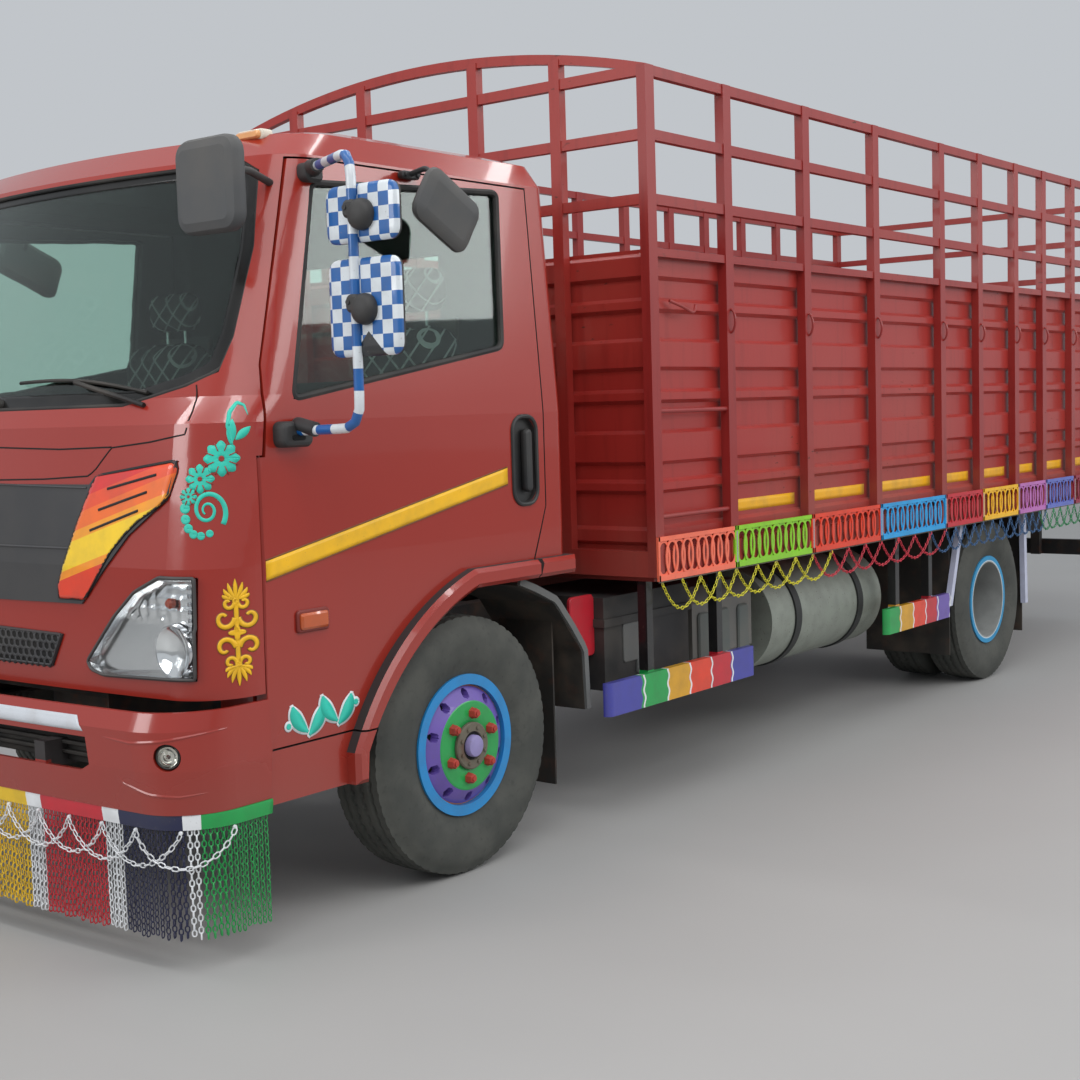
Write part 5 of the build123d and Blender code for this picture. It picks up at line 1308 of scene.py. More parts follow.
    def stripe(self, skin: Skin) -> None:
        """Lay the door's rising yellow stripe with its brown keylines."""
        film = Film(skin, DOOR_HEADING, COAT)
        ends = ((0.848, 1.054, 1.108), (-0.237, 1.266, 1.319))
        low, high = (np.array([(-self.shop.ahead(end[0]), end[k]) for end in ends]) for k in (1, 2))
        yellow = Gloss("stripe_yellow", Tone.YELLOW.value, 0.35)
        brown = Gloss("keyline_brown", paint_of(120, 70, 20), 0.4)
        self.painted("door_stripe", film.between(low, high, 40, 6), yellow, DOOR)
        keys = gather([film.line(low - [0, 0.003], 0.004, 30), film.line(high + [0, 0.003], 0.004, 30)])
        self.painted("stripe_keylines", keys, brown, DOOR)

    def leaf_band(self, skin: Skin) -> None:
        """Lay the turquoise leaf band with its white outline, low on the door, each leaf over the one before."""
        centre = np.array([-self.shop.ahead(0.648), 0.640])
        t = np.linspace(0, 1, 40)
        layers = (("outline", Tone.WHITE, 0.014, COAT), ("fill", Tone.TURQUOISE, 0.0, OVERCOAT))
        for name, tone, grow, lift in layers:
            shapes = []
            for number in range(4):
                film = Film(skin, DOOR_HEADING, lift + 0.00012 * (number + 1))
                way = 1 if number % 2 else -1
                middle = centre + [(number - 1.5) * 0.060, -0.008 * way + (number - 1.5) * 0.006]
                half = np.array([math.sin(0.6 * way), math.cos(0.6 * way)]) * (0.050 + grow / 2)
                bow = np.sin(np.pi * t)[:, None] * np.array([0.014, 0.0]) * way
                wide = (0.042 + grow) * np.sin(np.pi * np.clip(t, 0.04, 0.96)) ** 0.7
                shapes.append(film.stroke(middle - half + t[:, None] * 2 * half + bow, wide))
            film = Film(skin, DOOR_HEADING, lift + 0.0007)
            for side in (1, -1):
                shapes.append(film.disc(centre + side * np.array([0.137, 0.014]), 0.009 + grow / 2, 18))
            self.painted(f"leaf_band_{name}", gather(shapes), Gloss(f"leaf_{name}", tone.value, 0.4), DOOR)

    def seams(self, skin: Skin) -> None:
        """Lay the bonnet's panel gaps and the crease over the arch."""
        film = Film(skin, 0.0, 0.0008)
        black = Moulding("gap_black", paint_of(24, 12, 10), 0.8, dust=0.0)
        half = gather(film.line(line, 0.0045, 50) for line in self.gap_lines)
        self.shop.make("bonnet_gaps", half + half.mirrored(), black, "cab", "grille_black", thick=0.0006)

    def glass_seals(self) -> None:
        """Lay the black band round the windscreen and its rubber, and the door windows' rubbers."""
        rubber = Moulding("seal_rubber", paint_of(26, 26, 27), 0.55, dust=0.2)
        frit = Moulding("glass_band", paint_of(12, 13, 13), 0.12, dust=0.05)
        half = np.array(self.windscreen)
        ring = np.concatenate([half, (half * [-1, 1])[::-1][:-1]])
        ring = resampled(np.concatenate([ring, ring[:1]]), 161)
        glass = self.shop.skin("cab_glass")
        middle = np.array([0.0, 1.9])
        inner = middle + (ring - middle) * np.array([0.945, 0.90])
        inner[:, 1] = np.where(ring[:, 1] < 1.66, np.maximum(inner[:, 1], 1.598), inner[:, 1])
        t = np.linspace(0, 1, 6)[None, :, None]
        band = Film(glass, 0.0, COAT).sheet((inner[:, None] * (1 - t) + ring[:, None] * t)[::-1])
        self.shop.make("windscreen_band", band, frit, "cab", "grille_black", thick=0.001)
        edge = glass.lay(middle + (ring - middle) * 0.992, 0.0, 0.006)
        seal = tube(edge[:-1], 0.008, 8, (1, 0, 0.2), True)
        self.shop.make("windscreen_rubber", seal, rubber, "cab", "trim_plastic")
        window = ((0.712, 1.56), (-0.252, 1.718), (-0.292, 2.225), (-0.27, 2.234), (0.545, 2.19), (0.562, 2.176))
        line = self.round_corners(np.array([(-self.shop.ahead(x), z) for x, z in window]), 0.03)
        rim = self.shop.skin("door_glass_left").lay(line, DOOR_HEADING, 0.007)
        self.shop.pair("window_rubber", tube(rim, 0.011, 8, (0, 1, 0.1), True), rubber, DOOR, "trim_plastic")

    @staticmethod
    def round_corners(corners: np.ndarray, radius: float) -> np.ndarray:
        """Round a closed outline's corners, each by the quadratic curve between points a radius back."""
        t = np.linspace(0, 1, 6)[:, None]
        parts = []
        for before, corner, after in zip(np.roll(corners, 1, 0), corners, np.roll(corners, -1, 0)):
            runs = (np.linalg.norm(before - corner), np.linalg.norm(after - corner))
            reach = min(radius, runs[1] / 2, runs[0] / 2)
            start = corner + (before - corner) / runs[0] * reach
            end = corner + (after - corner) / runs[1] * reach
            parts.append((1 - t) ** 2 * start + 2 * t * (1 - t) * corner + t**2 * end)
        line = np.concatenate(parts)
        return line[np.linalg.norm(line - np.roll(line, 1, 0), axis=1) > 1e-4]

    def wipers(self) -> None:
        """Add two wipers that park along the foot of the windscreen."""
        glass = self.shop.skin("cab_glass")
        black = Moulding("wiper_black", paint_of(18, 18, 19), 0.45)
        shapes = []
        t = np.linspace(0, 1, 14)
        for start, end in ((0.66, 0.10), (-0.02, -0.58)):
            blade = np.column_stack([start + (end - start) * t, 1.592 + 0.045 * t + 0.02 * np.sin(np.pi * t)])
            shapes.append(tube(glass.lay(blade, 0.0, 0.012), 0.006, 6))
            arm = np.column_stack([start + (end - start) * t * 0.55 + 0.02, 1.556 + 0.075 * t])
            shapes.append(tube(glass.lay(arm, 0.0, 0.026), 0.0075, 6))
            levels = ((0.0, -0.01), (0.0, 0.02), (0.006, 0.03))
            shapes.append(pillow(rounded(0.05, 0.04, 0.018), levels, glass.spot(start + 0.02, 1.57), Plane.FRONT))
        self.shop.make("wipers", gather(shapes), black, "cab", "trim_plastic")

    def build(self) -> None:
        """Dress the cab and lay all its paint."""
        shop = self.shop
        red = CabEnamel("cab_enamel", Tone.CAB_RED.value)
        # the bumper's back and the walls of its slot take the dark inner colour: painted shade
        core = (shop.ahead(1.186), 0.57, 0.545, 0.634)
        shop.dress(red, "cab_shell", "door_left", "door_right")
        shop.dress(replace(red, name="bumper_enamel", dust_top=0.75, core=core), "front_bumper")
        shop.dress(Glass("green_glass", paint_of(208, 232, 222)), "cab_glass", "door_glass_left", "door_glass_right")
        shop.dress(Moulding("grille_grey", paint_of(52, 52, 54), 0.42, dust=0.1), "grille_panel")
        front, door = shop.skin("cab_shell", "door_left", "door_right", "grille_panel"), shop.skin("door_left")
        for lay in (self.flames, self.scroll, self.fleuron, self.seams):
            lay(front)
        self.stripe(door)
        self.leaf_band(door)
        self.glass_seals()
        self.wipers()


def oval_links(
    centres: np.ndarray, along: np.ndarray, aside: np.ndarray, size: tuple[float, float], wire: float
) -> Form:
    """Put an oval link at each centre, every other one turned a quarter about the chain: its wire's middle
    runs through c + L/2 cos a t + W/2 sin a s, with the cosines flattened so that the sides are straight.

    Args:
        centres: the links' middles, shape (n, 3).
        along: the chain's direction at each.
        aside: a direction square to it at each.
        size: length and width of the wire's middle line.
        wire: the wire's radius.

    Returns:
        The links, each with as many faces as the next.
    """
    steps, sides = 8, 4
    third = np.cross(along, aside)
    odd = (np.arange(len(centres)) % 2 == 1)[:, None]
    s = np.where(odd, third, aside)[:, None]
    n = np.where(odd, -aside, third)[:, None, None]
    a = (np.arange(steps) + 0.5) * TAU / steps
    cosine, sine = (np.sign(part) * np.abs(part) ** 0.75 for part in (np.cos(a), np.sin(a)))
    t = along[:, None]
    middle = centres[:, None] + t * (cosine * size[0] / 2)[None, :, None] + s * (sine * size[1] / 2)[None, :, None]
    out = t * np.cos(a)[None, :, None] + s * np.sin(a)[None, :, None]
    b = np.arange(sides) * TAU / sides
    ring = out[:, :, None] * np.cos(b)[None, None, :, None] + n * np.sin(b)[None, None, :, None]
    grid = middle[:, :, None] + ring * wire
    one = surface(grid[0], wrap_u=True, wrap_v=True)
    faces = (one.faces[None] + np.arange(len(centres))[:, None, None] * steps * sides).reshape(-1, 4)
    return Form(grid.reshape(-1, 3), faces, np.zeros(len(faces), int))


def chain(path: np.ndarray, out: Place, pitch: float, wide: float, wire: float) -> Form:
    """Hang links along a path, a link to a pitch."""
    ends = resampled(path, max(int(lengths(path)[-1] / pitch), 1) + 1)
    along = unit(np.diff(ends, axis=0))
    aside = unit(np.cross(np.array(out, float), along))
    return oval_links((ends[1:] + ends[:-1]) / 2, along, aside, (pitch * 1.32 - 2 * wire, wide), wire)


def swag(start: np.ndarray, end: np.ndarray, fall: float) -> np.ndarray:
    """Give a hanging chain's line between two hooks: the straight run less 4 u (1 - u) times the fall."""
    u = np.linspace(0, 1, 24)[:, None]
    return start + u * (end - start) - 4 * u * (1 - u) * np.array([0, 0, fall])


@dataclass
class NoseLine:
    """The bumper's foot in plan: a long arc across the nose, a tight one at the corner, a straight side."""

    shop: Workshop
    front: float = 1.188
    half: float = 1.000
    bow: float = 0.020
    corner: float = 0.175
    back: float = 0.868

    def __post_init__(self) -> None:
        """Work out the right-to-left line and its length from the middle."""
        nose_half = self.half - self.corner
        nose = (nose_half**2 + self.bow**2) / (2 * self.bow)
        slope = math.asin(nose_half / nose)
        turn = math.pi / 2 - slope
        tight = self.corner / (1 - math.cos(turn))
        side_end = self.front - self.bow - tight * math.sin(turn)
        a = np.linspace(0, slope, 40)
        b = np.linspace(turn, 0, 30)[1:]
        first = np.column_stack([self.front - nose + nose * np.cos(a), nose * np.sin(a)])
        second = np.column_stack([side_end + tight * np.sin(b), self.half - tight + tight * np.cos(b)])
        half = np.concatenate([first, second, [[self.back, self.half]]])
        line = np.concatenate([(half * [1, -1])[:0:-1], half])
        line[:, 0] = self.shop.ahead(line[:, 0])
        run = lengths(line)
        self.line, self.run = line, run - run[-1] / 2

    def at(self, s: Any, out: float) -> tuple[np.ndarray, np.ndarray]:
        """Give plan places and outward directions at lengths from the middle, moved out."""
        s = np.asarray(s, float)
        steps = (s - 0.01, s, s + 0.01)
        spots = [np.column_stack([np.interp(step, self.run, self.line[:, k]) for k in (0, 1)]) for step in steps]
        way = unit(spots[2] - spots[0])
        normal = np.column_stack([way[:, 1], -way[:, 0]])
        return spots[1] + normal * out, normal

    def length_at(self, x: float, y: float) -> float:
        """Give the length from the middle of the place on the line that is nearest."""
        gaps = np.hypot(self.line[:, 0] - self.shop.ahead(x), self.line[:, 1] - y)
        return float(self.run[gaps.argmin()])


@dataclass
class ChainWork:
    """The chain curtain under the bumper with its painted strip and white festoons, and the side fringes.
    A chain is its links' pitch, width and wire."""

    shop: Workshop
    strand: Place = (0.0168, 0.0122, 0.0023)
    loop: Place = (0.0195, 0.0125, 0.0021)
    fringe: Place = (0.0165, 0.0115, 0.0021)
    strand_gap: float = 0.0185
    hook_gap: float = 0.144
    fringe_limits: tuple[float, ...] = (2.15, 3.46, 4.82)
    strip_top: Line = ((0.000, 0.3925), (0.0055, 0.394), (0.0065, 0.402), (0.010, 0.428), (0.009, 0.436),
                       (0.003, 0.437))

    def paints(self) -> list[Finish]:
        """Give the curtain's paints in the order of its colour numbers."""
        white = ("white", Tone.WHITE)
        order = (("yellow", Tone.CHAIN_YELLOW), white, ("red", Tone.CRIMSON), white, ("navy", Tone.NAVY), white,
                 ("green", Tone.GREEN))
        return [Gloss(f"chain_{name}", tone.value, 0.36, coat=0.3) for name, tone in order]

    def curtain(self, nose: NoseLine) -> None:
        """Hang the curtain's strands and lay the strip that holds them."""
        edges = [0.30, 0.37, 0.65, 0.72, nose.length_at(1.131, 0.94), nose.length_at(1.10, 0.975)]
        end = nose.run[-1]
        spots = np.linspace(-end + 0.02, end - 0.02, int(2 * (end - 0.02) / self.strand_gap))
        places, normals = nose.at(spots, -0.0035)
        strands = []
        rng = np.random.default_rng(7)
        for s, (x, y), (nx, ny) in zip(spots, places, normals):
            low = 0.082 + rng.uniform(0, 0.012)
            sway = rng.uniform(-0.002, 0.002, 2)
            path = np.array([[x, y, 0.394], [x + sway[0], y + sway[1], 0.24], [x, y, low]])
            strand = chain(resampled(path, 12), (nx, ny, 0), *self.strand)
            strands.append(strand.marked(int(np.searchsorted(edges, abs(s)))))
        paints = self.paints()
        self.shop.make("chain_curtain", gather(strands), paints, "chassis", "chain_paint", ["bumper_chains"])
        marks = np.unique(np.concatenate([np.linspace(-end, end, 121), edges, [-edge for edge in edges]]))
        rows = [np.column_stack([nose.at(marks, out - 0.0005)[0], np.full(len(marks), z)]) for out, z in self.strip_top]
        strip = surface(np.stack(rows, axis=1))
        middles = (np.abs(marks[1:] + marks[:-1]) / 2)[:, None].repeat(len(rows) - 1, 1).ravel()
        strip = replace(strip, finish=np.searchsorted(edges, middles))
        self.shop.make("chain_strip", strip, paints, "chassis", "chain_paint", thick=0.005)

    def festoons(self, nose: NoseLine) -> None:
        """Hang the white loops in front of the curtain: each spans two hooks, so that they cross."""
        hooks = np.arange(self.hook_gap / 2, nose.run[-1] - 0.03, self.hook_gap)
        hooks = np.concatenate([-hooks[::-1], hooks])
        loops, studs = [], []
        u = np.linspace(0, 1, 30)
        for first, last in zip(hooks[:-2], hooks[2:]):
            plan, normal = nose.at(first + u * (last - first), 0.0095 + 0.004 * (abs(first) % 0.3 > 0.15))
            path = np.column_stack([plan, 0.386 - 0.098 * (4 * u * (1 - u)) ** 0.8])
            loops.append(chain(path, (*normal[15], 0), *self.loop))
        stud = ((0.006, 0.0), (0.006, 0.005), (0.004, 0.008), (0.0, 0.0085))
        for (x, y), (nx, ny) in zip(*nose.at(hooks, 0.0075)):
            studs.append(knob(stud, (x, y, 0.388), 10, math.degrees(math.atan2(ny, nx))))
        white = Gloss("festoon_white", Tone.WHITE.value, 0.32, coat=0.3)
        self.shop.make("chain_festoons", gather(loops), white, "chassis", "chain_paint")
        self.shop.make("festoon_studs", gather(studs), white, "chassis", "chain_paint")

    def fringes(self) -> None:
        """Hang the loops of fine chain under the lattice panels, on a wire with an eye at each hook."""
        hooks = []
        for start, stop in zip(POSTS[:-1], POSTS[1:]):
            hooks += [start + (stop - start) * part / 4 for part in range(4)]
        hooks.append(POSTS[-1])
        wire_z = LATTICE_LOW - 0.004
        colours = (("yellow", (222, 214, 44)), ("red", (208, 52, 70)), ("blue", (58, 98, 142)),
                   ("green", (40, 140, 84)))
        paints = [Gloss(f"fringe_{name}", paint_of(*colour), 0.4) for name, colour in colours]
        loops = []
        for number, (first, last) in enumerate(zip(hooks[:-2], hooks[2:])):
            ends = self.shop.path(np.array([first, last]), 1.1135 + 0.003 * (number % 2), wire_z - 0.003)
            loop = chain(swag(*ends, 0.108), (0, 1, 0), *self.fringe)
            loops.append(loop.marked(int(np.searchsorted(self.fringe_limits, -(first + last) / 2))))
        line = self.shop.path(np.linspace(-0.955, POSTS[-1] + 0.02, 40), TRIM_Y, wire_z)
        a = np.arange(10) * TAU / 10
        wires = [tube(line, 0.0022, 6)]
        for x in hooks:
            up = wire_z - 0.002 + 0.006 * np.sin(a)
            eye = np.column_stack([self.shop.ahead(x) + 0.006 * np.cos(a), np.full(10, TRIM_Y), up])
            wires.append(tube(eye, 0.0013, 5, (0, 1, 0), True))
        steel = RoadIron("fringe_wire", paint_of(120, 116, 108), metal=0.6)
        self.shop.pair("fringe", gather(loops), paints, "chassis", "chain_paint", ["chain_fringes"])
        self.shop.pair("fringe_wire", gather(wires), steel, "chassis", "chain_paint")

    def build(self) -> None:
        """Hang every chain."""
        nose = NoseLine(self.shop)
        self.curtain(nose)
        self.festoons(nose)
        self.fringes()


@dataclass
class Lattice:
    """The pierced bands along the load body: overlapping ovals of flat bar between two rails."""

    shop: Workshop
    ends: tuple[float, float] = (-0.950, -6.700)
    oval_gap: float = 0.0545
    oval_half: float = 0.0375
    oval_tall: float = 0.064
    tones: tuple[Tone, ...] = (
        Tone.SALMON, Tone.LIME, Tone.VERMILION, Tone.SKY, Tone.CRIMSON, Tone.YELLOW, Tone.LILAC, Tone.PERIWINKLE,
        Tone.MAROON, Tone.LIME, Tone.SALMON,
    )

    def bar(self, x: Any, y: float, z: Any, wide: Place, thick: float) -> Form:
        """Make a straight flat bar along a line of points, given its half width as a vector."""
        path = self.shop.path(x, y, z)
        return ribbon_bar(path, np.tile(wide, (len(path), 1)), np.tile([0, thick, 0], (len(path), 1)))

    def panel(self, first: float, last: float) -> Form:
        """Make one bay's band: two rails, ovals x = a cos, z = b sin that overlap their neighbours, end posts."""
        count = max(round((first - last - 0.03) / self.oval_gap), 2)
        a = np.arange(28) * TAU / 28
        cosine = np.sign(np.cos(a)) * np.abs(np.cos(a)) ** 0.85
        z = (LATTICE_LOW + LATTICE_HIGH) / 2 + self.oval_tall * np.sin(a)
        wide = np.column_stack([np.cos(a), np.zeros(28), np.sin(a)]) * 0.0060
        shapes = []
        for number, x in enumerate(np.linspace(first - 0.044, last + 0.044, count)):
            y = np.full(28, 1.1125 + 0.0035 * (number % 2))
            path = np.column_stack([self.shop.ahead(x) + self.oval_half * cosine, y, z])
            shapes.append(ribbon_bar(path, wide, np.tile([0, 0.0016, 0], (28, 1)), True))
        for z, tall in ((LATTICE_LOW + 0.0105, 0.0105), (LATTICE_HIGH - 0.008, 0.008)):
            shapes.append(self.bar(np.linspace(first - 0.004, last + 0.004, 6), TRIM_Y, z, (0, 0, tall), TRIM_HALF))
        for x in (first - 0.008, last + 0.008):
            shapes.append(self.bar(x, TRIM_Y, np.linspace(LATTICE_LOW, LATTICE_HIGH, 5), (0.006, 0, 0), TRIM_HALF))
        return gather(shapes)

    def build(self) -> None:
        """Make both sides' bands, painted a colour to a bay, and the bright caps over their joints."""
        marks = (self.ends[0], *POSTS[1:-1], self.ends[1])
        shape = gather(self.panel(*bay) for bay in zip(marks[:-1], marks[1:]))
        starts = [(self.shop.ahead(last), tone.value) for last, tone in zip(marks[1:], self.tones)][::-1]
        starts.append((self.shop.ahead(-0.5), self.tones[0].value))
        paint = Bands("lattice_paint", Tone.SALMON.value, 0.34, coat=0.3, wear=0.35, starts=tuple(starts))
        z = np.linspace(LATTICE_LOW + 0.02, LATTICE_HIGH - 0.02, 4)
        caps = gather(self.bar(x, 1.1165, z, (0.005, 0, 0), 0.0035) for x in POSTS[1:-1])
        bright = Bright("cap_steel", (0.72, 0.72, 0.70), 0.25)
        self.shop.pair("lattice", shape, paint, "chassis", "lattice_paint", ["lattice_panels"], smooth=30)
        self.shop.pair("lattice_caps", caps, bright, "chassis", "lattice_paint")


@dataclass
class Mirrors:
    """The banded mirror tubes, their checkered heads and black clamps, and the small mirrors. Places count
    from the axle; a head is its middle's height and its own."""

    shop: Workshop
    run: tuple[Place, ...] = ((0.735, 1.004, 1.470), (0.745, 1.290, 1.475), (0.755, 1.300, 2.215),
                              (0.575, 0.960, 2.225))
    heads: Line = ((2.052, 0.156), (1.800, 0.264))
    kerb_at: Place = (0.140, 1.090, 2.1275)
    nose_at: Place = (0.925, 0.925, 2.150)

    def rod(self, points: Sequence[Place], fillet: float, radius: Any, sides: int, normal: Place = (0, 0, 1)) -> Form:
        """Bend a tube through points."""
        return tube(filleted(self.shop.placed(points), fillet), radius, sides, normal)

    def head(self, z: float, tall: float) -> Form:
        """Make a head: its painted back (0), its black rim (1) and its glass (2)."""
        size, at = (0.265, tall, 0.034), (0.7315, 1.318, z)
        shell = ((0.004, -0.006), (0.0, -0.002), (0.0, 0.006), (0.004, 0.0105), (0.012, 0.013), (0.03, 0.0135))
        rim = ((0.006, -0.002), (0.001, 0.002), (0.001, 0.010), (0.005, 0.0135), (0.013, 0.0135), (0.015, 0.011))
        glass = ((0.016, 0.009), (0.016, 0.0118), (0.0175, 0.0125))
        layers = zip((shell, rim, glass), (Plane.FRONT, Plane.BACK, Plane.BACK))
        return gather(self.shop.slab(size, levels, at, plane).marked(k) for k, (levels, plane) in enumerate(layers))

    def clamp(self, z: float) -> Form:
        """Make a ball clamp on the tube in front of a head: a dome, a neck and two cap screws."""
        dome = ((0.042, 0.0), (0.043, 0.010), (0.040, 0.022), (0.030, 0.032), (0.014, 0.036), (0.0, 0.0365))
        screw = ((0.007, 0.0), (0.007, 0.004), (0.004, 0.0045), (0.0, 0.003))
        neck = ((0.004, -0.018), (0.0, -0.012), (0.0, 0.014), (0.008, 0.020))
        shapes = [
            knob(dome, (self.shop.ahead(0.7435), 1.330, z - 0.006), 28),
            self.shop.slab((0.052, 0.050, 0.020), neck, (0.752, 1.300, z + 0.010), Plane.FRONT),
        ]
        shapes += [knob(screw, (self.shop.ahead(0.7715), y, z + 0.014), 12) for y in (1.288, 1.312)]
        return gather(shapes)

    def brackets(self) -> Form:
        """Make the foot at the door's edge (0) with its slot (1), a near-black slab that is painted shade for the slot,
        and the upper elbow on its boss (0).
        """
        slab = self.shop.slab
        foot = ((0.004, -0.030), (0.0, -0.024), (0.0, 0.022), (0.006, 0.031), (0.014, 0.034))
        slot = ((0.0, 0.0), (0.0, 0.0365), (0.003, 0.037))
        boss = ((0.004, -0.020), (0.0, -0.014), (0.0, 0.022), (0.008, 0.030))
        neck = ((0.700, 1.012, 1.486), (0.735, 1.030, 1.490), (0.738, 1.110, 1.473))
        elbow = ((0.570, 0.945, 2.200), (0.570, 0.962, 2.226), (0.612, 1.030, 2.224))
        return gather([
            slab((0.120, 0.074, 0.022), foot, (0.740, 1.010, 1.4615), Plane.LEFT),
            slab((0.050, 0.016, 0.0078), slot, (0.742, 1.010, 1.452), Plane.LEFT).marked(1),
            self.rod(neck, 0.02, 0.021, 14),
            self.rod(elbow, 0.015, np.linspace(0.030, 0.021, 20), 14, (1, 0, 0.3)),
            slab((0.068, 0.056, 0.018), boss, (0.570, 0.950, 2.215), Plane.LEFT),
        ])

    def kerb(self) -> Form:
        """Make the kerb mirror's dark shell over the window (0), its arm and its bolted foot (1)."""
        x, y, z = self.kerb_at
        hollow = ((0.022, -0.020), (0.006, -0.014), (0.0, -0.004), (0.003, 0.008), (0.016, 0.017), (0.040, 0.0198))
        shell = self.shop.slab((0.280, 0.175, 0.045), hollow, self.kerb_at, Plane.LEFT)
        shell = shell.turned("Y", -26, (self.shop.ahead(x), y, z)).turned("X", -10, (0, y, z)).moved(-0.012)
        bend = ((0.155, 0.955, 2.246), (0.155, 1.040, 2.262), (0.150, 1.085, 2.190))
        arm = self.rod(bend, 0.02, 0.009, 10, (1, 0, 0))
        levels = ((0.003, -0.012), (0.0, -0.006), (0.0, 0.010), (0.004, 0.013))
        foot = self.shop.slab((0.080, 0.024, 0.010), levels, (0.155, 0.962, 2.246), Plane.LEFT)
        bolt = ((0.008, 0.0), (0.008, 0.006), (0.004, 0.0075), (0.0, 0.0078))
        bolts = [turned_shape(bolt, (self.shop.ahead(along), 0.975, 2.247), 6) for along in (0.128, 0.182)]
        return gather([shell, *(part.marked(1) for part in (arm, foot, *bolts))])

    def build(self) -> None:
        """Make both sides' mirrors and the one that looks down over the nose."""
        blue, white = paint_of(8, 92, 164), paint_of(218, 224, 228)
        hoops = Hoops("tube_bands", blue, 0.3, coat=0.5, second=white, pitch=0.060)
        checker = Checker("head_checks", blue, 0.3, coat=0.5, wear=0.4, second=white, square=0.0375,
                          notch=(1.335, 1.735))
        black = Moulding("mirror_black", paint_of(40, 41, 43), 0.5, dust=0.2)
        grey = Moulding("mirror_grey", paint_of(74, 75, 76), 0.55, dust=0.25)
        # a near-black matte finish for the bracket's slot: painted shade
        slot = Moulding("slot_dark", paint_of(10, 10, 11), 0.8, dust=0.0)
        glass = Bright("mirror_silver", (0.80, 0.83, 0.84), 0.02)
        rod = self.rod(self.run, 0.07, 0.014, 16, (0.97, 0.0, 0.24))
        heads = gather(self.head(*size) for size in self.heads)
        clamps = gather(self.clamp(z) for z, _ in self.heads)
        pair = self.shop.pair
        pair("mirror_tube", rod, hoops, DOOR, "trim_plastic", ["mirrors_{side}"])
        pair("mirror_heads", heads, (checker, black, glass), DOOR, "trim_plastic")
        pair("mirror_clamps", clamps, black, DOOR, "trim_plastic")
        pair("mirror_brackets", self.brackets(), (black, slot), DOOR, "trim_plastic")
        pair("kerb_mirror", self.kerb(), (grey, black), DOOR, "trim_plastic")
        bend = ((0.640, 0.880, 2.180), (0.800, 0.940, 2.205), (0.905, 0.930, 2.185))
        arm = self.rod(bend, 0.03, 0.011, 12)
        levels = ((0.004, -0.024), (0.0, -0.018), (0.0, 0.004), (0.008, 0.016), (0.03, 0.024))
        shell = self.shop.slab((0.250, 0.260, 0.050), levels, self.nose_at, Plane.FRONT)
        levels = ((0.0, 0.018), (0.0, 0.0242), (0.004, 0.0248))
        down = self.shop.slab((0.226, 0.236, 0.040), levels, self.nose_at, Plane.BACK)
        whole = gather([shell, arm.marked(1), down.marked(2)])
        self.shop.make("nose_mirror", whole, (grey, black, glass), "cab", "trim_plastic", ["front_mirror"])


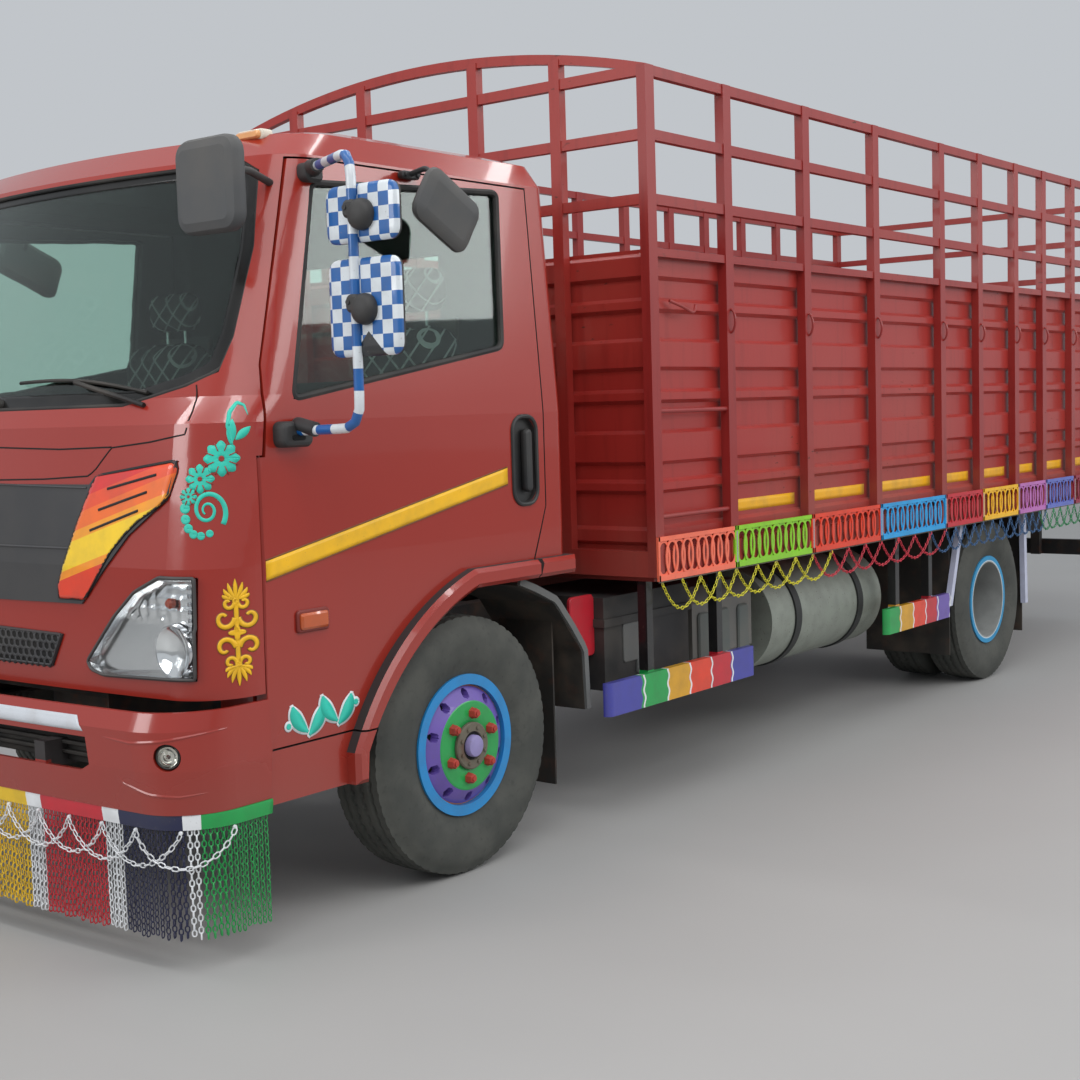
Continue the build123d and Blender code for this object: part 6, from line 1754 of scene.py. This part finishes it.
@dataclass
class FrontDress:
    """Headlamps, the honeycomb slot, reflective tape, fog lamps, small lamps, handles and the grille's ribs.
    Outlines are (y, z) on the left."""

    shop: Workshop
    lamp_low: Line = ((0.500, 0.822), (0.512, 0.802), (0.565, 0.789), (0.918, 0.796))
    lamp_high: Line = ((0.500, 0.828), (0.622, 0.960), (0.711, 1.034), (0.812, 1.078), (0.928, 1.077))
    bowl_at: tuple[float, float] = (0.845, 0.872)
    bulb_at: tuple[float, float] = (0.835, 1.005)
    creases_at: tuple[tuple[Place, ...], ...] = (
        ((1.218, 0.693, 0.650), (1.212, 0.826, 0.640), (1.181, 0.919, 0.648), (1.103, 0.991, 0.662),
         (1.030, 1.012, 0.668)),
        ((1.200, 0.740, 0.560), (1.194, 0.773, 0.520), (1.183, 0.867, 0.496), (1.142, 0.942, 0.490),
         (1.079, 0.991, 0.498)),
    )
    cell: float = 0.0165
    fog_heading: float = 35.0

    def headlamps(self) -> None:
        """Make each headlamp: a faceted reflector (0), a bright bowl (1), a chrome ring and beads (2), an
        amber bulb (3) and a dark surround (4), behind a clear lens."""
        skin = self.shop.skin("headlamps")
        low, high = resampled(self.lamp_low, 48), resampled(self.lamp_high, 48)
        t = np.linspace(0, 1, 28)[None, :, None]
        flat = low[:, None] * (1 - t) + high[:, None] * t
        y, z = flat[..., 0], flat[..., 1]
        row, column = np.arange(48)[:, None], np.arange(28)[None]
        rim = np.minimum(np.minimum(row, 47 - row) / 2.0, np.minimum(column, 27 - column) / 2.0)
        facets = np.floor(y / 0.021) % 2 + np.floor(z / 0.016) % 2
        depth = 0.004 + 0.026 * np.clip(rim, 0, 1) - (z > 0.955) * np.clip(rim - 1, 0, 1) * 0.0035 * facets
        back = skin.lay(flat, 0.0, 0.0)
        back[..., 0] -= depth
        bowl = ((0.0, -0.022), (0.030, -0.020), (0.052, -0.0145), (0.066, -0.006), (0.070, -0.004))
        ring = ((0.069, -0.022), (0.070, -0.004), (0.074, -0.003), (0.076, -0.022))
        bulb = ((0.014, -0.022), (0.015, -0.010), (0.010, -0.003), (0.0, -0.001))
        bowl_x, bulb_x = skin.spot(*self.bowl_at)[0] - 0.005, skin.spot(*self.bulb_at)[0] - 0.004
        line = np.concatenate([low, high[::-1]])
        border = skin.lay(resampled(np.concatenate([line, line[:1]]), 120)[:-1], 0.0, 0.0005)
        size, levels = (0.013, 0.012, 0.005), ((0, -0.02), (0, -0.006), (0.003, -0.004))
        spots = [skin.spot(0.905, height) for height in np.linspace(0.825, 1.050, 11)]
        inside = gather([
            surface(back),
            knob(bowl, (bowl_x, *self.bowl_at), 40).marked(1),
            knob(ring, (bowl_x, *self.bowl_at), 40).marked(2),
            knob(bulb, (bulb_x, *self.bulb_at), 20).marked(3),
            tube(border, 0.0052, 8, (1, 0.02, 0), True).marked(4),
            *(pillow(rounded(*size), levels, spot, Plane.FRONT).marked(2) for spot in spots),
        ])
        finishes = (
            Bright("reflector", (0.78, 0.79, 0.80), 0.16),
            Bright("lamp_bowl", (0.90, 0.91, 0.92), 0.05),
            Bright("lamp_ring", (0.62, 0.63, 0.65), 0.10),
            Gloss("bulb_amber", paint_of(196, 70, 30), 0.2, coat=0.5),
            Moulding("lamp_rim", paint_of(62, 60, 60), 0.4, dust=0.15),
        )
        lens, clear = Film(skin, 0.0, 0.0008).sheet(flat), Glass("lamp_clear", (0.96, 0.97, 0.97))
        self.shop.pair("headlamp", inside, finishes, "cab", "lamp_glass", ["headlamps"])
        self.shop.pair("headlamp_lens", lens, clear, "cab", "lamp_glass", thick=0.002)

    def honeycomb(self, skin: Skin) -> None:
        """Lay the dark sheet under the grille, painted shade for the slot's opening, and its mesh of hexagons."""
        low, high = np.array([(0.0, 0.800), (0.330, 0.800)]), np.array([(0.0, 0.901), (0.383, 0.895)])
        back, film = Film(skin, 0.0, 0.001).between(low, high, 30, 6), Film(skin, 0.0, 0.0035)
        a = np.linspace(0, TAU, 7) + math.pi / 6
        hexagon = np.column_stack([np.cos(a), np.sin(a)]) * self.cell * 0.88
        cells = []
        for row in range(5):
            for column in range(16):
                y = (column + 0.5 * (row % 2)) * self.cell * math.sqrt(3)
                z = 0.804 + row * self.cell * 1.5
                if y < 0.325 + (z - 0.80) * 0.5 and z < 0.892:
                    cells.append(film.stroke(resampled(hexagon + [y, z + 0.004], 13), np.full(13, 0.0052)))
        frame = film.line([(0.0, 0.801), (0.330, 0.801), (0.383, 0.895), (0.0, 0.901)], 0.008, 60)
        # the near-black sheet behind the mesh is painted shade for the opening
        black = Moulding("slot_back", paint_of(14, 14, 15), 0.8, dust=0.1)
        grey = Moulding("mesh_grey", paint_of(58, 58, 60), 0.45, dust=0.15)
        self.whole("grille_slot", back, black, 0.001)
        self.whole("grille_mesh", gather([*cells, frame]), grey, 0.003)

    def whole(self, name: str, half: Form, finish: Finish, thick: float) -> None:
        """Make one piece of a left half and its mirror image on the grille."""
        self.shop.make(name, half + half.mirrored(), finish, "cab", "grille_black", thick=thick)

    def ribs(self, skin: Skin) -> None:
        """Lay the grille panel's raised frame line and its lower rib."""
        film = Film(skin, 0.0, 0.003)
        grey = Moulding("rib_grey", paint_of(66, 66, 68), 0.4, dust=0.1)
        lower, upper = ((0.0, 1.150), (0.440, 1.150)), ((0.0, 1.335), (0.500, 1.325))
        self.whole("grille_ribs", film.line(lower, 0.006, 30) + film.line(upper, 0.005, 30), grey, 0.003)

    def tape(self, bumper: Skin) -> None:
        """Lay the silver tape along the bumper, with its slanted ends."""
        low, high = np.array([(0.0, 0.656), (0.635, 0.656)]), np.array([(0.0, 0.698), (0.605, 0.698)])
        half = Film(bumper, 0.0, 0.001).between(low, high, 60, 6)
        silver = Tape("tape_silver", paint_of(206, 210, 216))
        self.shop.make("bumper_tape", half + half.mirrored(), silver, "chassis", "cab_paint", thick=0.0008)

    def creases(self, bumper: Skin) -> None:
        """Press the bumper's creases round its fog lamps, and close its slot with dark slats and a dark back, the back
        painted shade for the opening.
        """
        shapes = []
        for line in self.creases_at:
            bow = bumper.lay(resampled(self.shop.flat(line, 20.0), 40), 20.0, -0.0035)
            shapes.append(tube(bow, 0.0065 * np.sin(np.linspace(0.15, math.pi - 0.15, 40)) ** 0.5, 8))
        # the creases keep the red on their inner faces, with no painted shade
        red = CabEnamel("crease_enamel", Tone.CAB_RED.value, inside=Tone.CAB_RED.value, dust_top=0.75)
        # the slats are dark plastic; the back is a dark slab that is painted shade for the slot's opening
        black = Moulding("intake_black", paint_of(16, 16, 17), 0.7, dust=0.2)
        slat, back = ((0.0, 0.0), (0.0, 0.014), (0.003, 0.018)), ((0.0, 0.0), (0.0, 0.004), (0.003, 0.006))
        slot = [self.shop.slab((1.22, 0.012, 0.004), slat, (1.130, 0, z), Plane.FRONT) for z in (0.562, 0.590, 0.618)]
        slot.append(self.shop.slab((1.25, 0.115, 0.02), back, (1.122, 0, 0.590), Plane.FRONT))
        self.shop.pair("bumper_creases", gather(shapes), red, "chassis", "cab_paint")
        self.shop.make("bumper_slot", gather(slot), black, "chassis", "grille_black")

    def fog(self) -> None:
        """Set a fog lamp at the foot of each cup: its ring (0), its bowl (1) and its lens."""
        turn = math.radians(self.fog_heading)
        at = (self.shop.ahead(1.171) - 0.022 * math.cos(turn), 0.930 - 0.022 * math.sin(turn), 0.602)
        ring = ((0.036, -0.010), (0.0365, 0.004), (0.033, 0.008), (0.030, 0.006))
        lens = ((0.030, 0.005), (0.020, 0.0095), (0.0, 0.012))
        bowl = ((0.030, 0.004), (0.020, -0.006), (0.0, -0.009))
        ring, lens, bowl = (knob(profile, at, 36, self.fog_heading) for profile in (ring, lens, bowl))
        finishes = (Moulding("fog_black", paint_of(30, 30, 31), 0.5), Bright("fog_bowl", (0.8, 0.8, 0.78), 0.1))
        self.shop.pair("fog_lamp", ring + bowl.marked(1), finishes, "chassis", "lamp_glass")
        self.shop.pair("fog_lens", lens, Glass("fog_clear", (0.94, 0.93, 0.88)), "chassis", "lamp_glass", thick=0.0015)

    def small_lamps(self, door: Skin) -> None:
        """Set the amber lamps on the roof's front edge and low on the doors: foot (0) and lens (1)."""
        amber = Gloss("amber_lens", paint_of(236, 168, 104), 0.15, coat=0.8, wear=0.05)
        pale = Moulding("lamp_foot", paint_of(214, 206, 190), 0.5, dust=0.2)
        red = Gloss("side_lens", paint_of(192, 84, 28), 0.15, coat=0.8, wear=0.05)
        rim = Moulding("side_lamp_rim", paint_of(120, 34, 26), 0.4, dust=0.1)
        lamps = (
            ("roof_lamp", self.shop.skin("cab_shell").spot(0.735, 2.345), Plane.FRONT, (pale, amber), "cab",
             ((0.120, 0.034, 0.014), ((0.0, -0.03), (0.0, 0.004), (0.004, 0.008))),
             ((0.100, 0.026, 0.011), ((0.0, 0.006), (0.001, 0.016), (0.006, 0.022)))),
            ("door_lamp", door.spot(-self.shop.ahead(0.678), 0.922, DOOR_HEADING), Plane.LEFT, (rim, red), DOOR,
             ((0.128, 0.066, 0.012), ((0.0, -0.004), (0.0, 0.006), (0.004, 0.010))),
             ((0.112, 0.050, 0.010), ((0.0, 0.006), (0.001, 0.014), (0.008, 0.019)))),
        )
        for name, spot, plane, finishes, body, *slabs in lamps:
            foot, lens = (pillow(rounded(*size), levels, spot, plane) for size, levels in slabs)
            self.shop.pair(name, foot + lens.marked(1), finishes, body, "lamp_glass")

    def handles(self, door: Skin) -> None:
        """Frame each door's handle pocket and set the upright lever in it."""
        x, z = self.shop.ahead(-0.332), 1.340
        ring = rounded(0.128, 0.296, 0.050, 8)
        wall = float(door.spot(-x - 0.075, z, DOOR_HEADING)[1])
        path = np.column_stack([x - ring[:, 0], np.full(len(ring), wall + 0.001), z + ring[:, 1]])
        frame = tube(path, 0.0075, 8, (0, 1, 0.05), True)
        cup = pillow(rounded(0.118, 0.286, 0.046), ((0.0, -0.0175), (0.0, -0.0165)), (x, wall, z), Plane.LEFT)
        levels = ((0.004, -0.012), (0.0, -0.006), (0.0, 0.004), (0.005, 0.012), (0.012, 0.014))
        lever = pillow(rounded(0.040, 0.215, 0.019), levels, (x - 0.012, wall, z), Plane.LEFT)
        black = Moulding("handle_black", paint_of(36, 37, 38), 0.42, dust=0.15)
        self.shop.pair("door_handle", gather([frame, cup, lever]), black, DOOR, "trim_plastic")

    def build(self) -> None:
        """Dress the front."""
        front, bumper = self.shop.skin("cab_shell", "grille_panel"), self.shop.skin("front_bumper")
        door = self.shop.skin("door_left")
        self.headlamps()
        self.honeycomb(front)
        self.ribs(front)
        self.tape(bumper)
        self.creases(bumper)
        self.fog()
        self.small_lamps(door)
        self.handles(door)


@dataclass(frozen=True)
class Pad:
    """A seat's padded part: its outline, its levels, its middle, and how far its cloth may move."""

    name: str
    node: str
    size: Place
    levels: Line
    x: float
    z: float
    plane: Plane
    cap: float
    taper: float = 0.0

    def shape(self, shop: Workshop, y: float) -> Form:
        """Give the part before it is puffed, narrower at the top where it tapers."""
        outline = rounded(*self.size)
        outline[:, 0] *= 1 - self.taper * np.clip(outline[:, 1] / (self.size[1] / 2), 0, 1)
        return pillow(outline, self.levels, (shop.ahead(self.x), y, self.z), self.plane)


@dataclass
class Seats:
    """Two padded seats with a woven net over them."""

    shop: Workshop
    seat_y: float = 0.630
    pressure: float = 4.0
    frames: int = 16
    pads: tuple[Pad, ...] = (
        Pad("seat_cushion", "seat_cushions", (0.446, 0.474, 0.07),
            ((0.020, 0.004), (0.004, 0.024), (0.0, 0.060), (0.006, 0.096), (0.026, 0.112)), 0.069, 1.120,
            Plane.TOP, 0.024),
        Pad("seat_back", "seat_backs", (0.446, 0.566, 0.10),
            ((0.020, 0.004), (0.004, 0.024), (0.0, 0.090), (0.010, 0.130), (0.034, 0.150)), -0.245, 1.535,
            Plane.FRONT, 0.022, 0.10),
        Pad("headrest", "seat_backs", (0.262, 0.146, 0.05),
            ((0.014, 0.002), (0.0, 0.016), (0.0, 0.050), (0.016, 0.068)), -0.245, 1.928, Plane.FRONT, 0.010),
    )

    def puffed(self, piece: bpy.types.Object, cap: float) -> None:
        """Blow a cushion up as cloth: remesh it, simulate, and move each point no further than the cap."""
        remesh = piece.modifiers.new("skin", "REMESH")
        remesh.mode, remesh.voxel_size = "VOXEL", 0.011
        bpy.context.view_layer.update()
        mesh, rest = self.evaluated(piece)
        piece.data = mesh
        cloth = piece.modifiers.new("air", "CLOTH")
        cloth.settings.use_pressure = True
        cloth.settings.uniform_pressure_force = self.pressure
        cloth.settings.effector_weights.gravity = 0
        scene = bpy.context.scene
        for frame in range(1, self.frames + 1):
            scene.frame_set(frame)
        _, moved = self.evaluated(piece)
        shift = moved - rest
        far = np.linalg.norm(shift, axis=1, keepdims=True)
        scene.frame_set(1)
        mesh.vertices.foreach_set("co", (rest + shift * np.minimum(1, cap / np.maximum(far, 1e-9))).ravel())
        mesh.shade_smooth()
        mesh.update()
        smooth = piece.modifiers.new("rounds", "SUBSURF")
        smooth.levels = smooth.render_levels = 1

    @staticmethod
    def evaluated(piece: bpy.types.Object) -> tuple[bpy.types.Mesh, np.ndarray]:
        """Give the mesh that a piece's modifiers make and its points, and take the modifiers off."""
        depsgraph = bpy.context.evaluated_depsgraph_get()
        mesh = bpy.data.meshes.new_from_object(piece.evaluated_get(depsgraph))
        piece.modifiers.clear()
        points = np.zeros(len(mesh.vertices) * 3)
        mesh.vertices.foreach_get("co", points)
        return mesh, points.reshape(-1, 3)

    def build(self) -> None:
        """Make both seats and puff them."""
        cloth = NetCloth("seat_net", paint_of(26, 25, 27), 0.85)
        steel = Bright("rod_steel", (0.6, 0.6, 0.6), 0.2)
        for side, sign in SIDES:
            y = sign * self.seat_y
            for pad in self.pads:
                shape = pad.shape(self.shop, y)
                piece = self.shop.make(f"{pad.name}_{side}", shape, cloth, "cab", "seat_cloth", [pad.node])
                self.puffed(piece, pad.cap)
            lines = [self.shop.path(-0.213, y + off, np.linspace(1.80, 1.87, 4)) for off in (-0.054, 0.054)]
            rods = gather(tube(line, 0.006, 10, (1, 0, 0)) for line in lines)
            self.shop.make(f"headrest_rods_{side}", rods, steel, "cab", "seat_cloth")


@dataclass
class LoadBody:
    """The tape, hooks and lamps of the load body, and the painted guards and tanks under it."""

    shop: Workshop
    hook_z: float = 1.830
    lamp_x: float = -6.690

    def tape(self) -> None:
        """Lay reflective tape along each bay's foot, but for the first."""
        sheets = []
        for first, last in zip(POSTS[1:-1], POSTS[2:]):
            x = self.shop.ahead(np.linspace(first - 0.05, last + 0.05, 12))
            z = np.linspace(1.078, 1.126, 4)
            sheets.append(surface(np.stack(np.broadcast_arrays(x[:, None], 1.0560, z[None]), axis=-1)))
        yellow = Tape("tape_yellow", paint_of(240, 176, 24))
        self.shop.pair("body_tape", gather(sheets), yellow, "chassis", "body_paint", thick=0.0008)

    def hooks(self) -> None:
        """Weld an oval rope hook on each post and a curved one in the first bay."""
        a = np.linspace(0, math.pi, 12)
        y, z = 1.108 + 0.022 * np.sin(a), self.hook_z + 0.045 * np.cos(a)
        shapes = [tube(self.shop.path(x, y, z), 0.005, 8, (1, 0, 0)) for x in POSTS[1:-1]]
        curl = ((-1.10, 1.094, 1.895), (-1.16, 1.112, 1.875), (-1.24, 1.112, 1.850), (-1.28, 1.094, 1.885))
        shapes.append(tube(filleted(self.shop.placed(curl), 0.03), 0.006, 8))
        red = BodySteel("hook_red", Tone.BODY_RED.value)
        self.shop.pair("rope_hooks", gather(shapes), red, "chassis", "body_paint")

    def guards(self) -> None:
        """Paint the guard boards in bands with waved white lines, and their struts pale."""
        bands = ((-5.2, Tone.STRUT), (-3.684, Tone.PURPLE), (-3.531, Tone.CRIMSON), (-3.390, Tone.VERMILION),
                 (-3.248, Tone.MUSTARD), (-3.107, Tone.GREEN), (-2.5, Tone.VIOLET), (-1.555, Tone.CRIMSON),
                 (-1.400, Tone.VERMILION), (-1.245, Tone.MUSTARD), (-1.090, Tone.GREEN), (-0.930, Tone.VIOLET),
                 (-0.3, Tone.VIOLET))
        starts = tuple((self.shop.ahead(x), tone.value) for x, tone in bands)
        paint = Bands("guard_bands", Tone.VIOLET.value, 0.3, coat=0.5, wear=0.35, starts=starts, wave=0.005,
                      line=0.010, hidden=0.523)
        self.shop.dress(paint, "side_guards")

    def rear_lamps(self) -> None:
        """Set the rear lamps' clear (0), amber (1) and red (2) panes on the bar."""
        levels = ((0.0, -0.006), (0.0, 0.002), (0.006, 0.008))
        panes = [self.shop.slab((wide, 0.080, 0.010), levels, (self.lamp_x, y, 0.580), Plane.BACK).marked(number)
                 for number, (y, wide) in enumerate(((0.745, 0.066), (0.815, 0.062), (0.885, 0.066)))]
        colours = (("clear", (214, 210, 200)), ("amber", (230, 120, 24)), ("red", (178, 22, 18)))
        lenses = [Gloss(f"rear_{name}", paint_of(*colour), 0.12, coat=0.8, wear=0.05) for name, colour in colours]
        self.shop.pair("rear_lamp", gather(panes), lenses, "chassis", "lamp_glass")

    def tanks(self) -> None:
        """Add the fuel tank's cap (0), the side tank's ribs (1), the battery box's plates and the mudguard's
        flange (2), and the crimson bracket (3), and paint the fuel tank."""
        slab = self.shop.slab
        cap = turned_shape(((0.052, 0.0), (0.054, 0.012), (0.048, 0.024), (0.020, 0.028), (0.0, 0.028)), (0, 0, 0), 24)
        rib = ((0.0, -0.004), (0.0, 0.006), (0.006, 0.012))
        plate, latch = ((0.0, -0.002), (0.0, 0.004), (0.003, 0.006)), ((0.0, -0.002), (0.0, 0.006), (0.003, 0.010))
        shapes = [cap.turned("X", 35).moved(self.shop.ahead(-2.22), 0.822, 0.742)]
        shapes += [slab((0.085, 0.200, 0.020), rib, (x, 0.880, 0.560), Plane.LEFT).marked(1)
                   for x in (-1.62, -1.775, -1.93)]
        shapes.append(slab((0.20, 0.15, 0.012), plate, (-1.12, 0.900, 0.615), Plane.LEFT).marked(2))
        shapes.append(slab((0.030, 0.055, 0.008), latch, (-1.12, 0.900, 0.515), Plane.LEFT).marked(2))
        flange = ((-0.300, 0.985, 0.930), (-0.390, 0.985, 0.896), (-0.500, 0.985, 0.846), (-0.590, 0.985, 0.742),
                  (-0.662, 0.985, 0.648), (-0.672, 0.985, 0.432))
        path = resampled(self.shop.placed(flange), 24)
        wide = np.cross(unit(np.gradient(path, axis=0)), [0, 1.0, 0]) * 0.012
        edge = ribbon_bar(path, wide, np.tile([0, 0.006, 0], (24, 1))).marked(2)
        bracket = ((0.0, -0.006), (0.0, 0.004), (0.004, 0.008))
        both = edge + slab((0.150, 0.230, 0.020), bracket, (-0.825, 0.850, 0.700), Plane.LEFT).marked(3)
        finishes = (
            Moulding("cap_black", paint_of(34, 34, 34), 0.5, dust=0.3),
            Moulding("tank_rib", paint_of(84, 92, 90), 0.5, dust=0.4),
            Moulding("plate_grey", paint_of(96, 98, 98), 0.5, dust=0.3),
            Gloss("bracket_crimson", Tone.CRIMSON.value, 0.4, wear=0.6),
        )
        self.shop.make("tank_fittings", gather([*shapes, both, both.mirrored()]), finishes, "chassis", "tank_plastic")
        pale, strap = paint_of(150, 156, 146), paint_of(52, 54, 54)
        bands = ((-3.2, pale), (-2.976, strap), (-2.924, pale), (-2.376, strap), (-2.324, pale), (-2.0, pale))
        starts = tuple((self.shop.ahead(x), tone) for x, tone in bands)
        self.shop.dress(Bands("tank_steel", pale, 0.45, metal=0.35, wear=0.8, starts=starts), "fuel_tank")

    def build(self) -> None:
        """Dress the load body and what hangs under it."""
        self.tape()
        self.hooks()
        self.guards()
        self.rear_lamps()
        self.tanks()


@dataclass
class Studio:
    """The pale floor, soft lights and the camera where the photograph was taken. A lamp is its name, its
    place, its size, its power and the point it looks at."""

    camera_at: Place = (6.603, 4.332, 1.514)
    yaw: float = 218.1
    pitch: float = -4.77
    roll: float = 1.73
    focal: float = 1579.8
    image: float = 1080.0
    sensor: float = 36.0
    floor_half: float = 40.0
    sky: tuple[float, float, float, float] = (0.86, 0.9, 0.95, 1)
    sky_strength: float = 0.62
    lamps: tuple[tuple[str, Place, tuple[float, float], float, Place], ...] = (
        ("key", (7.0, 6.5, 8.0), (9, 6), 330, (1.0, 0.5, 1.2)),
        ("fill", (-3.0, 9.0, 5.0), (8, 3), 300, (-1.0, 1.0, 1.2)),
        ("front", (11.0, -2.0, 4.0), (4, 3), 210, (3.5, 0.0, 1.2)),
        *((f"strip_{number}", (4.6 - 3.2 * number, 1.0, 5.6), (0.25, 7.0), 64, (4.6 - 3.2 * number, 1.0, 0.0))
          for number in range(3)),
    )

    @staticmethod
    def linked(name: str, data: Any) -> bpy.types.Object:
        """Put an object in the scene."""
        made = bpy.data.objects.new(name, data)
        bpy.context.scene.collection.objects.link(made)
        return made

    def camera(self) -> None:
        """Set the camera by its place, yaw, pitch, roll and focal length in picture points."""
        y, p, r = (math.radians(value) for value in (self.yaw, self.pitch, self.roll))
        forward = np.array([math.cos(p) * math.cos(y), math.cos(p) * math.sin(y), math.sin(p)])
        level = np.cross(forward, [0, 0, 1])
        level /= np.linalg.norm(level)
        drop = np.cross(forward, level)
        right = level * math.cos(r) + drop * math.sin(r)
        down = -level * math.sin(r) + drop * math.cos(r)
        data = bpy.data.cameras.new("camera")
        data.sensor_width = self.sensor
        data.lens = self.focal * self.sensor / self.image
        camera = self.linked("camera", data)
        turn = Matrix(np.column_stack([right, -down, -forward]).tolist()).to_4x4()
        camera.matrix_world = Matrix.Translation(self.camera_at) @ turn
        bpy.context.scene.camera = camera

    def lamp(self, name: str, at: Place, size: tuple[float, float], power: float, aim: Place) -> None:
        """Hang a soft rectangular lamp that looks at a point."""
        data = bpy.data.lights.new(name, "AREA")
        data.shape, data.size, data.size_y, data.energy = "RECTANGLE", size[0], size[1], power
        way = Matrix.Translation(at).to_translation() - Matrix.Translation(aim).to_translation()
        turn = way.to_track_quat("Z", "Y").to_matrix().to_4x4()
        self.linked(name, data).matrix_world = Matrix.Translation(at) @ turn

    def build(self) -> None:
        """Lay the floor, hang the lamps and set the sky and the camera."""
        bench = Bench("studio_floor")
        cloud = bench.noise(0.6, 4)
        bench.set(Base_Color=bench.blend(cloud, (0.36, 0.355, 0.345), (0.42, 0.415, 0.405)), Roughness=0.55)
        side = np.linspace(-self.floor_half, self.floor_half, 3)
        x, y = np.meshgrid(side, side, indexing="ij")
        shape = surface(np.stack([x, y, np.full_like(x, -0.002)], axis=-1))
        mesh = bpy.data.meshes.new("floor")
        mesh.from_pydata(shape.points.tolist(), [], shape.faces.tolist())
        mesh.materials.append(bench.material)
        self.linked("floor", mesh)
        world = bpy.data.worlds.new("sky")
        world.use_nodes = True
        bpy.context.scene.world = world
        sky = world.node_tree.nodes["Background"]
        sky.inputs[0].default_value, sky.inputs[1].default_value = self.sky, self.sky_strength
        for lamp in self.lamps:
            self.lamp(*lamp)
        self.camera()
        bpy.context.scene.view_settings.view_transform = "Standard"


def dress_rest(shop: Workshop) -> None:
    """Give the nodes that keep their own shape their finishes."""
    shop.dress(BodySteel("body_red", Tone.BODY_RED.value), "side_frames", "rear_frame", "hinge_pins",
               "rear_door_left", "rear_door_right", "deck_floor")
    shop.dress(BodySteel("sheet_red", paint_of(158, 44, 38)), "side_sheets", "headboard")
    iron = RoadIron("chassis_black", paint_of(34, 34, 35))
    shop.dress(iron, "frame_rails", "leaf_springs", "propshaft", "rear_bar", "seat_bases")
    cast = RoadIron("castings", paint_of(52, 50, 48), rust=0.7)
    shop.dress(cast, "front_axle", "knuckle_left", "knuckle_right", "rear_axle", "engine_block")
    trim = Moulding("trim_black", paint_of(36, 36, 38), 0.5)
    shop.dress(trim, "dashboard", "steering_wheel", "battery_box")
    shop.dress(RoadIron("mud_rubber", paint_of(40, 38, 35), 0.75, rust=0.25), "mudguards")
    shop.dress(Moulding("tank_grey", paint_of(98, 98, 96), 0.5, dust=0.5), "side_tank")


def main() -> None:
    """Build every sub-assembly in order."""
    logging.basicConfig(level=logging.INFO, format="%(message)s")
    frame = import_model()
    shop = Workshop(frame)
    dress_rest(shop)
    for part in (Wheels, CabPaint, FrontDress, Mirrors, Seats, ChainWork, Lattice, LoadBody):
        part(shop).build()
    Studio().build()


if __name__ == "__main__":
    main()
